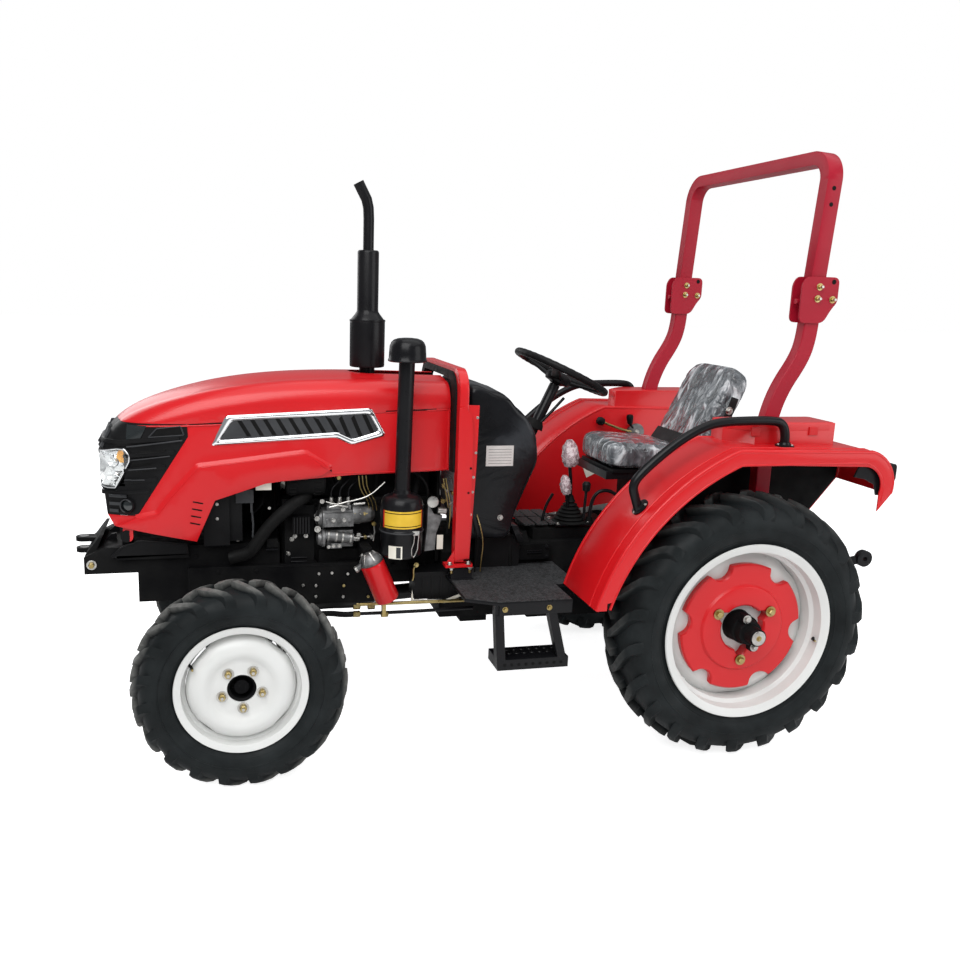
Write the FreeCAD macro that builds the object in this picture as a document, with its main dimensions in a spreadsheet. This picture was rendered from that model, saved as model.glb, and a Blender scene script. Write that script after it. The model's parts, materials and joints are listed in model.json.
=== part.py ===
import FreeCAD, Part
import math
import os
import re
import Sketcher

# Farm tractor: four-wheel drive, open platform, folding roll bar, tilting hood.
# Frame: +X forward, +Y left, +Z up, millimetres, ground at z = 0, x = 0 midway between the
# tow plates at the front and the lower link balls at the back.
# Sizes holds every driving dimension, Places what follows from them.

Vector = FreeCAD.Vector
Rotation = FreeCAD.Rotation

doc = FreeCAD.newDocument("FarmTractor")
sizes = doc.addObject("Spreadsheet::Sheet", "Sizes")
places = doc.addObject("App::FeaturePython", "Places")
owner = {}
pieces = []


# ---------------------------------------------------------------- values and bindings

def set_sizes(values):
    """Write each driving dimension into the sheet as a plain number with an alias."""
    for name, number in values.items():
        if name in owner:
            raise ValueError(f"{name} is already in use")
        owner[name] = "Sizes"
        row = len(owner)
        sizes.set(f"A{row}", name)
        sizes.set(f"B{row}", str(number))
        sizes.setAlias(f"B{row}", name)
    sizes.recompute()


def linked(formula):
    """Turn the names in a formula into references to their sheet cell or place."""
    def reference(word):
        name = word[0]
        return f"{owner[name]}.{name}" if name in owner else name
    return re.sub(r"[A-Za-z_]\w*", reference, str(formula))


def set_places(**formulas):
    """Add derived places, each bound to the sizes it follows."""
    for name, formula in formulas.items():
        places.addProperty("App::PropertyFloat", name)
        places.setExpression(name, linked(formula))
        owner[name] = "Places"
    places.recompute()


class Numbers:
    """The present number behind a name, for the shapes that are computed in code."""

    def __getattr__(self, name):
        return float(getattr(doc.getObject(owner[name]), name))


now = Numbers()


# ---------------------------------------------------------------- building blocks

LAY = {"x": Rotation(Vector(0, 1, 0), 90), "y": Rotation(Vector(1, 0, 0), -90), "z": Rotation()}
ACROSS = {"x": "yz", "y": "xz", "z": "xy"}
PLANE = {"side": (Rotation(Vector(1, 0, 0), 90), "y"), "plan": (Rotation(), "z"),
         "front": (Rotation(Vector(1, 1, 1), 120), "x")}
SPIN = {"x": Rotation(), "y": Rotation(Vector(1, 1, 1), 120), "z": Rotation(Vector(1, 1, 1), 240)}
UNIT = {"x": Vector(1, 0, 0), "y": Vector(0, 1, 0), "z": Vector(0, 0, 1)}


def box(x, y, z):
    """A block from low to high along each axis."""
    block = doc.addObject("Part::Box", "Block")
    for axis, side, (low, high) in zip("xyz", ("Length", "Width", "Height"), (x, y, z)):
        block.setExpression(f"Placement.Base.{axis}", linked(low))
        block.setExpression(side, linked(f"({high}) - ({low})"))
    return block


def laid(solid, axis, at, span):
    """Lay a round primitive along an axis, at the other two coordinates, over a span."""
    low, high = span
    solid.Placement.Rotation = LAY[axis]
    solid.setExpression(f"Placement.Base.{axis}", linked(low))
    for name, formula in zip(ACROSS[axis], at):
        solid.setExpression(f"Placement.Base.{name}", linked(formula))
    solid.setExpression("Height", linked(f"({high}) - ({low})"))
    return solid


def drum(axis, at, radius, span):
    cylinder = doc.addObject("Part::Cylinder", "Drum")
    cylinder.setExpression("Radius", linked(radius))
    return laid(cylinder, axis, at, span)


def taper(axis, at, radii, span):
    cone = doc.addObject("Part::Cone", "Taper")
    cone.setExpression("Radius1", linked(radii[0]))
    cone.setExpression("Radius2", linked(radii[1]))
    return laid(cone, axis, at, span)


def outline(points):
    """A closed sketch with each corner held at two formulas."""
    sketch = doc.addObject("Sketcher::SketchObject", "Outline")
    count = len(points)
    start = [Vector(math.cos(math.tau * i / count), math.sin(math.tau * i / count), 0)
             for i in range(count)]
    for i in range(count):
        sketch.addGeometry(Part.LineSegment(start[i], start[(i + 1) % count]))
    for i in range(count):
        sketch.addConstraint(Sketcher.Constraint("Coincident", i, 2, (i + 1) % count, 1))
    for i, point in enumerate(points):
        for kind, formula in zip(("DistanceX", "DistanceY"), point):
            held = sketch.addConstraint(Sketcher.Constraint(kind, -1, 1, i, 1, 1.0))
            sketch.setExpression(f"Constraints[{held}]", linked(formula))
    return sketch


def plate(plane, points, span):
    """An outline in the side, plan or front view, extruded across that view."""
    low, high = span
    turn, axis = PLANE[plane]
    sketch = outline(points)
    sketch.Placement.Rotation = turn
    base = high if plane == "side" else low
    sketch.setExpression(f"Placement.Base.{axis}", linked(base))
    solid = doc.addObject("Part::Extrusion", "Plate")
    solid.Base = sketch
    solid.DirMode = "Normal"
    solid.Solid = True
    solid.setExpression("LengthFwd", linked(f"({high}) - ({low})"))
    return solid


def turned(axis, at, points):
    """An outline of (along, radius) points turned about an axis at two coordinates."""
    sketch = outline(points)
    sketch.Placement.Rotation = SPIN[axis]
    solid = doc.addObject("Part::Revolution", "Turned")
    solid.Source = sketch
    solid.Axis = UNIT[axis]
    solid.Angle = 360
    solid.Solid = True
    for name, formula in zip(ACROSS[axis], at):
        sketch.setExpression(f"Placement.Base.{name}", linked(formula))
        solid.setExpression(f"Base.{name}", linked(formula))
    return solid


def joined(*parts):
    fusion = doc.addObject("Part::MultiFuse", "Joined")
    fusion.Shapes = list(parts)
    fusion.Refine = True
    return fusion


def without(base, *tools):
    cut = doc.addObject("Part::Cut", "Cut")
    cut.Base = base
    cut.Tool = tools[0] if len(tools) == 1 else joined(*tools)
    return cut


def mirrored(source):
    twin = doc.addObject("Part::Mirroring", "Twin")
    twin.Source = source
    twin.Normal = UNIT["y"]
    return twin


def copied(source):
    """A second use of a shape, for cutting a neighbour to it."""
    twice = mirrored(source)
    return mirrored(twice)


def computed(shape):
    """A solid whose shape is worked out in code from the sizes."""
    feature = doc.addObject("Part::Feature", "Computed")
    feature.Shape = shape
    return feature


def piece(label, solid):
    """Name the finished solid of one sub-part."""
    solid.Label = label
    pieces.append(solid)
    return solid


def pair(label, left):
    """The left sub-part and its mirror image as two named sub-parts."""
    piece(f"{label}_left", left)
    piece(f"{label}_right", mirrored(left))


def tube(points, radius, bend):
    """A round bar along straight runs with an arc of one bend radius at each inner point."""
    path = []
    start = points[0]
    for before, corner, after in zip(points, points[1:], points[2:]):
        back = (before - corner).normalize()
        ahead = (after - corner).normalize()
        half = math.acos(max(-1, min(1, back.dot(ahead)))) / 2
        reach = bend / math.tan(half)
        enter = corner + back * reach
        leave = corner + ahead * reach
        bisector = (back + ahead).normalize()
        centre = corner + bisector * (bend / math.sin(half))
        path.append(Part.LineSegment(start, enter).toShape())
        path.append(Part.Arc(enter, centre - bisector * bend, leave).toShape())
        start = leave
    path.append(Part.LineSegment(start, points[-1]).toShape())
    wire = Part.Wire(path)
    ring = Part.Wire(Part.Circle(points[0], points[1] - points[0], radius).toShape())
    return wire.makePipeShell([ring], True, False)


# ---------------------------------------------------------------- frame and wheels

LAYOUT = {
    "wheelbase": 1812, "front_reach": 592, "rear_reach": 821, "rear_tyre_radius": 505,
    "front_tyre_radius": 365, "rear_tyre_y": 661, "front_tyre_y": 597, "rear_tyre_half": 124,
    "front_tyre_half": 89,
}
set_sizes(LAYOUT)
set_places(
    rear_axle_x="-(wheelbase + front_reach - rear_reach) / 2",
    front_axle_x="rear_axle_x + wheelbase",
    rear_axle_z="rear_tyre_radius",
    wheel_z="front_tyre_radius",
)

RIM = {
    "rear_flange_radius": 330, "rear_seat_radius": 305, "rear_barrel_radius": 292, "rear_rim_half": 113,
    "front_flange_radius": 222.5, "front_seat_radius": 203, "front_barrel_radius": 192,
    "front_rim_half": 72, "flange_thick": 11, "bead_ease": 0.3, "rear_disc_out": 24,
    "rear_disc_thick": 10, "rear_disc_hole": 60, "front_disc_out": 48, "front_disc_thick": 6,
    "front_disc_hole": 49,
}
set_sizes(RIM)


TREAD = {
    "rear_lugs": 22, "rear_lug_depth": 33, "rear_lug_foot": 21, "rear_lug_tip": 11, "rear_lug_reach": 112,
    "rear_lug_fall": 42, "rear_lug_lag": 0.2, "rear_crown": 70, "rear_shoulder": 108,
    "rear_shoulder_drop": 28, "rear_bulge_radius": 395,
    "front_lugs": 20, "front_lug_depth": 26, "front_lug_foot": 17, "front_lug_tip": 9,
    "front_lug_reach": 80, "front_lug_fall": 34, "front_lug_lag": 0.2, "front_crown": 50,
    "front_shoulder": 78, "front_shoulder_drop": 20, "front_bulge_radius": 282,
    "tyre_facets": 18, "lug_root": 14, "lug_cross": 6, "lip_ease": 3,
}
set_sizes(TREAD)


def wheel_point(end, y, radius, turn):
    """A point on a left wheel, at a turn from straight back over the top."""
    hub_x = now.rear_axle_x if end == "rear" else now.front_axle_x
    hub_z = now.rear_axle_z if end == "rear" else now.wheel_z
    return Vector(hub_x - radius * math.cos(turn), y, hub_z + radius * math.sin(turn))


def size(end, name):
    return getattr(now, f"{end}_{name}")


def carcass(end):
    """Faceted ring that bulges past the rim flanges and seats on the bead seats."""
    count = int(now.tyre_facets)
    middle = size(end, "tyre_y")
    bead = size(end, "rim_half") - now.flange_thick - now.bead_ease
    flat = math.cos(math.pi / count)
    seat = (size(end, "seat_radius") + now.bead_ease) / flat
    lip = (size(end, "flange_radius") + now.lip_ease) / flat
    base = size(end, "tyre_radius") - size(end, "lug_depth")
    half = [(bead, seat), (bead, lip), (size(end, "tyre_half"), size(end, "bulge_radius")),
            (size(end, "shoulder"), base - size(end, "shoulder_drop")), (size(end, "crown"), base)]
    profile = half + [(-y, radius) for y, radius in reversed(half)]
    rings = [[wheel_point(end, middle + y, radius, math.tau * i / count) for i in range(count)]
             for y, radius in profile]
    faces = []
    for ring, following in zip(rings, rings[1:] + rings[:1]):
        for i in range(count):
            k = (i + 1) % count
            corners = [ring[i], ring[k], following[k], following[i]]
            faces.append(Part.Face(Part.makePolygon(corners + [corners[0]])))
    return Part.Solid(Part.Shell(faces))


def lug(end, side, turn):
    """One bar of the tread, leaning back from the middle to the shoulder."""
    middle = size(end, "tyre_y")
    tip = size(end, "tyre_radius")
    foot = tip - size(end, "lug_depth") - now.lug_root
    wide, narrow = size(end, "lug_foot"), size(end, "lug_tip")
    start = wheel_point(end, middle - side * now.lug_cross, 0, turn)
    out = wheel_point(end, start.y, 1, turn) - start
    ahead = Vector(out.z, 0, -out.x)
    section = [start + out * foot - ahead * wide, start + out * tip - ahead * narrow,
               start + out * tip + ahead * narrow, start + out * foot + ahead * wide]
    reach = size(end, "lug_reach")
    edge = wheel_point(end, middle + side * reach, tip - size(end, "lug_fall"), turn - size(end, "lug_lag"))
    along = edge - (start + out * tip)
    return Part.Face(Part.makePolygon(section + [section[0]])).extrude(along)


def tyre(end):
    """Carcass with two rows of lugs, half a pitch apart, one lug standing on the ground."""
    count = int(size(end, "lugs"))
    pitch = math.tau / count
    lugs = [lug(end, side, -math.pi / 2 + (i + shift) * pitch)
            for side, shift in ((1, 0), (-1, 0.5)) for i in range(count)]
    return computed(carcass(end).fuse(lugs))


def rim(end, at):
    """Barrel, two flanges and the disc, in one outline."""
    middle = f"{end}_tyre_y"
    half = f"{end}_rim_half"
    disc = f"{middle} + {end}_disc_out"
    return turned("y", at, [
        (f"{middle} + {half}", f"{end}_flange_radius"),
        (f"{middle} + {half} - flange_thick", f"{end}_flange_radius"),
        (f"{middle} + {half} - flange_thick", f"{end}_seat_radius"),
        (f"{middle} - {half} + flange_thick", f"{end}_seat_radius"),
        (f"{middle} - {half} + flange_thick", f"{end}_flange_radius"),
        (f"{middle} - {half}", f"{end}_flange_radius"),
        (f"{middle} - {half}", f"{end}_barrel_radius"),
        (f"{disc} - {end}_disc_thick", f"{end}_barrel_radius"),
        (f"{disc} - {end}_disc_thick", f"{end}_disc_hole"),
        (disc, f"{end}_disc_hole"),
        (disc, f"{end}_barrel_radius"),
        (f"{middle} + {half}", f"{end}_barrel_radius"),
    ])


REAR = ("rear_axle_x", "rear_axle_z")
FRONT = ("front_axle_x", "wheel_z")
pair("tyre_rear", tyre("rear"))
pair("rim_rear", rim("rear", REAR))
pair("tyre_front", tyre("front"))

# Red cast weight on the rear disc, with a wide centre opening.
WEIGHT = {
    "weight_radius": 228, "weight_thick": 34, "weight_hole": 86, "weight_pad": 148, "weight_pad_rise": 9,
    "scallop_reach": 238, "scallop_radius": 36, "scallop_first": 54, "scallops": 6, "lobe_reach": 72,
    "lobe_radius": 40, "lobe_first": 90, "lobes": 3,
}
set_sizes(WEIGHT)
set_places(rear_disc_y="rear_tyre_y + rear_disc_out")


def weight_drums(name, count):
    """Round cutters spaced evenly round the weight."""
    cutters = []
    for i in range(int(count)):
        turn = math.radians(size(name, "first") + 360 * i / count)
        centre = wheel_point("rear", now.rear_disc_y - 1, size(name, "reach"), turn)
        length = now.weight_thick + now.weight_pad_rise + 2
        cutters.append(Part.makeCylinder(size(name, "radius"), length, centre, Vector(0, 1, 0)))
    return cutters


def wheel_weight():
    """Disc with a scalloped rim, a raised middle and a three-lobed opening."""
    base = Vector(now.rear_axle_x, now.rear_disc_y, now.rear_axle_z)
    across = Vector(0, 1, 0)
    disc = Part.makeCylinder(now.weight_radius, now.weight_thick, base, across)
    pad = Part.makeCylinder(now.weight_pad, now.weight_thick + now.weight_pad_rise, base, across)
    hole = Part.makeCylinder(now.weight_hole, 2 * now.weight_thick, base - across, across)
    return disc.fuse(pad).cut([hole] + weight_drums("scallop", now.scallops) + weight_drums("lobe", now.lobes))


pair("wheel_weight", computed(wheel_weight()))

# Rear hub: flange behind the disc, three-bolt ring, clamp boss, and the axle shaft through it all.
REAR_HUB = {
    "hub_flange_radius": 115, "hub_flange_thick": 20, "hub_boss_radius": 58, "hub_ring_y": 745,
    "hub_clamp_radius": 45, "hub_clamp_y": 781, "shaft_radius": 32, "shaft_end_y": 839,
    "shaft_in_y": 462,
}
set_sizes(REAR_HUB)
set_places(hub_face_y="rear_disc_y - rear_disc_thick")
pair("hub_rear", turned("y", REAR, [
    ("shaft_in_y", "0"), ("shaft_in_y", "shaft_radius"),
    ("hub_face_y - hub_flange_thick", "shaft_radius"),
    ("hub_face_y - hub_flange_thick", "hub_flange_radius"), ("hub_face_y", "hub_flange_radius"),
    ("hub_face_y", "hub_boss_radius"), ("hub_ring_y", "hub_boss_radius"),
    ("hub_ring_y", "hub_clamp_radius"), ("hub_clamp_y", "hub_clamp_radius"),
    ("hub_clamp_y", "shaft_radius"), ("shaft_end_y", "shaft_radius"), ("shaft_end_y", "0")]))

# Front wheel: disc bolted to a hub that turns on the knuckle's spindle.
FRONT_HUB = {
    "front_hub_radius": 90, "front_hub_in_y": 602, "spindle_radius": 25, "spindle_end_y": 632,
    "fit": 0.05,
}
set_sizes(FRONT_HUB)
set_places(front_hub_face_y="front_tyre_y + front_disc_out - front_disc_thick")
front_hub = turned("y", FRONT, [
    ("front_hub_in_y", "spindle_radius + fit"), ("front_hub_in_y", "front_hub_radius"),
    ("front_hub_face_y", "front_hub_radius"), ("front_hub_face_y", "0"),
    ("spindle_end_y + 1", "0"), ("spindle_end_y + 1", "spindle_radius + fit")])
pair("rim_front", joined(rim("front", FRONT), front_hub))

# ---------------------------------------------------------------- front axle and steering

FRONT_AXLE = {
    "axle_z": 430, "axle_tube_radius": 55, "axle_end_y": 375, "differential_radius": 118,
    "differential_half": 95, "trunnion_radius": 30, "trunnion_half": 130, "kingpin_y": 450,
    "case_radius": 68, "case_top": 500, "case_low": 300, "case_gap": 5, "yoke_thick": 22,
    "yoke_radius": 40, "pin_radius": 18, "yoke_depth": 50, "carrier_radius": 62, "carrier_end_y": 596,
    "arm_reach": 170, "arm_half": 16, "arm_low": 315, "arm_top": 329, "stud_radius": 9, "rod_z": 300,
    "rod_radius": 12, "rod_eye_radius": 22, "rod_eye_half": 14, "stud_gap": 0.3, "ram_x": 150,
    "ram_z": 362, "ram_barrel_radius": 27, "ram_barrel_half": 150, "ram_barrel_y": -190,
    "ram_in_y": -180, "ram_bore_in": 40, "ram_clamp_in": 30, "ram_radius": 10, "ram_eye_radius": 19,
    "ram_eye_half": 12, "ram_gap": 0.5, "clamp_half": 12, "clamp_depth": 40,
}
set_sizes(FRONT_AXLE)
set_places(
    rod_x="front_axle_x - arm_reach", ram_line_x="front_axle_x - ram_x",
    ram_low_y="ram_barrel_y - ram_barrel_half", ram_high_y="ram_barrel_y + ram_barrel_half",
    yoke_top="case_top + case_gap + yoke_thick", yoke_low="case_low - case_gap - yoke_thick",
)
KINGPIN = ("front_axle_x", "kingpin_y")


def axle_half():
    """One trumpet and its yoke, bored for the kingpins, left side."""
    web = box(("front_axle_x - yoke_depth", "front_axle_x + yoke_depth"),
              ("axle_end_y - yoke_thick", "axle_end_y"), ("yoke_low", "yoke_top"))
    solids = [drum("y", ("front_axle_x", "axle_z"), "axle_tube_radius", ("0", "axle_end_y")), web]
    for low in ("case_top + case_gap", "yoke_low"):
        span = (low, f"{low} + yoke_thick")
        solids.append(drum("z", KINGPIN, "yoke_radius", span))
        solids.append(box(("front_axle_x - yoke_radius", "front_axle_x + yoke_radius"),
                          ("axle_end_y - yoke_thick", "kingpin_y"), span))
    bore = drum("z", KINGPIN, "pin_radius + fit", ("yoke_low - 1", "yoke_top + 1"))
    return without(joined(*solids), bore)


def ram_clamp(y):
    """Bracket that holds the steering cylinder behind the axle tube."""
    return box(("ram_line_x", "front_axle_x - clamp_depth"), (f"{y} - clamp_half", f"{y} + clamp_half"),
               ("ram_z - clamp_half", "axle_z"))


left_half = axle_half()
differential = drum("y", ("front_axle_x", "axle_z"), "differential_radius",
                    ("-differential_half", "differential_half"))
trunnion = drum("x", ("0", "axle_z"), "trunnion_radius",
                ("front_axle_x - trunnion_half", "front_axle_x + trunnion_half"))
barrel = drum("y", ("ram_line_x", "ram_z"), "ram_barrel_radius", ("ram_low_y", "ram_high_y"))
rod_bore = drum("y", ("ram_line_x", "ram_z"), "ram_radius + fit", ("ram_low_y + ram_bore_in", "ram_high_y + 1"))
axle_body = joined(left_half, mirrored(left_half), differential, trunnion, barrel,
                   ram_clamp("ram_low_y + ram_clamp_in"), ram_clamp("ram_high_y - ram_clamp_in"))
piece("front_axle", without(axle_body, rod_bore))


def knuckle():
    """Final drive case on two kingpins, hub carrier with spindle, steering arm and its stud."""
    case = drum("z", KINGPIN, "case_radius", ("case_low", "case_top"))
    pins = drum("z", KINGPIN, "pin_radius", ("yoke_low", "yoke_top"))
    carrier = drum("y", FRONT, "carrier_radius", ("kingpin_y", "carrier_end_y"))
    spindle = drum("y", FRONT, "spindle_radius", ("carrier_end_y", "spindle_end_y"))
    arm = box(("rod_x - arm_half", "front_axle_x"), ("kingpin_y - arm_half", "kingpin_y + arm_half"),
              ("arm_low", "arm_top"))
    stud = drum("z", ("rod_x", "kingpin_y"), "stud_radius", ("rod_z - rod_eye_half", "arm_low"))
    return joined(case, pins, carrier, spindle, arm, stud)


pair("knuckle", knuckle())


def rod_eye(y):
    return drum("z", ("rod_x", y), "rod_eye_radius", ("rod_z - rod_eye_half", "rod_z + rod_eye_half"))


def rod_bore_at(y, ease):
    return drum("z", ("rod_x", y), f"stud_radius + {ease}",
                ("rod_z - rod_eye_half - 1", "rod_z + rod_eye_half + 1"))


TIE_ROD = {
    "open_pin_ease": 0.5, "eye_bite": 6,
}
set_sizes(TIE_ROD)
set_places(rod_end_y="kingpin_y - rod_eye_radius + eye_bite")
link = joined(drum("y", ("rod_x", "rod_z"), "rod_radius", ("-rod_end_y", "rod_end_y")),
              rod_eye("kingpin_y"), rod_eye("-kingpin_y"))
piece("tie_rod", without(link, rod_bore_at("kingpin_y", "fit"), rod_bore_at("-kingpin_y", "open_pin_ease")))

ram_rod = drum("y", ("ram_line_x", "ram_z"), "ram_radius", ("ram_in_y", "kingpin_y"))
ram_eye = drum("z", ("ram_line_x", "kingpin_y"), "ram_eye_radius",
               ("arm_top + ram_gap", "ram_z + ram_eye_half"))
piece("steering_ram", joined(ram_rod, ram_eye))

# ---------------------------------------------------------------- driveline

TRANSMISSION = {
    "housing_half": 150, "rear_case_back": 170, "rear_case_front": 170, "rear_case_low": 345,
    "rear_case_top": 690, "trumpet_radius": 75, "trumpet_flange_radius": 96, "trumpet_end_y": 520,
    "trumpet_flange_thick": 22, "gearbox_front": 640, "gearbox_low": 375, "gearbox_top": 700,
    "cover_half": 120, "cover_top": 745, "cover_back": 250, "cover_front": 620, "clutch_front": 1016,
    "clutch_low": 400, "clutch_top": 735, "clutch_half": 165, "clutch_chamfer": 60,
    "transfer_back": 790, "transfer_front": 905, "transfer_half": 80, "transfer_low": 345,
    "shaft_tube_radius": 32, "shaft_rear_z": 470,
}
set_sizes(TRANSMISSION)
set_places(
    case_back_x="rear_axle_x - rear_case_back", case_front_x="rear_axle_x + rear_case_front",
    gearbox_front_x="rear_axle_x + gearbox_front", clutch_front_x="rear_axle_x + clutch_front",
)
trumpet = turned("y", REAR, [
    ("housing_half", "0"), ("housing_half", "trumpet_radius"),
    ("trumpet_end_y - trumpet_flange_thick", "trumpet_radius"),
    ("trumpet_end_y - trumpet_flange_thick", "trumpet_flange_radius"),
    ("trumpet_end_y", "trumpet_flange_radius"), ("trumpet_end_y", "shaft_radius + fit"),
    ("shaft_in_y - 1", "shaft_radius + fit"), ("shaft_in_y - 1", "0")])
rear_case = box(("case_back_x", "case_front_x"), ("-housing_half", "housing_half"),
                ("rear_case_low", "rear_case_top"))

# Three-point linkage: an exact parallelogram, so that one angle moves all of it.
LINKAGE = {
    "link_pivot_back": 110, "link_pivot_z": 420, "ball_back": 786, "ball_z": 630, "ball_y": 341,
    "lift_reach": 300, "shaft_back": 150, "shaft_z": 880, "rockshaft_radius": 28, "lift_line_y": 245,
    "link_half": 10, "link_depth": 32, "link_eye_radius": 28, "ball_radius": 35, "ball_bore": 11.1,
    "link_pin_radius": 12, "link_pin_y": 258, "link_seat_half": 30, "link_flare": 380,
    "rod_pin_radius": 9, "lift_rod_radius": 10.5, "lift_eye_radius": 20, "lift_eye_half": 11,
    "lift_arm_half": 10, "lift_gap": 0.4, "boss_radius": 46,
}
set_sizes(LINKAGE)
set_places(
    link_pivot_x="rear_axle_x - link_pivot_back", ball_x="rear_axle_x - ball_back",
    lift_pivot_x="rear_axle_x - shaft_back",
    link_run="sqrt((ball_back - link_pivot_back) ^ 2 + (ball_z - link_pivot_z) ^ 2)",
    lift_dx="-lift_reach * (ball_back - link_pivot_back) / link_run",
    lift_dz="lift_reach * (ball_z - link_pivot_z) / link_run",
)
set_places(
    arm_tip_x="lift_pivot_x + lift_dx", arm_tip_z="shaft_z + lift_dz",
    rod_foot_x="link_pivot_x + lift_dx", rod_foot_z="link_pivot_z + lift_dz",
    rod_side_y="lift_line_y + lift_arm_half + lift_gap",
)

link_pins = drum("y", ("link_pivot_x", "link_pivot_z"), "link_pin_radius", ("-link_pin_y", "link_pin_y"))
link_seat_y = "lift_line_y - link_half - lift_gap"
link_seats = box(("link_pivot_x - link_seat_half", "link_pivot_x + link_seat_half"),
                 (f"-({link_seat_y})", link_seat_y),
                 ("link_pivot_z - link_seat_half", "link_pivot_z + link_seat_half"))
piece("rear_axle_housing", joined(rear_case, trumpet, mirrored(trumpet), link_seats, link_pins))

gear_case = box(("case_front_x", "gearbox_front_x"), ("-housing_half", "housing_half"),
                ("gearbox_low", "gearbox_top"))
gear_cover = box(("rear_axle_x + cover_back", "rear_axle_x + cover_front"), ("-cover_half", "cover_half"),
                 ("gearbox_top", "cover_top"))
piece("gearbox", joined(gear_case, gear_cover))

bell = plate("front", [
    ("-clutch_half", "clutch_low"), ("clutch_half", "clutch_low"),
    ("clutch_half", "clutch_top - clutch_chamfer"), ("clutch_half - clutch_chamfer", "clutch_top"),
    ("clutch_chamfer - clutch_half", "clutch_top"), ("-clutch_half", "clutch_top - clutch_chamfer"),
], ("gearbox_front_x", "clutch_front_x"))
transfer = box(("rear_axle_x + transfer_back", "rear_axle_x + transfer_front"),
               ("-transfer_half", "transfer_half"), ("transfer_low", "clutch_low"))
piece("clutch_housing", joined(bell, transfer))


def bar_between(start, end, radius):
    """A round bar between two points worked out from the sizes."""
    run = end - start
    return Part.makeCylinder(radius, run.Length, start, run)


def link_bar(side):
    """One lower link: pivot eye, flared bar and ball end, drawn in code as it slants two ways."""
    low = Vector(now.link_pivot_x, side * now.lift_line_y, now.link_pivot_z)
    ball = Vector(now.ball_x, side * now.ball_y, now.ball_z)
    across = Vector(0, 1, 0)
    share = now.link_flare / now.link_run
    turn = Vector(low.x + (ball.x - low.x) * share, low.y, low.z + (ball.z - low.z) * share)
    up = (ball - low).cross(across).normalize() * now.link_depth / 2
    wide = across * now.link_half
    foot = [low - up - wide, low - up + wide, low + up + wide, low + up - wide]
    rings = [Part.makePolygon([p + place - low for p in foot + [foot[0]]]) for place in (low, turn, ball)]
    bar = Part.makeLoft(rings, True, True)
    eye = Part.makeCylinder(now.link_eye_radius, 2 * now.link_half, low - wide, across)
    end = Part.makeCylinder(now.ball_radius, 2.6 * now.link_half, ball - wide * 1.3, across)
    along = Vector(now.rod_foot_x, side * now.lift_line_y, now.rod_foot_z)
    seat = side * (now.rod_side_y + 2 * now.lift_eye_half)
    pin = bar_between(Vector(along.x, side * (now.lift_line_y - now.link_half), along.z),
                      Vector(along.x, seat, along.z), now.rod_pin_radius)
    solid = bar.fuse([eye, end, pin])
    hole = Part.makeCylinder(now.link_pin_radius + now.fit, 6 * now.link_half, low - wide * 3, across)
    bore = Part.makeCylinder(now.ball_bore, 6 * now.link_half, ball - wide * 3, across)
    return solid.cut([hole, bore])


lower_links = piece("lower_links", computed(Part.makeCompound([link_bar(1), link_bar(-1)])))


def lift_rod(side):
    """Lift rod outboard of its arm and link, straight between the two pins."""
    middle = side * (now.rod_side_y + now.lift_eye_half)
    top = Vector(now.arm_tip_x, middle, now.arm_tip_z)
    foot = Vector(now.rod_foot_x, middle, now.rod_foot_z)
    across = Vector(0, 1, 0)
    wide = across * now.lift_eye_half
    eyes = [Part.makeCylinder(now.lift_eye_radius, 2 * now.lift_eye_half, p - wide, across)
            for p in (top, foot)]
    holes = [Part.makeCylinder(now.rod_pin_radius + now.fit, 6 * now.lift_eye_half, p - wide * 3, across)
             for p in (top, foot)]
    return bar_between(foot, top, now.lift_rod_radius).fuse(eyes).cut(holes)


piece("lift_rods", computed(Part.makeCompound([lift_rod(1), lift_rod(-1)])))


def lift_arms():
    """Rockshaft with an arm on each end, each with the pin of its lift rod."""
    end_y = now.lift_line_y + now.lift_arm_half
    across = Vector(0, 1, 0)
    pivot = Vector(now.lift_pivot_x, 0, now.shaft_z)
    solids = [Part.makeCylinder(now.rockshaft_radius, 2 * end_y, pivot - across * end_y, across)]
    for side in (1, -1):
        low = Vector(now.lift_pivot_x, side * now.lift_line_y, now.shaft_z)
        tip = Vector(now.arm_tip_x, side * now.lift_line_y, now.arm_tip_z)
        up = (tip - low).cross(across).normalize() * now.link_depth / 2
        wide = across * now.lift_arm_half
        foot = [low - up - wide, low - up + wide, low + up + wide, low + up - wide]
        blade = Part.makePolygon(foot + [foot[0]])
        end = Part.makePolygon([p + tip - low for p in foot + [foot[0]]])
        solids.append(Part.makeLoft([blade, end], True, True))
        solids.append(Part.makeCylinder(now.boss_radius, 2 * now.lift_arm_half, low - wide, across))
        solids.append(Part.makeCylinder(now.lift_eye_radius, 2 * now.lift_arm_half, tip - wide, across))
        inner = Vector(tip.x, side * now.lift_line_y, tip.z)
        outer = Vector(tip.x, side * (now.rod_side_y + 2 * now.lift_eye_half), tip.z)
        solids.append(bar_between(inner, outer, now.rod_pin_radius))
    return solids[0].fuse(solids[1:])


piece("lift_arms", computed(lift_arms()))

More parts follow.
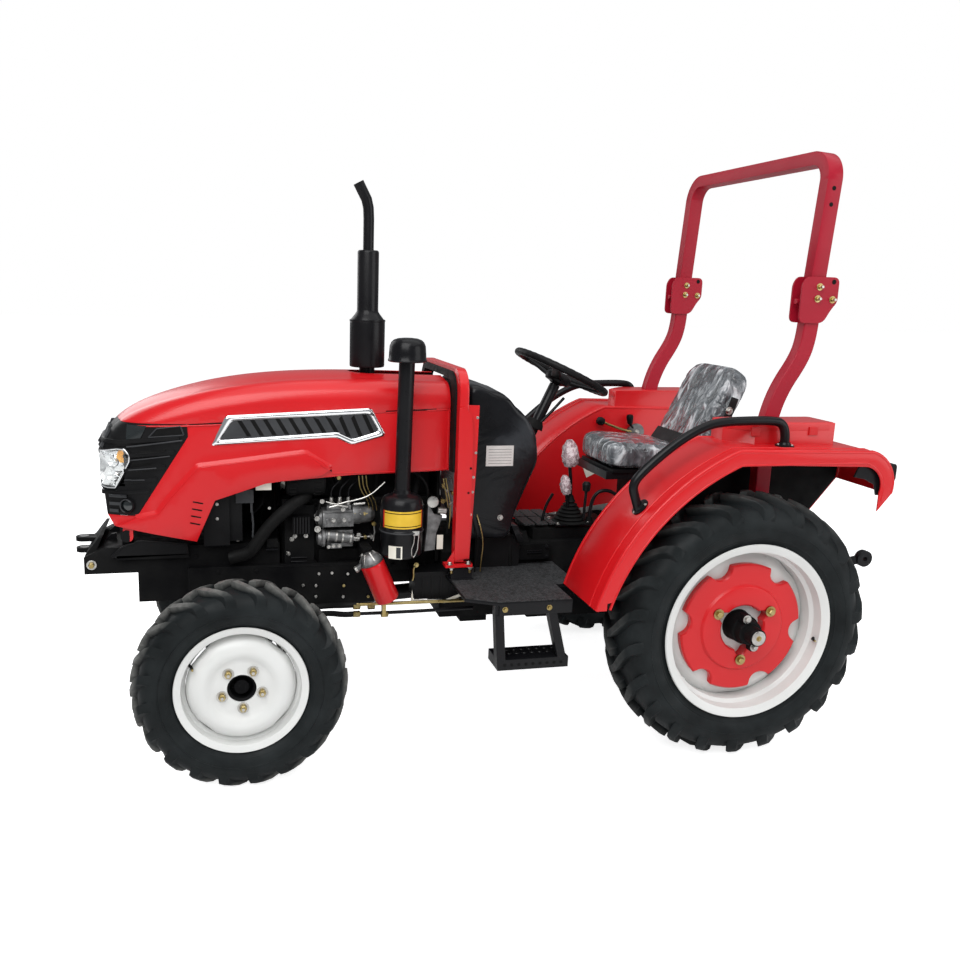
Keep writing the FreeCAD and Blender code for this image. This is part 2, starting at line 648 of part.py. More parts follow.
# Hydraulic lift housing on the rear case, bored for the rockshaft.
LIFT_CASE = {
    "lift_half": 125, "lift_case_top": 955, "lift_case_front": 150, "top_bracket_back": 235,
    "top_bracket_half": 30, "top_bracket_low": 700, "top_bracket_top": 800, "top_pin_z": 750,
    "top_pin_bore": 10,
}
set_sizes(LIFT_CASE)
lift_case = box(("case_back_x", "rear_axle_x + lift_case_front"), ("-lift_half", "lift_half"),
                ("rear_case_top", "lift_case_top"))
top_bracket = box(("rear_axle_x - top_bracket_back", "case_back_x"), ("-top_bracket_half", "top_bracket_half"),
                  ("top_bracket_low", "top_bracket_top"))
shaft_bore = drum("y", ("lift_pivot_x", "shaft_z"), "rockshaft_radius + fit",
                  ("-lift_half - 1", "lift_half + 1"))
top_bore = drum("y", ("rear_axle_x - top_bracket_back + top_bracket_half", "top_pin_z"), "top_pin_bore",
                ("-top_bracket_half - 1", "top_bracket_half + 1"))
piece("hydraulic_lift", without(joined(lift_case, top_bracket), shaft_bore, top_bore))

# Drawbar under the rear case, and the power take-off shaft above it.
DRAWBAR = {
    "drawbar_back": 470, "drawbar_half": 38, "drawbar_thick": 28, "drawbar_top": 345,
    "drawbar_hole": 14, "drawbar_hole_back": 435, "take_off_radius": 17.4, "take_off_back": 262,
    "take_off_z": 520, "hanger_half": 55,
}
set_sizes(DRAWBAR)
bar = box(("rear_axle_x - drawbar_back", "case_front_x"), ("-drawbar_half", "drawbar_half"),
          ("drawbar_top - drawbar_thick", "drawbar_top"))
bar_hole = drum("z", ("rear_axle_x - drawbar_hole_back", "0"), "drawbar_hole",
                ("drawbar_top - drawbar_thick - 1", "drawbar_top + 1"))
piece("drawbar", without(bar, bar_hole))
piece("power_take_off", drum("x", ("0", "take_off_z"), "take_off_radius",
                             ("rear_axle_x - take_off_back", "case_back_x")))

# Tube that covers the front driveshaft, from the clutch housing to the front axle's hanger.


def driveshaft():
    start = Vector(now.clutch_front_x, 0, now.shaft_rear_z)
    end = Vector(now.hanger_back_x, 0, now.axle_z)
    along = (end - start).normalize() * now.shaft_tube_radius
    bar = bar_between(start - along, end + along, now.shaft_tube_radius)
    side = 4 * now.shaft_tube_radius
    return bar.common(Part.makeBox(end.x - start.x, side, side + start.z - end.z,
                                   Vector(start.x, -side / 2, end.z - side / 2)))


# ---------------------------------------------------------------- front frame, engine, radiator

FRONT_BRACKET = {
    "bracket_back": 160, "bracket_step": 357, "bracket_nose": 544,
    "bracket_low": 530, "bracket_step_z": 644, "bracket_nose_top": 706, "bracket_brow": 478,
    "bracket_top": 742, "guard_half": 150, "guard_thick": 12, "guard_back": 494, "guard_top": 772, "bracket_half": 180, "bracket_wall": 20,
    "hanger_thick": 22, "hanger_low": 395, "hanger_hold": 50, "tow_plate_radius": 28, "tow_bore": 11,
    "tow_plate_thick": 16, "tow_high_z": 735, "tow_low_z": 692, "tow_neck": 40, "rail_back": 1290,
    "rail_front": 178, "rail_low": 494, "rail_top": 658, "rail_thick": 20, "pad_low": 600,
    "pad_length": 80, "pad_first": 60, "pad_second": 220,
}
set_sizes(FRONT_BRACKET)
set_places(
    bracket_back_x="front_axle_x - bracket_back", bracket_nose_x="front_axle_x + bracket_nose",
    tow_x="front_axle_x + front_reach - tow_plate_radius",
    hanger_back_x="front_axle_x - trunnion_half - hanger_thick",
    hanger_front_x="front_axle_x + trunnion_half",
    rail_back_x="rear_axle_x + rail_back", rail_front_x="front_axle_x + rail_front",
)
carrier_block = plate("side", [
    ("bracket_back_x", "bracket_low"), ("front_axle_x + bracket_step", "bracket_low"),
    ("front_axle_x + bracket_step", "bracket_step_z"), ("bracket_nose_x", "bracket_step_z"),
    ("bracket_nose_x", "bracket_nose_top"), ("front_axle_x + bracket_brow", "bracket_top"),
    ("bracket_back_x", "bracket_top"),
], ("-bracket_half", "bracket_half"))
guard = plate("side", [
    ("bracket_nose_x - guard_thick", "bracket_step_z + guard_thick"), ("bracket_nose_x", "bracket_nose_top"),
    ("front_axle_x + guard_back", "guard_top"), ("front_axle_x + guard_back - guard_thick", "guard_top"),
], ("-guard_half", "guard_half"))
hollow = box(("bracket_back_x - 1", "front_axle_x + bracket_step - bracket_wall"),
             ("bracket_wall - bracket_half", "bracket_half - bracket_wall"),
             ("bracket_low - 1", "bracket_top - bracket_wall"))
hangers = [box((low, f"{low} + hanger_thick"), ("-hanger_hold", "hanger_hold"),
               ("hanger_low", "bracket_top - bracket_wall")) for low in ("hanger_front_x", "hanger_back_x")]
hanger_ties = [box((low, f"{low} + hanger_thick"), ("bracket_wall - bracket_half", "bracket_half - bracket_wall"),
                   ("bracket_low", "bracket_top - bracket_wall")) for low in ("hanger_front_x",)]
tow_solids = []
for height in ("tow_high_z", "tow_low_z"):
    span = (f"{height} - tow_plate_thick / 2", f"{height} + tow_plate_thick / 2")
    tow_solids.append(drum("z", ("tow_x", "0"), "tow_plate_radius", span))
    tow_solids.append(box(("bracket_nose_x - tow_neck", "tow_x"), ("-tow_plate_radius", "tow_plate_radius"), span))
tow_hole = drum("z", ("tow_x", "0"), "tow_bore", ("tow_low_z - tow_neck", "tow_high_z + tow_neck"))
HOOD_HINGE = {
    "hinge_ahead": 388, "hinge_z": 790, "hinge_pin_radius": 10, "hinge_post_in": 150,
    "hinge_post_out": 177.5, "hinge_post_half": 20, "hinge_pin_end": 192,
}
set_sizes(HOOD_HINGE)
set_places(hinge_x="front_axle_x + hinge_ahead")
hinge_post = joined(
    box(("hinge_x - hinge_post_half", "hinge_x + hinge_post_half"), ("hinge_post_in", "hinge_post_out"),
        ("bracket_top", "hinge_z")),
    drum("y", ("hinge_x", "hinge_z"), "hinge_post_half", ("hinge_post_in", "hinge_post_out")),
    drum("y", ("hinge_x", "hinge_z"), "hinge_pin_radius", ("hinge_post_in", "hinge_pin_end")))
frame_block = joined(without(carrier_block, hollow), guard, *hangers, *hanger_ties, *tow_solids,
                     hinge_post, mirrored(hinge_post))
piece("front_bracket", without(frame_block, tow_hole))

rail = box(("rail_back_x", "rail_front_x"), ("bracket_half", "bracket_half + rail_thick"),
           ("rail_low", "rail_top"))
ENGINE = {
    "engine_half": 140, "engine_ease": 12, "pan_low": 535, "pan_inset": 45, "block_low": 600,
    "block_top": 900, "head_top": 1040, "head_half": 110, "cover_engine_half": 75,
    "cover_engine_top": 1105, "cover_inset": 40, "manifold_half": 60, "manifold_low": 940,
    "manifold_top": 1010,
}
set_sizes(ENGINE)
pads = [box((f"rail_back_x + {start}", f"rail_back_x + {start} + pad_length"),
            ("engine_half", "bracket_half"), ("pad_low", "rail_top")) for start in ("pad_first", "pad_second")]
left_rail = joined(rail, *pads)
piece("side_rails", joined(left_rail, mirrored(left_rail)))
piece("driveshaft", computed(driveshaft()))

set_places(engine_back_x="clutch_front_x", engine_front_x="front_axle_x - bracket_back - engine_ease")
crankcase = box(("engine_back_x", "engine_front_x"), ("-engine_half", "engine_half"),
                ("block_low", "block_top"))
pan = box(("engine_back_x + pan_inset", "engine_front_x - pan_inset"),
          ("pan_inset - engine_half", "engine_half - pan_inset"), ("pan_low", "block_low"))
head = box(("engine_back_x + pan_inset", "engine_front_x - pan_inset"), ("-head_half", "head_half"),
           ("block_top", "head_top"))
valve_cover = box(("engine_back_x + pan_inset + cover_inset", "engine_front_x - pan_inset - cover_inset"),
                  ("-cover_engine_half", "cover_engine_half"), ("head_top", "cover_engine_top"))
manifold = box(("engine_back_x + pan_inset + cover_inset", "engine_front_x - pan_inset - cover_inset"),
               ("-head_half - manifold_half", "-head_half"), ("manifold_low", "manifold_top"))
piece("engine", joined(crankcase, pan, head, valve_cover, manifold))

# Radiator on the front bracket.
RADIATOR = {
    "radiator_back": 30, "radiator_front": 112, "radiator_half": 215, "radiator_top": 1215,
}
set_sizes(RADIATOR)
piece("radiator", box(("front_axle_x + radiator_back", "front_axle_x + radiator_front"),
                      ("-radiator_half", "radiator_half"), ("bracket_top", "radiator_top")))

# Injection pump, starter, alternator, fan, pulley, radiator hose and the head of the oil filter.
FITTINGS = {
    "pump_back": 1330, "pump_front": 1555, "pump_depth": 95, "pump_low": 790, "pump_top": 930,
    "alternator_radius": 56, "alternator_back": 1480, "alternator_front": 1630, "alternator_y": 180,
    "alternator_z": 980, "alternator_foot": 30, "fan_radius": 190, "fan_z": 965, "fan_mount_drop": 120,
    "fan_gap": 70, "fan_thick": 45, "fan_mount_half": 42, "fan_hub_radius": 40, "filter_top_x": 1321, "filter_top_z": 691,
    "filter_low_x": 1258, "filter_low_z": 543, "filter_y": 330, "filter_radius": 46,
    "filter_head_radius": 34, "filter_head_length": 36, "filter_arm": 55,
    "pump_y": 188, "outlet_first": 1365, "outlet_pitch": 45, "outlets": 3, "outlet_radius": 13,
    "outlet_top": 962, "governor_radius": 40, "governor_back": 1288, "governor_z": 845,
    "starter_radius": 37, "starter_y": 178, "starter_z": 702, "starter_back": 1112,
    "starter_front": 1262, "fan_blades": 6, "blade_thick": 6, "blade_wide": 78, "blade_lean": 32,
    "pulley_radius": 52, "pulley_z": 800, "pulley_thick": 32, "hose_radius": 20, "hose_y": 205,
    "hose_bend": 30, "hose_high_z": 880, "hose_low_z": 778,
}
set_sizes(FITTINGS)
pump = box(("rear_axle_x + pump_back", "rear_axle_x + pump_front"),
           ("engine_half", "engine_half + pump_depth"), ("pump_low", "pump_top"))
alternator = drum("x", ("alternator_y", "alternator_z"), "alternator_radius",
                  ("rear_axle_x + alternator_back", "rear_axle_x + alternator_front"))
alternator_foot = box(("rear_axle_x + alternator_back", "rear_axle_x + alternator_front"),
                      ("head_half", "alternator_y"), ("alternator_z - alternator_foot",
                                                      "alternator_z + alternator_foot"))
pulley = drum("x", ("0", "pulley_z"), "pulley_radius", ("engine_front_x", "engine_front_x + pulley_thick"))
governor = drum("x", ("pump_y", "governor_z"), "governor_radius",
                ("rear_axle_x + governor_back", "rear_axle_x + pump_back"))
starter = drum("x", ("starter_y", "starter_z"), "starter_radius",
               ("rear_axle_x + starter_back", "rear_axle_x + starter_front"))
outlets = [drum("z", (f"rear_axle_x + outlet_first + {i} * outlet_pitch", "pump_y"), "outlet_radius",
                ("pump_top", "outlet_top")) for i in range(int(now.outlets))]
fan_mount = box(("engine_front_x", "engine_front_x + fan_gap"), ("-fan_mount_half", "fan_mount_half"),
                ("fan_z - fan_mount_drop", "fan_z + fan_mount_half"))


def fan():
    """Hub and leaning blades."""
    centre = Vector(now.engine_front_x + now.fan_gap, 0, now.fan_z)
    along = Vector(1, 0, 0)
    wheel = Part.makeCylinder(now.fan_hub_radius, now.fan_thick, centre, along)
    middle = centre + along * now.fan_thick / 2
    blades = []
    for i in range(int(now.fan_blades)):
        blade = Part.makeBox(now.blade_thick, now.blade_wide, now.fan_radius,
                             middle - Vector(now.blade_thick / 2, now.blade_wide / 2, 0))
        blade.rotate(middle, Vector(0, 0, 1), now.blade_lean)
        blade.rotate(middle, along, 360 * i / now.fan_blades)
        blades.append(blade)
    return wheel.fuse(blades)


def radiator_hose():
    """Hose from the side of the crankcase forward and down to the radiator."""
    x = now.rear_axle_x
    return tube([Vector(x + 1600, now.engine_half, now.hose_high_z), Vector(x + 1600, now.hose_y, now.hose_high_z),
                 Vector(x + 1655, now.hose_y, now.hose_high_z - 20), Vector(x + 1730, now.hose_y, now.hose_low_z),
                 Vector(now.front_axle_x + now.radiator_back - 1, now.hose_y, now.hose_low_z)],
                now.hose_radius, now.hose_bend)


def filter_axis():
    """Top and bottom of the tilted oil filter."""
    top = Vector(now.rear_axle_x + now.filter_top_x, now.filter_y, now.filter_top_z)
    low = Vector(now.rear_axle_x + now.filter_low_x, now.filter_y, now.filter_low_z)
    return top, low


def filter_head():
    """Head above the filter, with the arm that bolts to the crankcase."""
    top, low = filter_axis()
    up = (top - low).normalize()
    drum_part = Part.makeCylinder(now.filter_head_radius, now.filter_head_length, top, up)
    crown = top + up * now.filter_head_length
    half = now.filter_arm / 2
    arm = Part.makeBox(now.filter_arm, now.filter_y - now.engine_half, now.filter_arm,
                       Vector(crown.x - half, now.engine_half, crown.z - half))
    return drum_part.fuse(arm)


piece("engine_fittings", joined(pump, governor, *outlets, starter, alternator, alternator_foot, pulley, fan_mount,
                                computed(fan()), computed(radiator_hose()), computed(filter_head())))
top, low = filter_axis()
piece("oil_filter", computed(Part.makeCylinder(now.filter_radius, (top - low).Length, low, top - low)))

# Exhaust: pipe from the manifold, silencer above the hood, bent stack with an oblique mouth.
EXHAUST = {
    "exhaust_x": 1297, "silencer_radius": 68, "silencer_low": 1392, "silencer_top": 1576,
    "neck_top": 1606, "upper_radius": 41, "upper_top": 1832, "stack_radius": 20.5, "stack_top": 2085,
    "stack_lean": 43, "stack_bend": 70, "down_radius": 30, "down_z": 1180, "down_bend": 60,
    "port_y": 140,
}
set_sizes(EXHAUST)


def exhaust():
    x = now.rear_axle_x + now.exhaust_x
    down = tube([Vector(x, -now.port_y, now.manifold_top), Vector(x, -now.port_y, now.down_z),
                 Vector(x, 0, now.down_z), Vector(x, 0, now.silencer_low)], now.down_radius, now.down_bend)
    silencer = Part.makeCylinder(now.silencer_radius, now.silencer_top - now.silencer_low,
                                 Vector(x, 0, now.silencer_low))
    neck = Part.makeCone(now.silencer_radius, now.upper_radius, now.neck_top - now.silencer_top,
                         Vector(x, 0, now.silencer_top))
    upper = Part.makeCylinder(now.upper_radius, now.upper_top - now.neck_top, Vector(x, 0, now.neck_top))
    knee = now.stack_top - now.stack_lean * 2
    stack = tube([Vector(x, 0, now.upper_top), Vector(x, 0, knee),
                  Vector(x + now.stack_lean, 0, now.stack_top)], now.stack_radius, now.stack_bend)
    return down.fuse([silencer, neck, upper, stack])


piece("exhaust", computed(exhaust()))

# Air cleaner beside the engine: canister, pipe, rain cap and the duct to the head.
AIR_CLEANER = {
    "cleaner_x": 1212, "cleaner_y": 330, "cleaner_radius": 81.5, "cleaner_low": 718, "cleaner_top": 952,
    "intake_radius": 29, "intake_top": 1445, "intake_cap_radius": 71, "intake_cap_low": 1439,
    "intake_cap_top": 1525, "duct_radius": 27, "duct_z": 870,
}
set_sizes(AIR_CLEANER)
CLEANER = ("rear_axle_x + cleaner_x", "cleaner_y")
canister = drum("z", CLEANER, "cleaner_radius", ("cleaner_low", "cleaner_top"))
intake = drum("z", CLEANER, "intake_radius", ("cleaner_top", "intake_top"))
intake_cap = drum("z", CLEANER, "intake_cap_radius", ("intake_cap_low", "intake_cap_top"))
duct = drum("y", ("rear_axle_x + cleaner_x", "duct_z"), "duct_radius", ("engine_half", "cleaner_y"))
piece("air_cleaner", joined(canister, intake, intake_cap, duct))

# ---------------------------------------------------------------- hood

HOOD = {
    "hood_wall": 4, "hood_back": 1018, "hood_back_half": 252, "hood_back_top": 1371,
    "hood_back_low": 1024, "crown_inset": 80, "crown_drop": 15, "corner_drop": 86, "corner_in": 20,
    "corner_mid": 40, "hood_mid_ahead": 366, "hood_mid_top": 1377, "hood_mid_low": 1012,
    "hood_knee_back": 65, "hood_knee_top": 1359, "hood_knee_low": 987, "hood_brow": 121,
    "hood_brow_half": 248, "hood_brow_top": 1327, "hood_arch": 75, "hood_arch_low": 928,
    "hood_cheek": 142, "hood_cheek_low": 776, "hood_nose": 304, "hood_nose_half": 226,
    "hood_nose_top": 1272, "hood_lip": 407, "hood_lip_half": 198, "hood_lip_top": 1216, "hood_tip": 478,
    "hood_tip_half": 150, "hood_tip_top": 1120, "hood_tip_low": 1090, "hood_chin": 455,
    "hood_chin_z": 870, "hood_base": 431, "hood_base_z": 827, "seam_back_z": 1258, "seam_front_z": 1203,
    "seam_gap": 0.5, "grille_high_back": 166, "grille_step_z": 1159, "grille_step_back": 164,
    "grille_low_back": 348, "grille_low_z": 868, "slot_ease": 7, "hinge_in": 178, "hinge_web": 70,
    "hinge_radius": 22,
    "flare_rise": 12, "skin_hold": 2, "ridge_rise": 8, "ridge_high": 13,
}
set_sizes(HOOD)
set_places(
    hood_back_x="rear_axle_x + hood_back", hood_tip_x="front_axle_x + hood_tip",
    exhaust_line_x="rear_axle_x + exhaust_x",
)


def hood_section(x, half, top, low, inset):
    """An upright section of the hood: straight side, rounded shoulder, crowned top."""
    half = half - inset
    top = top - inset
    run = half - now.crown_inset
    right = Vector(x, -run, top - now.crown_drop)
    left = Vector(x, run, top - now.crown_drop)
    side = half - now.corner_in
    corner = top - now.corner_mid
    edges = [
        Part.Arc(right, Vector(x, 0, top), left).toShape(),
        Part.Arc(left, Vector(x, side, corner), Vector(x, half, top - now.corner_drop)).toShape(),
        Part.LineSegment(Vector(x, half, top - now.corner_drop), Vector(x, half, low)).toShape(),
        Part.LineSegment(Vector(x, half, low), Vector(x, -half, low)).toShape(),
        Part.LineSegment(Vector(x, -half, low), Vector(x, -half, top - now.corner_drop)).toShape(),
        Part.Arc(Vector(x, -half, top - now.corner_drop), Vector(x, -side, corner), right).toShape(),
    ]
    return Part.Wire(edges)


def hood_stations():
    """Distance, half width and height of the top at each station, from the back to the nose."""
    front = now.front_axle_x
    return [
        (now.hood_back_x, now.hood_back_half, now.hood_back_top),
        (now.hood_back_x + now.hood_mid_ahead, now.hood_back_half, now.hood_mid_top),
        (front - now.hood_knee_back, now.hood_back_half, now.hood_knee_top),
        (front + now.hood_brow, now.hood_brow_half, now.hood_brow_top),
        (front + now.hood_nose, now.hood_nose_half, now.hood_nose_top),
        (front + now.hood_lip, now.hood_lip_half, now.hood_lip_top),
        (now.hood_tip_x, now.hood_tip_half, now.hood_tip_top),
    ]


def hood_block(inset, low):
    """The solid inside the hood's skin, drawn in by an inset."""
    stations = hood_stations()
    back = stations[0]
    tip = stations[-1]
    ends = [(back[0] - 2 * inset, back[1], back[2])] + stations[1:-1] + [(tip[0] - inset, tip[1], tip[2])]
    sections = [hood_section(x, half, top, low, inset) for x, half, top in ends]
    return Part.makeLoft(sections, True, False)


def side_prism(points):
    """A prism across the whole hood from points in the side view."""
    reach = now.hood_back_half + 100
    corners = [Vector(x, -reach, z) for x, z in points]
    face = Part.Face(Part.makePolygon(corners + [corners[0]]))
    return face.extrude(Vector(0, 2 * reach, 0))


def behind_nose(inset):
    """Everything behind the line of the nose, drawn in by an inset."""
    front = now.front_axle_x - inset
    back = now.hood_back_x - 1
    low = now.hood_cheek_low - 100
    high = now.hood_mid_top + 60
    return side_prism([(back, low), (front + now.hood_base, low), (front + now.hood_base, now.hood_base_z),
                       (front + now.hood_chin, now.hood_chin_z), (front + now.hood_tip, now.hood_tip_low),
                       (front + now.hood_tip, high), (back, high)])


def hood_shell():
    front = now.front_axle_x
    back = now.hood_back_x
    low = now.hood_cheek_low - 60
    high = now.hood_mid_top + 60
    outer = hood_block(0, low)
    inner = hood_block(now.hood_wall, low - 20)
    keep = side_prism([
        (back, now.hood_back_low), (back + now.hood_mid_ahead, now.hood_mid_low),
        (front - now.hood_knee_back - 40, now.hood_knee_low), (front + now.hood_arch, now.hood_arch_low),
        (front + now.hood_cheek, now.hood_cheek_low), (front + now.hood_base, now.hood_base_z),
        (front + now.hood_chin, now.hood_chin_z), (front + now.hood_tip, now.hood_tip_low),
        (front + now.hood_tip, high), (back, high)])
    return outer.common(keep).cut(inner.common(behind_nose(now.hood_wall)))


def seam_height(x):
    """Height of the seam between the top and the sides."""
    front = now.front_axle_x + now.grille_high_back
    share = (x - now.hood_back_x) / (front - now.hood_back_x)
    return now.seam_back_z + (now.seam_front_z - now.seam_back_z) * share


def grille_prism(inset):
    front = now.front_axle_x
    far = now.hood_tip_x + 100
    return side_prism([
        (front + now.grille_high_back + inset, now.seam_front_z - inset),
        (far, now.seam_front_z - inset), (far, now.grille_low_z + inset),
        (front + now.grille_low_back + inset, now.grille_low_z + inset),
        (front + now.grille_step_back + inset, now.grille_step_z)])


def above_seam(gap):
    back = now.hood_back_x - 10
    front = now.front_axle_x + now.grille_high_back
    far = now.hood_tip_x + 100
    high = now.hood_mid_top + 100
    return side_prism([(back, seam_height(back) + gap), (front, now.seam_front_z + gap),
                       (far, now.seam_front_z + gap), (far, high), (back, high)])


def side_slab(low, high):
    """A slab of the whole hood's length between two heights across it."""
    length = now.hood_tip_x - now.hood_back_x + 200
    return Part.makeBox(length, high - low, 1200, Vector(now.hood_back_x - 100, low, 400))


def raised(points, rise):
    """A band standing out from the hood's skin, from points in the side view."""
    low = now.hood_cheek_low - 60
    band = side_prism(points).common(behind_nose(-rise))
    skin = hood_block(now.skin_hold, low).common(behind_nose(now.skin_hold))
    return hood_block(-rise, low).common(band).cut(skin)


def flare():
    """Band over the wheel arch, from below the grille back to the vent."""
    front = now.front_axle_x
    back = now.rear_axle_x
    return raised([
        (front + now.hood_base - 6, now.hood_base_z + 2), (front + now.hood_cheek, now.hood_cheek_low),
        (front + now.hood_arch, now.hood_arch_low), (front - now.hood_knee_back - 40, now.hood_knee_low),
        (back + 1500, now.hood_mid_low + 2), (back + 1466, 1037), (back + 1500, 1066), (back + 1561, 1097),
        (back + 1945, 1051), (back + 2048, 934), (back + 2088, 879), (back + 2165, 860)], now.flare_rise)


# Height at the nose, start behind it and rise towards the back of each ridge of the grille.
RIDGES = [(1130, 30, 18), (1078, 46, 18), (1026, 80, 18), (984, 110, 14), (944, 136, 12)]


def ridges():
    """Level ridges round the grille, rising towards the back."""
    front = now.front_axle_x
    bands = []
    for low, run, rise in RIDGES:
        start = front + now.grille_high_back + run
        end = now.hood_tip_x + 2 * now.ridge_rise
        bands.append(raised([(start, low + rise), (end - 90, low), (end, low), (end, low + now.ridge_high),
                             (end - 90, low + now.ridge_high), (start, low + rise + now.ridge_high)],
                            now.ridge_rise))
    return bands


shell = hood_shell()
slot_half = now.silencer_radius + now.slot_ease
slot = Part.makeBox(now.exhaust_line_x - now.hood_back_x + 50, 2 * slot_half, 400,
                    Vector(now.hood_back_x - 50, -slot_half, now.seam_back_z))
slot_end = Part.makeCylinder(slot_half, 400, Vector(now.exhaust_line_x, 0, now.seam_back_z))
hood_top = shell.common(above_seam(now.seam_gap)).cut(grille_prism(-now.seam_gap)).cut([slot, slot_end])
below = shell.cut(above_seam(-now.seam_gap)).cut(grille_prism(-now.seam_gap))
far_side = now.hood_back_half + 50
hood_left = below.common(side_slab(now.seam_gap, far_side))
hood_right = below.common(side_slab(-far_side, -now.seam_gap))
plain_grille = shell.common(grille_prism(now.seam_gap))
grille = plain_grille.fuse(ridges())
band = flare()
hood_left = hood_left.fuse(band.common(side_slab(now.seam_gap, far_side)))
hood_right = hood_right.fuse(band.common(side_slab(-far_side, -now.seam_gap)))


def hinge_ear(side):
    """Ear inside the hood side, out to its skin, bored for the hinge pin."""
    deep = now.hood_back_half - now.hinge_in
    low = now.hinge_in if side > 0 else -now.hood_back_half
    centre = Vector(now.hinge_x, low, now.hinge_z)
    across = Vector(0, 1, 0)
    drop = Part.makeCylinder(now.hinge_radius, deep, centre, across)
    web = Part.makeBox(2 * now.hinge_radius, deep, now.hinge_web,
                       centre - Vector(now.hinge_radius, 0, 0))
    bore = Part.makeCylinder(now.hinge_pin_radius + now.fit, deep, centre, across)
    return drop.fuse(web).cut(bore).common(hood_block(0, now.hinge_z - 2 * now.hinge_radius))


LAMP = {
    "lamp_back": 388, "lamp_front": 470, "lamp_in": 92, "lamp_out": 212, "lamp_low": 975,
    "lamp_high": 1105,
}
set_sizes(LAMP)


def lamp_shape(side):
    """Headlamp let into the grille's skin, flush with it outside."""
    low = min(side * now.lamp_in, side * now.lamp_out)
    block = Part.makeBox(now.lamp_front + 60 - now.lamp_back, now.lamp_out - now.lamp_in,
                         now.lamp_high - now.lamp_low,
                         Vector(now.front_axle_x + now.lamp_back, low, now.lamp_low))
    return block


lamp_holes = [lamp_shape(1), lamp_shape(-1)]
headlamps = plain_grille.common(Part.makeCompound(lamp_holes))
piece("hood_top", computed(hood_top))
piece("hood_side_left", computed(hood_left.fuse(hinge_ear(1))))
piece("hood_side_right", computed(hood_right.fuse(hinge_ear(-1))))
piece("grille", computed(grille.cut(lamp_holes)))
piece("headlamps", computed(headlamps))

# ---------------------------------------------------------------- arch, dash, steering column

ARCH_AND_WHEEL = {
    "arch_back": 938, "arch_front": 1003, "arch_half": 330, "arch_wall": 34, "arch_top": 1410,
    "arch_corner": 92, "arch_foot_z": 660, "arch_foot_back": 925, "arch_foot_front": 1028,
    "arch_foot_thick": 14, "seal_front": 1014, "seal_out": 22, "foot_block_low": 613, "dash_half": 240,
    "dash_chamfer": 60, "dash_low_z": 857, "dash_low_x": 805, "dash_knee_x": 727, "dash_knee_z": 919,
    "dash_rear_x": 648, "dash_rear_z": 1057, "dash_face_x": 655, "dash_face_z": 1117,
    "dash_brow_x": 778, "dash_brow_z": 1299, "dash_top_z": 1359, "pedestal_back": 800,
    "pedestal_half": 110, "wheel_x": 489, "wheel_centre_z": 1377, "column_tilt": 25,
    "wheel_ring_radius": 197, "wheel_grip": 13, "wheel_dish": 34, "hub_radius": 34, "hub_length": 46,
    "column_radius": 22, "column_length": 320, "spoke_radius": 9, "wheel_gap": 0.3,
}
set_sizes(ARCH_AND_WHEEL)
set_places(
    arch_back_x="rear_axle_x + arch_back", arch_front_x="rear_axle_x + arch_front",
    seal_front_x="rear_axle_x + seal_front",
)


def arch_outline(half, top, foot, corner):
    """Half width, top and foot of the arch with its two clipped corners, as front-view points."""
    return [(f"-({half})", foot), (f"-({half})", f"{top} - {corner}"),
            (f"-({half}) + {corner}", top), (f"({half}) - {corner}", top),
            (half, f"{top} - {corner}"), (half, foot)]


arch_block = plate("front", arch_outline("arch_half", "arch_top", "arch_foot_z", "arch_corner"),
                   ("arch_back_x", "arch_front_x"))
arch_void = plate("front", arch_outline("arch_half - arch_wall", "arch_top - arch_wall",
                                        "arch_foot_z - 1", "arch_corner"),
                  ("arch_back_x - 1", "arch_front_x + 1"))
arch_foot = box(("rear_axle_x + arch_foot_back", "rear_axle_x + arch_foot_front"),
                ("arch_half - 2 * arch_wall", "arch_half + arch_wall / 2"),
                ("arch_foot_z", "arch_foot_z + arch_foot_thick"))
piece("arch_frame", joined(without(arch_block, arch_void), arch_foot, mirrored(arch_foot)))
seal_block = plate("front", arch_outline("hood_back_half + seal_out", "hood_back_top + seal_out",
                                         "hood_back_low", "arch_corner"),
                   ("arch_front_x", "seal_front_x"))
seal_void = plate("front", arch_outline("hood_back_half - seal_out", "hood_back_top - seal_out",
                                        "hood_back_low - 1", "arch_corner"),
                  ("arch_front_x - 1", "seal_front_x + 1"))
seal_web = without(plate("front", arch_outline("arch_half - arch_wall", "arch_top - arch_wall",
                                               "hood_back_low", "arch_corner"),
                         ("arch_back_x + arch_wall", "arch_front_x")), copied(seal_void))
piece("hood_seal", without(joined(seal_block, seal_web), seal_void))

dash_points = [("arch_back_x", "dash_top_z")]
dash_points += [(f"rear_axle_x + dash_{name}_x", f"dash_{name}_z")
                for name in ("brow", "face", "rear", "knee", "low")]
dash_points += [("arch_back_x", "dash_low_z")]
dash_side = plate("side", dash_points, ("-dash_half", "dash_half"))
dash_front = plate("front", arch_outline("dash_half", "dash_top_z", "dash_low_z", "dash_chamfer"),
                   ("rear_axle_x + dash_rear_x", "arch_back_x"))
dash_body = doc.addObject("Part::Common", "DashBody")
dash_body.Base = dash_side
dash_body.Tool = dash_front
pedestal = box(("rear_axle_x + pedestal_back", "arch_back_x"), ("-pedestal_half", "pedestal_half"),
               ("clutch_top", "dash_low_z"))
dash = piece("dash_cowl", joined(dash_body, pedestal))


def column_frame():
    """Rim centre and the unit vector up the steering column."""
    tilt = math.radians(now.column_tilt)
    return (Vector(now.rear_axle_x + now.wheel_x, 0, now.wheel_centre_z),
            Vector(-math.sin(tilt), 0, math.cos(tilt)))


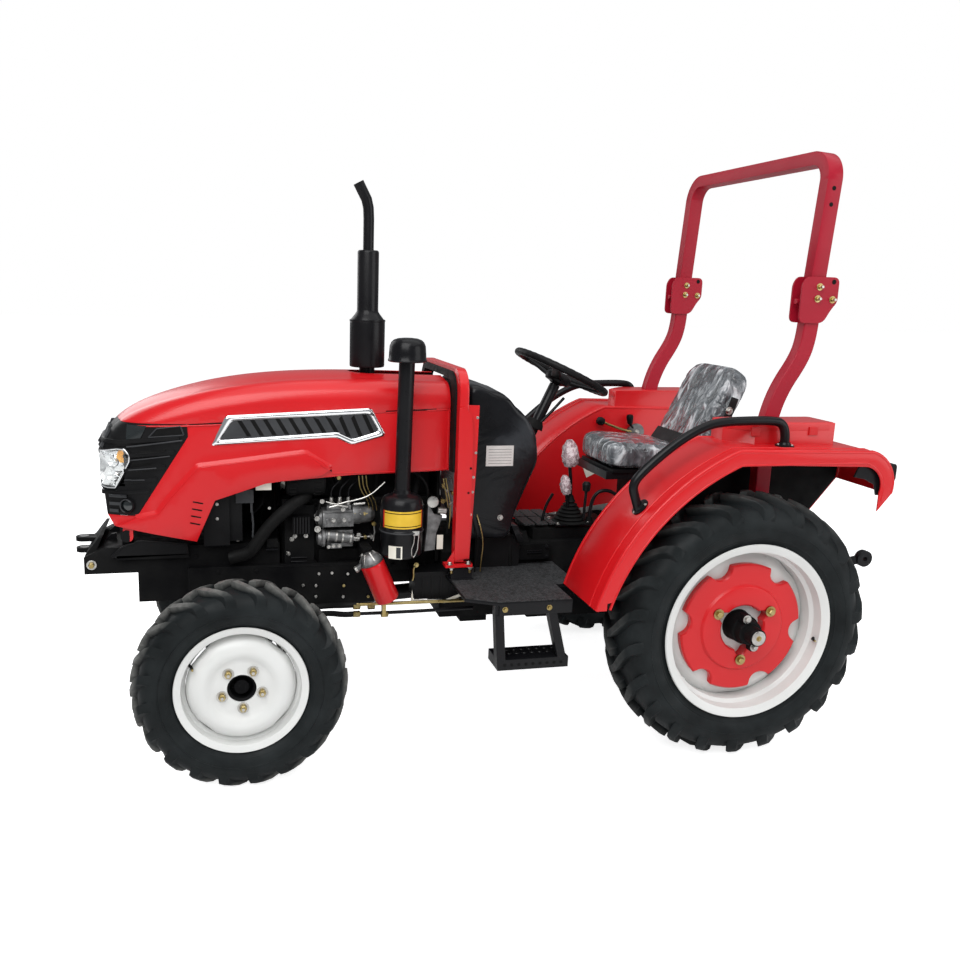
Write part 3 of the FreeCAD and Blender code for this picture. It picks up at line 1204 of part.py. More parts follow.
def steering_column():
    centre, up = column_frame()
    top = centre - up * (now.wheel_dish + now.hub_length / 2 + now.wheel_gap)
    column = Part.makeCylinder(now.column_radius, now.column_length, top, up * -1)
    return column.cut(dash.Shape).Solids[0]


def steering_wheel():
    centre, up = column_frame()
    ring = Part.makeTorus(now.wheel_ring_radius, now.wheel_grip, centre, up)
    seat = centre - up * (now.wheel_dish + now.hub_length / 2)
    solids = [ring, Part.makeCylinder(now.hub_radius, now.hub_length, seat, up)]
    hub_middle = seat + up * (now.hub_length / 2)
    across = Vector(0, 1, 0)
    for turn in (60, 180, 300):
        out = Rotation(up, turn).multVec(across.cross(up))
        solids.append(bar_between(hub_middle, centre + out * now.wheel_ring_radius, now.spoke_radius))
    return solids[0].fuse(solids[1:])


doc.recompute()
piece("steering_column", computed(steering_column()))
piece("steering_wheel", computed(steering_wheel()))

# ---------------------------------------------------------------- platforms and steps

DECK = {
    "deck_back": 540, "deck_front": 1020, "deck_in": 150, "deck_out": 620, "deck_top": 613,
    "deck_thick": 12, "deck_lip": 50, "deck_lip_thick": 8, "deck_clip": 112, "deck_clip_y": 560,
    "deck_notch": 632, "deck_notch_y": 446, "clutch_seat": 165, "foot_post_back": 935,
    "foot_post_front": 1018, "foot_post_in": 290, "foot_post_out": 340, "step_front_top": 905,
    "step_front_low": 889, "step_back_top": 704, "step_back_low": 650, "step_z": 352, "step_bar": 16,
    "step_depth": 40, "step_out": 616, "tread_high": 40,
}
set_sizes(DECK)


def x_rear(name):
    return f"rear_axle_x + {name}"


deck = plate("plan", [
    (x_rear("deck_back"), "deck_in"), ("gearbox_front_x", "deck_in"),
    ("gearbox_front_x", "clutch_seat"), (x_rear("deck_front"), "clutch_seat"),
    (x_rear("deck_front"), "deck_clip_y"), (x_rear("deck_front - deck_clip"), "deck_out"),
    (x_rear("deck_notch"), "deck_out"), (x_rear("deck_notch"), "deck_notch_y"),
    (x_rear("deck_back"), "deck_notch_y"),
], ("deck_top - deck_thick", "deck_top"))
deck_lip = box((x_rear("deck_notch"), x_rear("deck_front - deck_clip")),
               ("deck_out - deck_lip_thick", "deck_out"), ("deck_top - deck_lip", "deck_top"))
foot_post = box((x_rear("foot_post_back"), x_rear("foot_post_front")), ("foot_post_in", "foot_post_out"),
                ("deck_top", "arch_foot_z"))


def step_leg(top, low):
    """A sloping flat bar from the deck's lip to the tread."""
    return plate("side", [
        (x_rear(f"{top} - step_bar"), "deck_top - deck_lip"), (x_rear(f"{low} - step_bar"), "step_z"),
        (x_rear(f"{low} + step_bar"), "step_z"), (x_rear(f"{top} + step_bar"), "deck_top - deck_lip"),
    ], ("step_out - step_depth", "step_out"))


lip_pad = box((x_rear("step_back_top - step_bar"), x_rear("step_front_top + step_bar")),
              ("step_out - step_depth", "deck_out - deck_lip_thick"),
              ("deck_top - deck_lip", "deck_top - deck_thick"))
tread = box((x_rear("step_back_low - step_bar"), x_rear("step_front_low + step_bar")),
            ("step_out - 3 * step_depth", "step_out"), ("step_z", "step_z + tread_high"))
pair("platform", joined(deck, deck_lip, foot_post, lip_pad, tread,
                        step_leg("step_front_top", "step_front_low"),
                        step_leg("step_back_top", "step_back_low")))

# ---------------------------------------------------------------- fenders

FENDER = {
    "fender_in": 440, "fender_out": 760, "fender_sheet": 5, "fender_lip": 55, "fender_top": 1180,
    "fender_foot_x": 600, "fender_foot_z": 613, "fender_knee_x": 452, "fender_knee_z": 905,
    "fender_crest_x": 95, "fender_crest_z": 1176, "fender_tail_x": -440, "fender_tail_z": 1166,
    "fender_end_x": -535, "fender_end_z": 1012, "fender_end_mid_x": -512, "fender_end_mid_z": 1120,
    "apron_back_x": -330, "apron_back_z": 760, "apron_low_z": 640, "apron_front_x": 560,
    "box_back": 373, "box_front_x": -44, "box_in": 446, "box_out": 612, "box_top": 1250, "box_nose": 84,
    "post_y": 506, "post_width": 50, "post_depth": 64, "post_wall": 5,
}
set_sizes(FENDER)
set_places(box_front_length="box_back + box_front_x")


def fender_path(inset):
    """Side view of the fender top, foot to tail, drawn in by an inset."""
    base = now.rear_axle_x
    foot = Vector(base + now.fender_foot_x - inset, 0, now.fender_foot_z)
    knee = Vector(base + now.fender_knee_x, 0, now.fender_knee_z)
    crest = Vector(base + now.fender_crest_x, 0, now.fender_crest_z)
    centre = Part.Arc(foot + Vector(inset, 0, 0), knee, crest).toShape().Curve.Center
    knee = knee + (centre - knee).normalize() * inset
    crest = crest + (centre - crest).normalize() * inset
    tail = Vector(base + now.fender_tail_x + inset / 2, 0, now.fender_tail_z - inset)
    bend = Vector(base + now.fender_end_mid_x + inset, 0, now.fender_end_mid_z - inset / 2)
    end = Vector(base + now.fender_end_x + inset, 0, now.fender_end_z)
    return foot, knee, crest, tail, bend, end


def fender_block(inset, low, y_in, y_out, drop):
    """Everything under the fender's top down to a plain lower edge."""
    foot, knee, crest, tail, bend, end = fender_path(inset)
    down = Vector(0, 0, drop)
    edges = [Part.Arc(foot, knee, crest).toShape(), Part.LineSegment(crest, tail).toShape(),
             Part.Arc(tail, bend, end).toShape()]
    if drop:
        edges.append(Part.LineSegment(end, end - down).toShape())
    last = end - down if drop else end
    corner = Vector(last.x, 0, low)
    start = foot
    edges.append(Part.LineSegment(last, corner).toShape())
    if abs(start.z - low) > 0.01:
        edges.append(Part.LineSegment(corner, Vector(start.x, 0, low)).toShape())
        edges.append(Part.LineSegment(Vector(start.x, 0, low), start).toShape())
    else:
        edges.append(Part.LineSegment(corner, start).toShape())
    face = Part.Face(Part.Wire(edges))
    face.translate(Vector(0, y_in, 0))
    return face.extrude(Vector(0, y_out - y_in, 0))


def fender():
    """Sheet fender: top, outer lip, and the inner apron down beside the axle housing."""
    low = now.fender_foot_z
    sheet = now.fender_sheet
    outer = fender_block(0, low, now.fender_in, now.fender_out, 0)
    inner = fender_block(sheet, low - 1, now.fender_in + sheet, now.fender_out - sheet, 0)
    mouth = fender_block(now.fender_lip, low - 1, now.fender_in + sheet, now.fender_out + 1, 0)
    shell = outer.cut(inner).cut(mouth)
    base = now.rear_axle_x
    below = [Vector(base + now.apron_front_x, 0, low - 1), Vector(base + now.apron_front_x, 0, now.apron_low_z),
             Vector(base + now.apron_back_x, 0, now.apron_back_z),
             Vector(base + now.fender_end_x - 1, 0, now.fender_end_z),
             Vector(base + now.fender_end_x - 1, 0, low - 1)]
    cutter = Part.Face(Part.makePolygon(below + [below[0]]))
    cutter.translate(Vector(0, now.fender_in - 1, 0))
    return shell.cut(cutter.extrude(Vector(0, now.fender_out - now.fender_in + 2, 0)))


def fender_box():
    """Tool box on the fender with a chamfered nose, sitting on the fender's top."""
    base = now.rear_axle_x
    low = now.fender_tail_z - 60
    points = [Vector(base - now.box_back, now.box_in, low), Vector(base - now.box_back, now.box_out, low),
              Vector(base + now.box_front_x, now.box_out, low),
              Vector(base + now.box_front_x + now.box_nose, now.box_out - now.box_nose, low),
              Vector(base + now.box_front_x + now.box_nose, now.box_in, low)]
    return Part.Face(Part.makePolygon(points + [points[0]])).extrude(Vector(0, 0, now.box_top - low))


doc.recompute()
fender_under = fender_block(0, now.fender_foot_z, now.fender_in - 1, now.fender_out + 1, 0)
fender_shape = fender()

# ---------------------------------------------------------------- roll bar

ROLL_BAR = {
    "post_foot_z": 585, "post_low_x": -150, "post_low_z": 1240, "post_knee_x": -180,
    "post_knee_z": 1350, "post_turn_x": -280, "post_turn_z": 1535, "post_top_z": 1676,
    "hoop_low_z": 1690, "hoop_top": 2231, "hoop_lean": 36, "hoop_corner": 110, "plate_thick": 8,
    "plate_gap": 0.5, "plate_low": 1612, "plate_high": 1780, "plate_front": -222, "plate_back": -374,
    "pivot_back": -352, "pivot_z": 1699, "fold_bolt_x": -294, "fold_bolt_low_z": 1701,
    "fold_bolt_high_z": 1744, "stow_hole_z": 1763, "fold_bolt_radius": 8, "post_side": 25,
    "post_half": 30, "post_mount_z": 600,
}
set_sizes(ROLL_BAR)


def slanted_block(points, y_low, y_high):
    """A flat shape in the side view, given as (x from the rear axle, z), across a span."""
    corners = [Vector(now.rear_axle_x + x, y_low, z) for x, z in points]
    face = Part.Face(Part.makePolygon(corners + [corners[0]]))
    return face.extrude(Vector(0, y_high - y_low, 0))


def lower_post():
    """One lower post, from the axle mount up through the fender to the fold plates."""
    half = now.post_half
    low = now.post_y - now.post_side
    high = now.post_y + now.post_side
    line = [(now.post_low_x, now.post_mount_z), (now.post_low_x, now.post_low_z),
            (now.post_knee_x, now.post_knee_z), (now.post_turn_x, now.post_turn_z),
            (now.post_turn_x - 6, now.post_top_z)]
    front = [(x + half, z) for x, z in line]
    back = [(x - half, z) for x, z in line]
    return slanted_block(front + back[::-1], low, high)


def fold_plate(y_low):
    """Outer fold plate welded to the lower post, wider at the back for the pivot."""
    points = [(now.plate_front, now.plate_low), (now.plate_front, now.plate_high - 30),
              (now.plate_front - 40, now.plate_high), (now.plate_back, now.plate_high),
              (now.plate_back, now.pivot_z - 30), (now.post_turn_x - now.post_half - 6, now.plate_low)]
    return slanted_block(points, y_low, y_low + now.plate_thick)


def axle_mount():
    """Bracket of the roll bar, saddled on the axle trumpet."""
    base = now.rear_axle_x
    block = Part.makeBox(now.mount_length, now.mount_out - now.mount_in, now.post_mount_z - now.rear_axle_z,
                         Vector(base + now.post_low_x - now.post_half, now.mount_in, now.rear_axle_z))
    trumpet_bar = Part.makeCylinder(now.trumpet_radius, 600, Vector(base, 0, now.rear_axle_z), Vector(0, 1, 0))
    return block.cut(trumpet_bar).Solids


def roll_posts_left():
    low = now.post_y - now.post_side
    high = now.post_y + now.post_side
    post = lower_post()
    mounts = [solid for solid in axle_mount() if solid.CenterOfMass.z > now.rear_axle_z]
    plates = [fold_plate(high), fold_plate(low - now.plate_thick)]
    pin = Part.makeCylinder(now.fold_bolt_radius, high - low + 2 * now.plate_thick,
                            Vector(now.rear_axle_x + now.pivot_back, low - now.plate_thick, now.pivot_z),
                            Vector(0, 1, 0))
    return post.fuse(mounts + plates + [pin])


def mirror_y(shape):
    return shape.mirror(Vector(0, 0, 0), Vector(0, 1, 0))


def hoop():
    """Upper hoop of square tube, rounded corners, leaning back, with an ear for each pivot."""
    half = now.post_y + now.post_side - now.plate_gap
    inner = now.post_y - now.post_side + now.plate_gap
    width = half - inner
    rise = now.hoop_top - now.hoop_low_z
    bend = now.hoop_corner

    def arch(side, top, corner):
        turn = corner * (1 - math.sqrt(0.5))
        z_turn = top - corner
        points = [Vector(0, -side, 0), Vector(0, -side, z_turn), Vector(0, turn - side, top - turn),
                  Vector(0, corner - side, top), Vector(0, side - corner, top),
                  Vector(0, side - turn, top - turn), Vector(0, side, z_turn), Vector(0, side, 0)]
        edges = [Part.LineSegment(points[0], points[1]).toShape(),
                 Part.Arc(points[1], points[2], points[3]).toShape(),
                 Part.LineSegment(points[3], points[4]).toShape(),
                 Part.Arc(points[4], points[5], points[6]).toShape(),
                 Part.LineSegment(points[6], points[7]).toShape(),
                 Part.LineSegment(points[7], points[0]).toShape()]
        return Part.Face(Part.Wire(edges)).extrude(Vector(2 * now.post_half, 0, 0))

    bar = arch(half, rise, bend).cut(arch(inner, rise - width, bend - width))
    bar.translate(Vector(-now.post_half, 0, 0))
    lean = math.degrees(math.atan2(now.hoop_lean, rise))
    bar.rotate(Vector(0, 0, 0), Vector(0, 1, 0), -lean)
    bar.translate(Vector(now.rear_axle_x + now.post_turn_x - 6, 0, now.hoop_low_z))
    ears = []
    for side in (1, -1):
        low = side * now.post_y - now.ear_half
        ear = slanted_block([(now.post_turn_x, now.hoop_low_z), (now.post_turn_x - 10, now.plate_high - 6),
                             (now.plate_back + 4, now.plate_high - 6), (now.plate_back + 4, now.hoop_low_z - 8),
                             (now.pivot_back, now.hoop_low_z - 10)],
                            low, low + 2 * now.ear_half)
        bore = Part.makeCylinder(now.fold_bolt_radius + now.fit, 200,
                                 Vector(now.rear_axle_x + now.pivot_back, side * now.post_y - 100, now.pivot_z),
                                 Vector(0, 1, 0))
        ears.append(ear.cut(bore))
    return bar.fuse(ears)


POST_MOUNT = {
    "mount_length": 200, "mount_in": 425, "mount_out": 495, "ear_half": 22, "post_ease": 3,
    "grab_y": 650, "grab_tube_radius": 14.5, "grab_bend": 42, "grab_foot_x": 408, "grab_foot_z": 925,
    "grab_knee_x": 452, "grab_knee_z": 1025, "grab_slope_x": 290, "grab_slope_z": 1185,
    "grab_crest_x": 90, "grab_crest_z": 1262, "grab_back_x": -128, "grab_back_z": 1262,
    "grab_end_x": -143, "grab_end_z": 1120, "lamp_tail_y_in": 655, "lamp_tail_y_out": 745,
    "lamp_tail_low": 1050, "lamp_tail_high": 1120, "lamp_tail_back": -552,
}
set_sizes(POST_MOUNT)


def post_hole():
    """Hole in the fender and box for the post, with clearance all round."""
    ease = now.post_ease
    return slanted_block(
        [(now.post_low_x + now.post_half + ease, 800), (now.post_low_x + now.post_half + ease, 1255),
         (now.post_low_x - now.post_half - ease, 1255), (now.post_low_x - now.post_half - ease, 800)],
        now.post_y - now.post_side - ease, now.post_y + now.post_side + ease)


def fender_with_box():
    """Fender and the tool box on it, opened for the roll bar's post."""
    return fender_shape.fuse(fender_box().cut(fender_under)).cut(post_hole())


def grab_rail():
    """Bent tube standing on the fender's top."""
    names = ("foot", "knee", "slope", "crest", "back", "end")
    points = [Vector(now.rear_axle_x + getattr(now, f"grab_{name}_x"), now.grab_y,
                     getattr(now, f"grab_{name}_z")) for name in names]
    bar = tube(points, now.grab_tube_radius, now.grab_bend).cut(fender_under)
    return max(bar.Solids, key=lambda solid: solid.Volume)


doc.recompute()
pair("fender", computed(fender_with_box()))
left_rail_bar = grab_rail()
piece("grab_rails", computed(Part.makeCompound([left_rail_bar, mirror_y(left_rail_bar)])))
left_posts = roll_posts_left()
piece("roll_bar_posts", computed(Part.makeCompound([left_posts, mirror_y(left_posts)])))
piece("roll_bar_hoop", computed(hoop()))


def tail_lamp():
    block = Part.makeBox(60, now.lamp_tail_y_out - now.lamp_tail_y_in, now.lamp_tail_high - now.lamp_tail_low,
                         Vector(now.rear_axle_x + now.lamp_tail_back, now.lamp_tail_y_in, now.lamp_tail_low))
    lamp = block.cut(fender_under)
    return max(lamp.Solids, key=lambda solid: -solid.CenterOfMass.x)


left_lamp = tail_lamp()
piece("tail_lamps", computed(Part.makeCompound([left_lamp, mirror_y(left_lamp)])))

# ---------------------------------------------------------------- seat and controls

SEAT = {
    "seat_frame_back": -140, "seat_frame_front": 330, "seat_frame_half": 160, "seat_frame_top": 988,
    "cushion_back": -34, "cushion_front": 412, "cushion_half": 215, "cushion_top": 1092,
    "seat_gap": 0.3, "back_low_x": -122, "back_low_z": 1078, "back_high_x": -262, "back_high_z": 1388,
    "back_face_low_x": -44, "back_face_low_z": 1104, "back_face_high_x": -184, "back_face_high_z": 1414,
    "back_half": 205, "strap_thick": 12, "strap_half": 150, "strap_share": 0.45, "boot_x": 440,
    "boot_y": 60, "boot_radius": 54, "boot_neck": 16, "boot_top": 867, "lever_radius": 7,
    "knob_radius": 21, "lever_high_x": 472, "lever_high_z": 1085, "lever_high_y": 96, "second_x": 500,
    "second_z": 1005, "second_y": 70, "second_foot_x": 540, "quadrant_back": 60, "quadrant_front": 150,
    "quadrant_thick": 14, "quadrant_low": 930, "quadrant_top": 1070, "pull_x": 238, "pull_z": 1085,
    "pull_y": 400, "pull_foot_z": 1030, "pedal_foot_x": 790, "pedal_foot_z": 640, "pedal_head_x": 705,
    "pedal_head_z": 755, "pedal_bar": 18, "pedal_pad_in": 167, "pedal_pad_out": 232,
    "pedal_pad_thick": 12, "pedal_pad_high": 70, "pedal_arm_thick": 14,
}
set_sizes(SEAT)
frame_base = box((x_rear("seat_frame_back"), x_rear("seat_frame_front")),
                 ("-seat_frame_half", "seat_frame_half"), ("lift_case_top", "seat_frame_top"))
set_places(
    strap_x="back_low_x + (back_high_x - back_low_x) * strap_share",
    strap_z="back_low_z + (back_high_z - back_low_z) * strap_share",
)
strap = plate("side", [
    (x_rear("back_low_x - seat_gap"), "seat_frame_top - 1"), (x_rear("back_low_x - seat_gap"), "back_low_z"),
    (x_rear("strap_x - seat_gap"), "strap_z"), (x_rear("strap_x - seat_gap - strap_thick"), "strap_z"),
    (x_rear("back_low_x - seat_gap - strap_thick"), "back_low_z"),
    (x_rear("back_low_x - seat_gap - strap_thick"), "seat_frame_top - 1"),
], ("-strap_half", "strap_half"))
piece("seat_frame", joined(frame_base, strap))
piece("seat_cushion", box((x_rear("cushion_back"), x_rear("cushion_front")),
                          ("-cushion_half", "cushion_half"), ("seat_frame_top + seat_gap", "cushion_top")))
piece("seat_back", plate("side", [
    (x_rear("back_low_x"), "back_low_z"), (x_rear("back_high_x"), "back_high_z"),
    (x_rear("back_face_high_x"), "back_face_high_z"), (x_rear("back_face_low_x"), "back_face_low_z"),
], ("-back_half", "back_half")))

boot = taper("z", (x_rear("boot_x"), "boot_y"), ("boot_radius", "boot_neck"), ("cover_top", "boot_top"))


def levers():
    """Two gear levers and the lift lever, each with its knob."""
    base = now.rear_axle_x
    foot = Vector(base + now.boot_x, now.boot_y, now.boot_top - 10)
    high = Vector(base + now.lever_high_x, now.lever_high_y, now.lever_high_z)
    second_foot = Vector(base + now.second_foot_x, now.second_y, now.cover_top)
    second = Vector(base + now.second_x, now.second_y, now.second_z)
    pull_foot = Vector(base + now.quadrant_back + 30, now.quadrant_thick - now.fender_in - 1, now.pull_foot_z)
    pull = Vector(base + now.pull_x, -now.pull_y, now.pull_z)
    solids = []
    for start, end in ((foot, high), (second_foot, second), (pull_foot, pull)):
        solids.append(bar_between(start, end, now.lever_radius))
        solids.append(Part.makeSphere(now.knob_radius, end))
    below = Part.makeBox(800, 400, 100, Vector(base, -200, now.cover_top - 100))
    return solids[0].fuse(solids[1:]).cut(below)


quadrant = box((x_rear("quadrant_back"), x_rear("quadrant_front")),
               ("-fender_in", "quadrant_thick - fender_in"), ("quadrant_low", "quadrant_top"))


def pedal(side):
    """A foot pedal on its arm beside the clutch housing."""
    seat = side * now.clutch_half
    arm = slanted_block(
        [(now.pedal_foot_x, now.pedal_foot_z), (now.pedal_foot_x + now.pedal_bar, now.pedal_foot_z + 20),
         (now.pedal_head_x + now.pedal_bar, now.pedal_head_z + 10), (now.pedal_head_x, now.pedal_head_z - 10)],
        min(seat, seat + side * now.pedal_arm_thick), max(seat, seat + side * now.pedal_arm_thick))
    pad = slanted_block(
        [(now.pedal_head_x - 12, now.pedal_head_z - 30), (now.pedal_head_x + 14, now.pedal_head_z - 30),
         (now.pedal_head_x + 44, now.pedal_head_z + 36), (now.pedal_head_x + 18, now.pedal_head_z + 36)],
        min(side * now.clutch_half, side * now.pedal_pad_out), max(side * now.clutch_half, side * now.pedal_pad_out))
    return arm.fuse(pad)


doc.recompute()
piece("controls", joined(boot, computed(levers()), quadrant))
piece("pedals", computed(Part.makeCompound([pedal(1), pedal(-1)])))

# ---------------------------------------------------------------- checks and export

doc.recompute()
for thing in doc.Objects:
    if {"Invalid", "Error"} & set(thing.State):
        raise RuntimeError(f"{thing.Label} failed: {thing.State}")
for sub_part in pieces:
    if sub_part.Shape.isNull() or not sub_part.Shape.isValid():
        raise RuntimeError(f"{sub_part.Label} has no valid shape")

os.makedirs("parts", exist_ok=True)
for sub_part in pieces:
    sub_part.Shape.exportStep(f"parts/{sub_part.Label}.step")
    box_of = sub_part.Shape.BoundBox
    print(f"{sub_part.Label:22s} solids {len(sub_part.Shape.Solids)} volume {sub_part.Shape.Volume / 1e6:8.3f} l"
          f"  x {box_of.XMin:7.1f} {box_of.XMax:7.1f}  y {box_of.YMin:7.1f} {box_of.YMax:7.1f}"
          f"  z {box_of.ZMin:7.1f} {box_of.ZMax:7.1f}")
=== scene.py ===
"""Looks of the farm tractor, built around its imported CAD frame. Metres, +X forward, +Y left, +Z up."""
import json
import math
import random

import bmesh
import bpy
from mathutils import Matrix, Vector
from mathutils.bvhtree import BVHTree


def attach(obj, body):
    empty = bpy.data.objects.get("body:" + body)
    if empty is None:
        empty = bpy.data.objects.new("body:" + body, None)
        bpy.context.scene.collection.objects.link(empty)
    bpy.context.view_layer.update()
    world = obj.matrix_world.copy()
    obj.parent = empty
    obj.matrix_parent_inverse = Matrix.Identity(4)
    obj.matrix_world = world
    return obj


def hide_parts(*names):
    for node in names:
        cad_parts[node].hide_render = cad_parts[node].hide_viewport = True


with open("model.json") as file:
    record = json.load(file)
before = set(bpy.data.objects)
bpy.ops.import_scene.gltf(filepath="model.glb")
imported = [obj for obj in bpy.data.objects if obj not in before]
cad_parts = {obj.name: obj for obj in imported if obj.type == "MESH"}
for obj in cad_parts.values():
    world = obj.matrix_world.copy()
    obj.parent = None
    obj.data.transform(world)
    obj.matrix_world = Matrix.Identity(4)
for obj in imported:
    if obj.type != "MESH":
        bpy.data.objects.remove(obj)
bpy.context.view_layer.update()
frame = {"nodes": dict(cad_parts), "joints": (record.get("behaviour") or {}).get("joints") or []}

random.seed(7)
JOINTS = {j["name"]: j for j in frame["joints"]}
REAR_HUB = Vector(JOINTS["rear_wheel_left_spin"]["pos_m"])
FRONT_HUB = Vector(JOINTS["front_wheel_left_spin"]["pos_m"])
ACROSS = Vector((0, 1, 0))
UP = Vector((0, 0, 1))
AHEAD = Vector((1, 0, 0))
SMALLEST_RADIUS = 0.0002   # metres, so that a turned shape closes without a needle point


def at(x, y, z):
    """A point in metres from millimetres: x ahead of the rear axle, y to the left, z above the ground."""
    return Vector((REAR_HUB.x + x / 1000, y / 1000, z / 1000))


# ---------------------------------------------------------------- mesh helpers

def ring(centre, axis, radius, steps):
    """Points of a circle around an axis."""
    axis = Vector(axis).normalized()
    side = axis.orthogonal().normalized()
    if abs(axis.y) > 0.9:
        side = Vector((1, 0, 0))
    other = axis.cross(side).normalized()
    side = other.cross(axis)
    turns = [2 * math.pi * i / steps for i in range(steps)]
    return [Vector(centre) + radius * (math.cos(a) * side + math.sin(a) * other) for a in turns]


class Piece:
    """Collects shapes, each with its material, into one mesh object."""

    def __init__(self, name):
        self.name = name
        self.verts = []
        self.faces = []
        self.marks = []
        self.mats = []

    def add(self, verts, faces, mat):
        """Takes in points and the faces between them."""
        if mat not in self.mats:
            self.mats.append(mat)
        start = len(self.verts)
        self.verts += [Vector(v) for v in verts]
        self.faces += [[start + i for i in face] for face in faces]
        self.marks += [self.mats.index(mat)] * len(faces)

    def loft(self, rings, mat, caps=True, closed=True, around=False):
        """Skin over rings of equal length. around joins the last ring to the first."""
        count = len(rings[0])
        verts = [p for r in rings for p in r]
        faces = []
        last = len(rings) if around else len(rings) - 1
        for i in range(last):
            a, b = i * count, (i + 1) % len(rings) * count
            for j in range(count if closed else count - 1):
                k = (j + 1) % count
                faces.append([a + j, a + k, b + k, b + j])
        if caps and not around:
            faces.append(list(range(count))[::-1])
            faces.append([(len(rings) - 1) * count + j for j in range(count)])
        self.add(verts, faces, mat)

    def lathe(self, centre, axis, profile, mat, steps=64, caps=True):
        """Turned shape from (along, radius) pairs."""
        axis = Vector(axis).normalized()
        rings = [ring(Vector(centre) + axis * a, axis, max(r, SMALLEST_RADIUS), steps) for a, r in profile]
        self.loft(rings, mat, caps=caps)

    def rod(self, start, end, radius, mat, steps=24):
        """Round bar between two points."""
        axis = Vector(end) - Vector(start)
        self.loft([ring(start, axis, radius, steps), ring(end, axis, radius, steps)], mat)

    def tube(self, points, radius, mat, steps=16):
        """Round bar along points, with frames carried along so that it doesn't twist."""
        points = [Vector(p) for p in points]
        radii = radius if isinstance(radius, (list, tuple)) else [radius] * len(points)
        tangents = []
        for i in range(len(points)):
            before, after = points[max(i - 1, 0)], points[min(i + 1, len(points) - 1)]
            tangents.append((after - before).normalized())
        side = tangents[0].orthogonal().normalized()
        rings = []
        for point, tangent, r in zip(points, tangents, radii):
            side = (side - tangent * side.dot(tangent)).normalized()
            other = tangent.cross(side)
            rings.append([point + r * (math.cos(a) * side + math.sin(a) * other)
                          for a in (2 * math.pi * k / steps for k in range(steps))])
        self.loft(rings, mat)

    def prism(self, outline, offset, mat):
        """Flat outline pushed along offset."""
        base = [Vector(p) for p in outline]
        self.loft([base, [p + Vector(offset) for p in base]], mat)

    def block(self, low, high, mat):
        """Box between two opposite corners."""
        (x0, y0, z0), (x1, y1, z1) = low, high
        self.prism([(x0, y0, z0), (x1, y0, z0), (x1, y1, z0), (x0, y1, z0)], (0, 0, z1 - z0), mat)

    def bolt(self, place, axis, size, mat, washer=None):
        """Hexagon head of that width on a washer."""
        axis = Vector(axis).normalized()
        place = Vector(place)
        self.lathe(place, axis, [(0, size * 0.95), (size * 0.12, size * 0.95)], washer or mat, steps=20)
        top = place + axis * size * 0.12
        hexagon = [ring(top + axis * size * s, axis, size * r, 6) for s,
                   r in ((0, 0.6), (0.5, 0.6), (0.6, 0.5))]
        self.loft(hexagon, mat)

    def mirrored(self):
        """Adds the mirror image of all there is, to the right side."""
        verts = [Vector((v.x, -v.y, v.z)) for v in self.verts]
        start = len(self.verts)
        self.faces += [[start + i for i in reversed(face)] for face in self.faces]
        self.marks += list(self.marks)
        self.verts += verts
        return self

    def done(self, body, slot=None, replaces=(), bevel=0.0, smooth=35):
        """Makes the mesh object, which rides on its body and takes the place of CAD nodes."""
        mesh = bpy.data.meshes.new(self.name)
        mesh.from_pydata(self.verts, [], self.faces)
        for mat in self.mats:
            mesh.materials.append(mat)
        mesh.polygons.foreach_set("material_index", self.marks)
        work = bmesh.new()
        work.from_mesh(mesh)
        bmesh.ops.recalc_face_normals(work, faces=work.faces)
        work.to_mesh(mesh)
        work.free()
        piece = bpy.data.objects.new(self.name, mesh)
        bpy.context.scene.collection.objects.link(piece)
        finish_surface(piece, bevel, smooth)
        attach(piece, body)
        if replaces:
            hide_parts(*replaces)
        return piece


def finish_surface(piece, bevel, smooth):
    """Rounded edges, and smooth shading up to an angle in degrees."""
    if bevel:
        edge = piece.modifiers.new("edges", "BEVEL")
        edge.width = bevel
        edge.segments = 2
        edge.limit_method = "ANGLE"
        edge.angle_limit = math.radians(32)
        edge.harden_normals = False
    piece.data.polygons.foreach_set("use_smooth", [True] * len(piece.data.polygons))
    angle = math.radians(smooth)
    work = bmesh.new()
    work.from_mesh(piece.data)
    for e in work.edges:
        if len(e.link_faces) == 2:
            e.smooth = e.calc_face_angle(0) < angle
    work.to_mesh(piece.data)
    work.free()


# ---------------------------------------------------------------- materials

def nodes_of(name):
    """A new material with its node tree, its main shader and its coordinates in the object's own frame."""
    mat = bpy.data.materials.new(name)
    mat.use_nodes = True
    tree = mat.node_tree
    shader = tree.nodes["Principled BSDF"]
    coords = tree.nodes.new("ShaderNodeTexCoord")
    return mat, tree, shader, coords.outputs["Object"]


def set_inputs(node, **values):
    """Sets inputs of a node; an underscore stands for the space in an input's name."""
    for name, value in values.items():
        node.inputs[name.replace("_", " ")].default_value = value


def add_node(tree, kind, **values):
    """A new node of that kind with inputs set."""
    node = tree.nodes.new("ShaderNode" + kind)
    set_inputs(node, **values)
    return node


def wire(tree, source, output, target, entry):
    """Links one node's output to another node's input."""
    tree.links.new(source.outputs[output], target.inputs[entry])


def noise(tree, coords, scale, detail=3.0, stretch=None):
    """Soft noise between 0 and 1."""
    node = add_node(tree, "TexNoise", Scale=scale, Detail=detail)
    if stretch:
        mapping = add_node(tree, "Mapping", Scale=stretch)
        tree.links.new(coords, mapping.inputs["Vector"])
        coords = mapping.outputs["Vector"]
    tree.links.new(coords, node.inputs["Vector"])
    return node.outputs["Fac"]


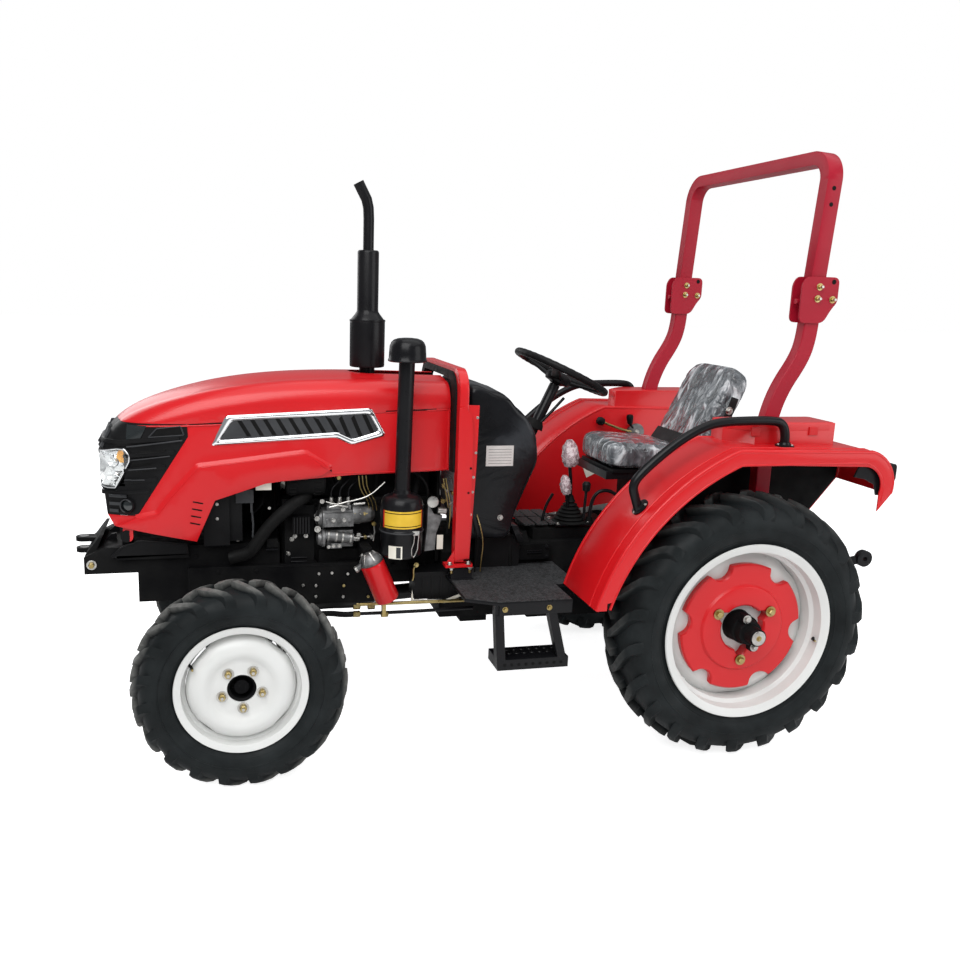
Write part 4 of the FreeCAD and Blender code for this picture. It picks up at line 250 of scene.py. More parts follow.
def ramp(tree, value, stops):
    """Colour that runs through (place, colour) stops."""
    node = tree.nodes.new("ShaderNodeValToRGB")
    bar = node.color_ramp.elements
    while len(bar) < len(stops):
        bar.new(0.5)
    for element, (place, colour) in zip(bar, stops):
        element.position = place
        element.color = (*colour, 1)
    tree.links.new(value, node.inputs["Fac"])
    return node.outputs["Color"]


def spread(tree, value, low, high):
    """A noise value stretched over a range."""
    node = add_node(tree, "MapRange", From_Min=0.3, From_Max=0.7, To_Min=low, To_Max=high)
    tree.links.new(value, node.inputs["Value"])
    return node.outputs["Result"]


def bump(tree, shader, height, strength, distance):
    """Relief in the surface's shading."""
    node = add_node(tree, "Bump", Strength=strength, Distance=distance)
    tree.links.new(height, node.inputs["Height"])
    wire(tree, node, "Normal", shader, "Normal")
    return node


def surface(name, dark, light, rough, metal=0.0, scale=6.0, grain=300.0, depth=0.0004, strength=0.3,
            coat=0.0, coat_rough=0.05, specular=0.5):
    """A finish whose colour and roughness drift between two values, with a fine grain in its bump."""
    mat, tree, shader, coords = nodes_of(name)
    drift = noise(tree, coords, scale)
    tree.links.new(ramp(tree, drift, [(0.3, dark), (0.7, light)]), shader.inputs["Base Color"])
    tree.links.new(spread(tree, noise(tree, coords, scale * 3), *rough), shader.inputs["Roughness"])
    set_inputs(shader, Metallic=metal, Coat_Weight=coat, Coat_Roughness=coat_rough,
               Specular_IOR_Level=specular)
    bump(tree, shader, noise(tree, coords, grain, 2.0), strength, depth)
    return mat


RED = surface("red_paint", (0.52, 0.006, 0.009), (0.58, 0.008, 0.012), (0.30, 0.34), scale=1.5, grain=60,
              depth=0.00005, strength=0.04, coat=0.25, coat_rough=0.16, specular=0.3)
DARK_RED = surface("dark_red_paint", (0.29, 0.005, 0.018), (0.35, 0.007, 0.022), (0.40, 0.48), scale=3.0,
                   grain=120, depth=0.0001, strength=0.12, coat=0.08, coat_rough=0.2, specular=0.18)
WHITE = surface("white_paint", (0.62, 0.625, 0.61), (0.67, 0.675, 0.66), (0.30, 0.40), scale=5.0, grain=240,
                depth=0.0001, strength=0.2, coat=0.15, coat_rough=0.15, specular=0.3)
BLACK = surface("black_paint", (0.004, 0.004, 0.005), (0.008, 0.008, 0.009), (0.26, 0.38), scale=5.0,
                grain=160, depth=0.0001, strength=0.12, coat=0.10, coat_rough=0.12, specular=0.14)
CASTING = surface("black_casting", (0.0025, 0.0025, 0.003), (0.008, 0.008, 0.008), (0.45, 0.68), scale=9.0,
                  grain=420, depth=0.0008, strength=0.5, specular=0.07)
PLASTIC = surface("black_plastic", (0.004, 0.004, 0.0045), (0.008, 0.008, 0.0085), (0.36, 0.50), scale=8.0,
                  grain=900, depth=0.0002, strength=0.35, specular=0.13)
RUBBER = surface("black_rubber", (0.004, 0.004, 0.004), (0.009, 0.009, 0.009), (0.5, 0.7), scale=12.0,
                 grain=500, depth=0.0003, strength=0.3, specular=0.10)
ALLOY = surface("cast_alloy", (0.10, 0.10, 0.10), (0.26, 0.26, 0.26), (0.40, 0.60), metal=0.8, scale=40.0,
                grain=500, depth=0.0008, strength=0.6)
STEEL = surface("zinc_steel", (0.40, 0.39, 0.37), (0.56, 0.55, 0.52), (0.24, 0.40), metal=1.0, scale=30.0,
                grain=700, depth=0.0001, strength=0.2)
CHROME = surface("chrome", (0.86, 0.87, 0.88), (0.92, 0.93, 0.94), (0.08, 0.14), metal=1.0, scale=30.0,
                 grain=400, depth=0.00005, strength=0.1)
BRASS = surface("yellow_zinc", (0.34, 0.25, 0.09), (0.46, 0.37, 0.17), (0.24, 0.42), metal=1.0, scale=40.0,
                grain=600, depth=0.0001, strength=0.2)
YELLOW = surface("yellow_band", (0.62, 0.38, 0.015), (0.72, 0.47, 0.03), (0.4, 0.5), scale=20.0, grain=500,
                 depth=0.0001, strength=0.2)
GREY = surface("grey_plastic", (0.030, 0.031, 0.034), (0.044, 0.046, 0.049), (0.42, 0.55), scale=14.0,
               grain=900, depth=0.0002, strength=0.3, specular=0.2)
# Near-black for slots, gaps, holes and the tail pipe's mouth, painted as the shade inside them, and for a few thin
# dark lines.
SHADE_AND_LINE_BLACK = surface("painted_shade_and_line_black", (0.002, 0.002, 0.002), (0.004, 0.004, 0.004), (0.6, 0.8), scale=14.0, grain=900,
               depth=0.0001, strength=0.1, specular=0.15)
GLOSS = surface("gloss_black", (0.006, 0.009, 0.010), (0.010, 0.014, 0.015), (0.10, 0.18), scale=5.0,
                grain=200, depth=0.0001, strength=0.1, coat=0.8)
GRIT = surface("gritty_black", (0.001, 0.001, 0.001), (0.055, 0.057, 0.060), (0.45, 0.75), scale=110.0,
               grain=700, depth=0.003, strength=0.9, specular=0.4)


def tyre_rubber(name, hub, radius, dust_and_highlight):
    """Black rubber, grey from the lugs' flanks up to their crowns, partly a dusty tone and partly a painted
    highlight on the crowns.
    """
    mat, tree, shader, coords = nodes_of(name)

    def maths(operation, first, second):
        """One step of arithmetic on sockets or plain numbers."""
        node = add_node(tree, "Math")
        node.operation = operation
        for socket, value in zip(node.inputs, (first, second)):
            if isinstance(value, float):
                socket.default_value = value
            else:
                tree.links.new(value, socket)
        return node.outputs["Value"]

    flank, top = radius - 0.026, radius - 0.008
    parts = add_node(tree, "SeparateXYZ")
    tree.links.new(coords, parts.inputs["Vector"])
    along = maths("SUBTRACT", parts.outputs["X"], float(hub.x))
    rise = maths("SUBTRACT", parts.outputs["Z"], float(hub.z))
    reach = maths("SQRT", maths("ADD", maths("MULTIPLY", along, along), maths("MULTIPLY", rise, rise)), 0.0)
    crown = add_node(tree, "MapRange", From_Min=flank, From_Max=top)
    tree.links.new(reach, crown.inputs["Value"])
    patchy = spread(tree, noise(tree, coords, 40.0, 6.0), 0.4, 1.0)
    share = maths("MULTIPLY", maths("MULTIPLY", crown.outputs["Result"], patchy), dust_and_highlight)
    mix = add_node(tree, "Mix")
    mix.data_type = "RGBA"
    # grey on the lug crowns: a dusty tone, and a painted highlight where the crowns catch the light
    mix.inputs["B"].default_value = (0.20, 0.20, 0.19, 1)
    tree.links.new(share, mix.inputs["Factor"])
    blacks = [(0.3, (0.006, 0.0075, 0.008)), (0.7, (0.015, 0.018, 0.019))]
    tree.links.new(ramp(tree, noise(tree, coords, 9.0), blacks), mix.inputs["A"])
    wire(tree, mix, "Result", shader, "Base Color")
    tree.links.new(spread(tree, noise(tree, coords, 14.0), 0.40, 0.62), shader.inputs["Roughness"])
    shader.inputs["Specular IOR Level"].default_value = 0.11
    bump(tree, shader, noise(tree, coords, 380.0, 2.0), 0.35, 0.0005)
    return mat


# share of grey on the lug crowns, front and rear: a dusty tone and a painted highlight
TYRE = {"front": tyre_rubber("front_tyre_rubber", FRONT_HUB, 0.365, 0.75),
        "rear": tyre_rubber("rear_tyre_rubber", REAR_HUB, 0.505, 0.22)}


def clear(name, colour, rough, glass):
    """Lens that lets light through."""
    mat, tree, shader, coords = nodes_of(name)
    paler = [min(1, c * 1.05) for c in colour]
    tree.links.new(ramp(tree, noise(tree, coords, 6.0), [(0.3, colour), (0.7, paler)]),
                   shader.inputs["Base Color"])
    set_inputs(shader, Roughness=rough, Transmission_Weight=glass, IOR=1.2)
    bump(tree, shader, noise(tree, coords, 120.0, 2.0, (1, 1, 6)), 0.12, 0.001)
    return mat


LENS = clear("lamp_glass", (0.94, 0.96, 0.95), 0.04, 0.92)
AMBER = clear("amber_lens", (0.95, 0.42, 0.04), 0.25, 0.35)
RED_LENS = clear("red_lens", (0.50, 0.012, 0.012), 0.2, 0.3)
CREAM = surface("blank_tag", (0.74, 0.70, 0.60), (0.80, 0.77, 0.68), (0.5, 0.6), scale=20.0, grain=500,
                depth=0.0001, strength=0.1)
PLATE = surface("blank_plate", (0.52, 0.50, 0.48), (0.60, 0.58, 0.56), (0.4, 0.5), scale=20.0, grain=500,
                depth=0.0001, strength=0.1, metal=0.2)


def film(name, stops, rough, scale, depth, stretch, coat=0.9, specular=0.5):
    """Surface under creased clear wrapping: facets between sharp creases, an uneven gloss, and a base colour
    lightened along the crease ridges as a painted sheen of the film.
    """
    mat, tree, shader, coords = nodes_of(name)
    warp = add_node(tree, "Mapping", Scale=stretch, Rotation=(0.3, 0.5, 0.2))
    tree.links.new(coords, warp.inputs["Vector"])
    folds = add_node(tree, "TexNoise", Scale=scale, Detail=5.0, Distortion=1.2)
    wire(tree, warp, "Vector", folds, "Vector")
    bend = add_node(tree, "Mix")
    bend.data_type = "VECTOR"
    bend.inputs["Factor"].default_value = 0.12
    wire(tree, warp, "Vector", bend, "A")
    wire(tree, folds, "Color", bend, "B")
    cells = add_node(tree, "TexVoronoi", Scale=scale * 1.6)
    wire(tree, bend, "Result", cells, "Vector")
    crease_and_sheen = add_node(tree, "Math")
    crease_and_sheen.operation = "MULTIPLY_ADD"
    crease_and_sheen.inputs[1].default_value = 0.55
    wire(tree, cells, "Distance", crease_and_sheen, 0)
    wire(tree, folds, "Fac", crease_and_sheen, 2)
    height = crease_and_sheen.outputs["Value"]
    # the crease height also sets the base colour; its light end is a painted sheen on the film's ridges
    tree.links.new(ramp(tree, height, stops), shader.inputs["Base Color"])
    tree.links.new(spread(tree, folds.outputs["Fac"], *rough), shader.inputs["Roughness"])
    set_inputs(shader, Specular_IOR_Level=specular, Coat_Weight=coat, Coat_Roughness=0.10)
    node = bump(tree, shader, height, 0.8, depth)
    wire(tree, node, "Normal", shader, "Coat Normal")
    return mat


# the lightest stops of each film are a painted sheen on its crease ridges
FILM_BLACK = film("film_on_black", [(0.45, (0.003, 0.003, 0.0035)), (0.80, (0.007, 0.0075, 0.009)),
                                    (0.98, (0.028, 0.031, 0.035))], (0.22, 0.36), 3.0, 0.008, (1, 1, 1.6),
                  0.16, 0.12)
FILM_SEAT = film("film_on_vinyl", [(0.56, (0.040, 0.046, 0.051)), (0.76, (0.080, 0.090, 0.100)),
                                   (0.90, (0.19, 0.205, 0.22)), (1.0, (0.50, 0.52, 0.54))], (0.14, 0.32),
                 12.0, 0.022, (1.3, 1.6, 0.6), 0.8)
FILM_PINK = film("film_on_knob", [(0.45, (0.14, 0.07, 0.08)), (0.70, (0.34, 0.22, 0.24)),
                                  (0.95, (0.70, 0.60, 0.62))], (0.16, 0.34), 40.0, 0.003, (1, 1, 1), 0.6)


# ---------------------------------------------------------------- wheels

def wheel_point(hub, y, radius, turn):
    """A point on a left wheel: y from the ground's middle, turn from straight back, over the top, forward."""
    return Vector((hub.x - radius * math.cos(turn), y, hub.z + radius * math.sin(turn)))


def turned(piece, hub, profile, mat, steps=96, around=False, flats=None, caps=False):
    """Ring of revolution about a wheel's axle from (y, radius) pairs."""
    rings = []
    for y, radius in profile:
        loop = []
        for i in range(steps):
            turn = 2 * math.pi * i / steps
            loop.append(wheel_point(hub, y, flats(radius, turn) if flats else radius, turn))
        rings.append(loop)
    piece.loft(rings, mat, caps=caps, around=around)


TIP_SHARE = 0.80   # width of a lug's top against its foot


def tyre(end, hub, middle, skin, crown, lugs, lug_path, lug_widths, rings):
    """Carcass with moulded rings, bead, and two rows of lugs that lean back towards the shoulders."""
    piece = Piece(f"tyre_{end}_detail")
    profile = [(-y, r) for y, r in skin][::-1] + [(0, crown)] + list(skin)
    turned(piece, hub, [(middle + y, r) for y, r in profile], TYRE[end], steps=144)
    for side in (1, -1):
        for y, radius, wide in rings:
            turned(piece, hub, [(middle + side * (y - 0.001), radius - wide),
                                (middle + side * (y + 0.002), radius),
                                (middle + side * (y - 0.001), radius + wide)], TYRE[end], steps=144)
        for i in range(lugs):
            first = 2 * math.pi * (i + (0.5 if side < 0 else 0)) / lugs
            sections = []
            for y, low, high, lag in lug_path:
                share = (y - lug_path[0][0]) / (lug_path[-1][0] - lug_path[0][0])
                foot = lug_widths[0] + (lug_widths[1] - lug_widths[0]) * share
                tip = foot * TIP_SHARE
                turn = first - lag
                corners = ((low, -foot / low), (high, -tip / high), (high, tip / high), (low, foot / low))
                sections.append([wheel_point(hub, middle + side * y, reach, turn + aside) for reach,
                                 aside in corners])
            piece.loft(sections, TYRE[end])
    return piece


def valve(piece, hub, y, radius, turn):
    """Bent valve stem with its cap, on the inside of a rim."""
    stem = wheel_point(hub, y, radius, turn)
    inward = (wheel_point(hub, y, radius - 0.03, turn) - stem).normalized()
    piece.tube([stem, stem + inward * 0.012 + ACROSS * 0.012, stem + inward * 0.016 + ACROSS * 0.03],
               [0.006, 0.005, 0.0045], RUBBER, steps=12)
    piece.rod(stem + inward * 0.016 + ACROSS * 0.03, stem + inward * 0.017 + ACROSS * 0.038, 0.0035, BRASS,
              10)


def other_side(piece, name, body, **finish):
    """The same shape mirrored to the right side as a piece of its own."""
    twin = Piece(name)
    twin.mats = piece.mats
    twin.verts = [Vector((v.x, -v.y, v.z)) for v in piece.verts]
    twin.faces = [list(reversed(f)) for f in piece.faces]
    twin.marks = piece.marks
    return twin.done(body, **finish)


def both(piece, body, replaces=(), **finish):
    """Finishes a left piece and its mirror image on the right."""
    name = piece.name
    piece.name = f"{name}_left"
    piece.done(f"{body}_left", replaces=[f"{n}_left" for n in replaces], **finish)
    other_side(piece, f"{name}_right", f"{body}_right", replaces=[f"{n}_right" for n in replaces], **finish)


def front_tyre():
    """Both front tyres: 20 lugs a side."""
    skin = [(0.030, 0.338), (0.055, 0.334), (0.072, 0.322), (0.083, 0.306), (0.088, 0.285), (0.087, 0.265),
            (0.080, 0.245), (0.068, 0.232), (0.061, 0.224), (0.058, 0.205)]
    path = [(-0.006, 0.328, 0.365, -0.045), (0.018, 0.328, 0.364, 0.0), (0.042, 0.326, 0.359, 0.07),
            (0.062, 0.318, 0.350, 0.15), (0.078, 0.304, 0.338, 0.20), (0.085, 0.292, 0.320, 0.215),
            (0.085, 0.280, 0.297, 0.22)]
    rings = [(0.0885, 0.272, 0.002), (0.0775, 0.243, 0.003)]
    piece = tyre("front", FRONT_HUB, FRONT_HUB.y, skin, 0.340, 20, path, (0.014, 0.020), rings)
    both(piece, "wheel_front", replaces=["tyre_front"], slot="tyre", bevel=0.002, smooth=32)


def rear_tyre():
    """Both rear tyres: 22 lugs a side."""
    skin = [(0.045, 0.470), (0.080, 0.463), (0.100, 0.450), (0.115, 0.430), (0.1225, 0.405), (0.122, 0.380),
            (0.114, 0.357), (0.103, 0.342), (0.101, 0.331), (0.099, 0.307)]
    path = [(-0.008, 0.460, 0.505, -0.035), (0.025, 0.460, 0.504, 0.01), (0.055, 0.457, 0.498, 0.075),
            (0.085, 0.448, 0.487, 0.15), (0.106, 0.432, 0.472, 0.195), (0.117, 0.415, 0.450, 0.21),
            (0.118, 0.398, 0.418, 0.215)]
    rings = [(0.1230, 0.392, 0.002), (0.1125, 0.354, 0.003)]
    piece = tyre("rear", REAR_HUB, REAR_HUB.y, skin, 0.472, 22, path, (0.017, 0.026), rings)
    both(piece, "wheel_rear", replaces=["tyre_rear"], slot="tyre", bevel=0.003, smooth=32)


def front_disc_edge(radius, turn):
    """Draws the disc's edge in to four flats that leave windows under the barrel."""
    shoulder, chord_reach, half_width = 0.170, 0.1775, math.radians(24)
    if radius < shoulder:
        return radius
    away = [(turn - math.radians(a) + math.pi) % (2 * math.pi) - math.pi for a in (48, 138, 228, 318)]
    nearest = min(abs(a) for a in away)
    chord = chord_reach / math.cos(min(nearest, 0.9))
    return min(radius, max(chord, radius * 0.9)) if nearest < half_width else radius


def front_rim():
    """Front rims: barrel, disc with four flats, hub cap, five nuts and the valve."""
    piece = Piece("rim_front_detail")
    mid = FRONT_HUB.y
    barrel = [(0.072, 0.2225), (0.068, 0.2245), (0.064, 0.2225), (0.061, 0.216), (0.061, 0.204),
              (0.030, 0.203), (0.020, 0.192), (-0.020, 0.192), (-0.030, 0.203), (-0.061, 0.204),
              (-0.061, 0.216), (-0.064, 0.2225), (-0.068, 0.2245), (-0.072, 0.2225), (-0.070, 0.214),
              (-0.064, 0.200), (-0.030, 0.197), (-0.022, 0.186), (0.022, 0.186), (0.030, 0.198),
              (0.064, 0.200), (0.070, 0.214)]
    turned(piece, FRONT_HUB, [(mid + y, r) for y, r in barrel], WHITE, steps=128, around=True)
    disc = [(0.018, 0.1845), (0.034, 0.182), (0.050, 0.170), (0.060, 0.155), (0.064, 0.138), (0.062, 0.122),
            (0.054, 0.108), (0.049, 0.098), (0.048, 0.088), (0.048, 0.049), (0.042, 0.049), (0.042, 0.090),
            (0.047, 0.105), (0.056, 0.124), (0.058, 0.140), (0.054, 0.154), (0.044, 0.166), (0.028, 0.176),
            (0.012, 0.1785)]
    turned(piece, FRONT_HUB, [(mid + y, r) for y, r in disc], WHITE, steps=128, around=True, flats=front_disc_edge)
    cap = [(0.005, 0.088), (0.0415, 0.088), (0.0415, 0.0485), (0.044, 0.047), (0.038, 0.040), (0.020, 0.038),
           (0.005, 0.038)]
    turned(piece, FRONT_HUB, [(mid + y, r) for y, r in cap], CASTING, steps=64)
    for k in range(5):
        turn = math.radians(-90 + 72 * k + 3)
        piece.bolt(wheel_point(FRONT_HUB, mid + 0.048, 0.070, turn), ACROSS, 0.021, BRASS, STEEL)
        piece.rod(wheel_point(FRONT_HUB, mid + 0.055, 0.070, turn),
                  wheel_point(FRONT_HUB, mid + 0.068, 0.070, turn), 0.0055, STEEL, 12)
    valve(piece, FRONT_HUB, mid + 0.034, 0.197, math.radians(152))
    both(piece, "wheel_front", replaces=["rim_front"], slot="white_paint", smooth=30)


def rear_disc_edge(radius, turn):
    """Draws the disc's edge in between its eight lobes."""
    shoulder, dip = 0.2, 0.012
    if radius < shoulder:
        return radius
    nearest = abs((turn * 4 / math.pi + 0.5) % 1 - 0.5) * 2
    return radius - dip * max(0, 0.5 - nearest)


def rear_rim():
    """Rear rims: barrel, lobed disc with its eight bolts, and the valve."""
    piece = Piece("rim_rear_detail")
    mid = REAR_HUB.y
    barrel = [(0.113, 0.330), (0.108, 0.3325), (0.104, 0.330), (0.102, 0.322), (0.102, 0.306),
              (0.060, 0.304), (0.046, 0.292), (-0.046, 0.292), (-0.060, 0.304), (-0.102, 0.306),
              (-0.102, 0.322), (-0.104, 0.330), (-0.108, 0.3325), (-0.113, 0.330), (-0.110, 0.318),
              (-0.102, 0.301), (-0.060, 0.298), (-0.050, 0.285), (0.050, 0.285), (0.060, 0.298),
              (0.102, 0.301), (0.110, 0.318)]
    turned(piece, REAR_HUB, [(mid + y, r) for y, r in barrel], WHITE, steps=160, around=True)
    disc = [(0.000, 0.284), (0.004, 0.276), (0.018, 0.262), (0.024, 0.245), (0.024, 0.060), (0.014, 0.060),
            (0.014, 0.242), (0.010, 0.255), (-0.004, 0.270), (-0.010, 0.284)]
    turned(piece, REAR_HUB, [(mid + y, r) for y, r in disc], WHITE, steps=160, around=True, flats=rear_disc_edge)
    for k in range(8):
        turn = math.radians(22.5 + 45 * k)
        piece.bolt(wheel_point(REAR_HUB, mid + 0.002, 0.268, turn), ACROSS, 0.012, WHITE, WHITE)
    valve(piece, REAR_HUB, mid + 0.078, 0.297, math.radians(-10))
    both(piece, "wheel_rear", replaces=["rim_rear"], slot="white_paint", smooth=30)


def weight_edge(turn):
    """Outer radius of the weight, scalloped six times."""
    step = math.radians(60)
    away = (turn - math.radians(54) + step / 2) % step - step / 2
    radius, centre, notch = 0.243, 0.252, 0.046
    reach = centre * math.cos(away)
    inside = notch ** 2 - (centre * math.sin(away)) ** 2
    if inside <= 0:
        return radius
    return max(0.200, min(radius, reach - math.sqrt(inside)))


def weight_hole(turn):
    """Radius of the weight's opening, with three lobes out to the hub's bolts."""
    step = math.radians(120)
    away = abs((turn - math.radians(30) + step / 2) % step - step / 2)
    return 0.086 + 0.022 * max(0.0, math.cos(min(away * 6, math.pi / 2)))


def wheel_weight():
    """Scalloped weights on the rear discs, each held by three bolts."""
    piece = Piece("weight_detail")
    face = REAR_HUB.y + 0.024
    steps = 360
    rows = []
    for y, outer, shrink in ((0.0005, True, 0.002), (0.024, True, 0.0), (0.030, True, 0.006),
                             (0.031, 0.166, 0), (0.040, 0.159, 0), (0.0415, 0.153, 0),
                             (0.0415, False, -0.006), (0.036, False, 0.0), (0.0005, False, 0.0)):
        loop = []
        for i in range(steps):
            turn = 2 * math.pi * i / steps
            if outer is True:
                radius = weight_edge(turn) - shrink
            elif outer is False:
                radius = weight_hole(turn) - shrink
            else:
                radius = outer
            loop.append(wheel_point(REAR_HUB, face + y, radius, turn))
        rows.append(loop)
    piece.loft(rows, RED, around=True)
    for turn in (30, 150, 270):
        spot = wheel_point(REAR_HUB, face + 0.0415, 0.122, math.radians(turn))
        piece.lathe(spot, ACROSS, [(0, 0.019), (0.004, 0.018)], CASTING, steps=24)
        piece.bolt(spot + ACROSS * 0.004, ACROSS, 0.021, BRASS, BRASS)
    both(piece, "wheel_rear", replaces=["wheel_weight"], slot="red_paint", smooth=30)


def rear_hub():
    """Rear hubs: flange, stepped shaft with its clamp, six bolts and the end plate."""
    piece = Piece("hub_rear_detail")
    turned(piece, REAR_HUB, [(0.462, 0.031), (0.655, 0.032), (0.655, 0.112), (0.658, 0.115), (0.672, 0.115),
                             (0.6745, 0.112), (0.6745, 0.060), (0.690, 0.058), (0.722, 0.055), (0.745, 0.054),
                             (0.747, 0.047), (0.779, 0.045), (0.781, 0.042), (0.781, 0.032), (0.829, 0.032),
                             (0.831, 0.030)], CASTING, steps=64, caps=True)
    for turn in (90, 270):
        ear = wheel_point(REAR_HUB, 0.764, 0.058, math.radians(turn + 20))
        piece.block(ear - Vector((0.013, 0.016, 0.016)), ear + Vector((0.013, 0.016, 0.016)), CASTING)
        piece.bolt(ear + ACROSS * 0.016, ACROSS, 0.017, STEEL)
    for k in range(6):
        turn = math.radians(60 * k)
        piece.bolt(wheel_point(REAR_HUB, 0.6745, 0.094, turn), ACROSS, 0.018, BRASS, STEEL)
    end = wheel_point(REAR_HUB, 0.8305, 0, 0)
    piece.lathe(end, ACROSS, [(0, 0.027), (0.003, 0.027), (0.0035, 0.026)], STEEL, steps=40)
    piece.bolt(end + ACROSS * 0.0035, ACROSS, 0.011, BRASS)
    both(piece, "wheel_rear", replaces=["hub_rear"], slot="black_casting", bevel=0.0015, smooth=35)


# ---------------------------------------------------------------- hood

def skin_of(names):
    """Ray target made of the CAD skins of those nodes, where they stand at rest."""
    verts, faces = [], []
    for name in names:
        node = frame["nodes"][name]
        place = node.matrix_world
        start = len(verts)
        verts += [place @ v.co for v in node.data.vertices]
        faces += [[start + i for i in p.vertices] for p in node.data.polygons]
    return BVHTree.FromPolygons(verts, faces)


HOOD_SKIN = skin_of(["hood_top", "hood_side_left", "grille", "headlamps"])


def on_hood(x, z, out=0.0):
    """Point of the hood's left skin at x and z in millimetres, lifted off along its own slope."""
    hit, normal, _, _ = HOOD_SKIN.ray_cast(at(x, 900, z), Vector((0, -1, 0)))
    if hit is None:
        hit, normal = at(x, 150, z), ACROSS
    if normal.y < 0:
        normal = -normal
    return hit + Vector((0, out / 1000 / max(normal.y, 0.5), 0))


def spaced(points, count):
    """Points spaced evenly along a polyline."""
    points = [Vector(p) for p in points]
    lengths = [(b - a).length for a, b in zip(points, points[1:])]
    total = sum(lengths)
    out = []
    for i in range(count):
        want = total * i / (count - 1)
        k = 0
        while k < len(lengths) - 1 and want > lengths[k]:
            want -= lengths[k]
            k += 1
        out.append(points[k].lerp(points[k + 1], min(1.0, want / max(lengths[k], 1e-9))))
    return out


SINK = 3.0   # millimetres that the edge of a raised patch goes into the skin


def overlay(piece, high, low, rise, mat, count=40, across=5):
    """Raised patch on the hood's left skin between two polylines of (x, z) millimetres."""
    top, foot = spaced(high, count), spaced(low, count)
    rows = []
    for j in range(across + 3):
        if j == 0 or j == across + 2:
            share, out = (0.0 if j == 0 else 1.0), -SINK
        else:
            share, out = (j - 1) / across, rise
        rows.append([on_hood(*a.lerp(b, share), out) for a, b in zip(top, foot)])
    ends = rows[1:-1]
    back = [[p - Vector((0, (SINK + rise + 1) / 1000, 0)) for p in row] for row in ends]
    skins = [ends, rows[:2], rows[-2:]]
    skins += [[[row[side] for row in ends], [row[side] for row in back]] for side in (0, -1)]
    for skin in skins:
        piece.loft(skin, mat, caps=False, closed=False)


def rounded_run(points, radius, steps=6):
    """Closed outline of 2D points in millimetres with its corners rounded."""
    out = []
    count = len(points)
    for i in range(count):
        before, here, after = (Vector(points[(i + k) % count]) for k in (-1, 0, 1))
        back, ahead = before - here, after - here
        cut = min(radius, back.length * 0.45, ahead.length * 0.45)
        a, b = here + back.normalized() * cut, here + ahead.normalized() * cut
        for k in range(steps + 1):
            t = k / steps
            out.append((1 - t) ** 2 * a + 2 * t * (1 - t) * here + t * t * b)
    return out


def framed(piece, outer, inner, rise, mat):
    """Raised frame between two closed outlines of as many (x, z) corners on the hood's left skin."""
    corner, step = 15, 12
    loops = [rounded_run(outer, corner), rounded_run(inner, corner * 0.7)]
    pairs = []
    for i, (a, b) in enumerate(zip(*loops)):
        c, d = (loop[(i + 1) % len(loop)] for loop in loops)
        parts = max(1, int((c - a).length / step))
        pairs += [(a.lerp(c, k / parts), b.lerp(d, k / parts)) for k in range(parts)]
    rows = []
    section = ((0.0, 0.25), (0.12, 0.62), (0.30, 0.90), (0.5, 1.0), (0.70, 0.90), (0.88, 0.62), (1.0, 0.25))
    for share, height in section:
        rows.append([on_hood(*a.lerp(b, share), rise * height) for a, b in pairs])
    rows = [[on_hood(*a, -SINK) for a, _ in pairs]] + rows + [[on_hood(*b, -SINK) for _, b in pairs]]
    piece.loft(rows, mat, caps=False)


def skin_rod(piece, points, radius, mat, out=0.0, count=30):
    """Bead along (x, z) points of the hood's left skin."""
    piece.tube([on_hood(*p, out) for p in spaced(points, count)], radius / 1000, mat, 10)


def vent():
    """Bright frame round a dark panel with eleven slanted slots, each a black strip painted as the shade inside
    the slot.
    """
    piece = Piece("hood_vents")
    outer = [(1843, 1236), (1318, 1262), (1262, 1160), (1390, 1125), (1449, 1153), (1897, 1126)]
    inner = [(1822, 1217), (1328, 1241), (1290, 1176), (1386, 1147), (1443, 1173), (1868, 1147)]
    overlay(piece, [(1834, 1228), (1318, 1252)], [(1884, 1136), (1449, 1163), (1389, 1136), (1268, 1164)],
            1.5, GREY, count=60)
    framed(piece, outer, inner, 7, CHROME)
    slots, pitch, slant = 11, 45, 34
    for k in range(slots):
        top = 1796 - pitch * k
        foot = top - slant
        high = 1217 + (1800 - top) * 0.046
        low = 1155 + (1884 - foot) * 0.043
        if foot < 1443:
            low = max(1152, 1174 - (1443 - foot) * 0.42) if foot > 1386 else 1151 + (1386 - foot) * 0.2
        # black strip raised on the panel: painted shade in the slot
        overlay(piece, [(top + 8, high), (foot + 8, low)], [(top - 8, high), (foot - 8, low)], 2.2, SHADE_AND_LINE_BLACK,
                count=8, across=1)
    piece.mirrored().done("hood", smooth=40)


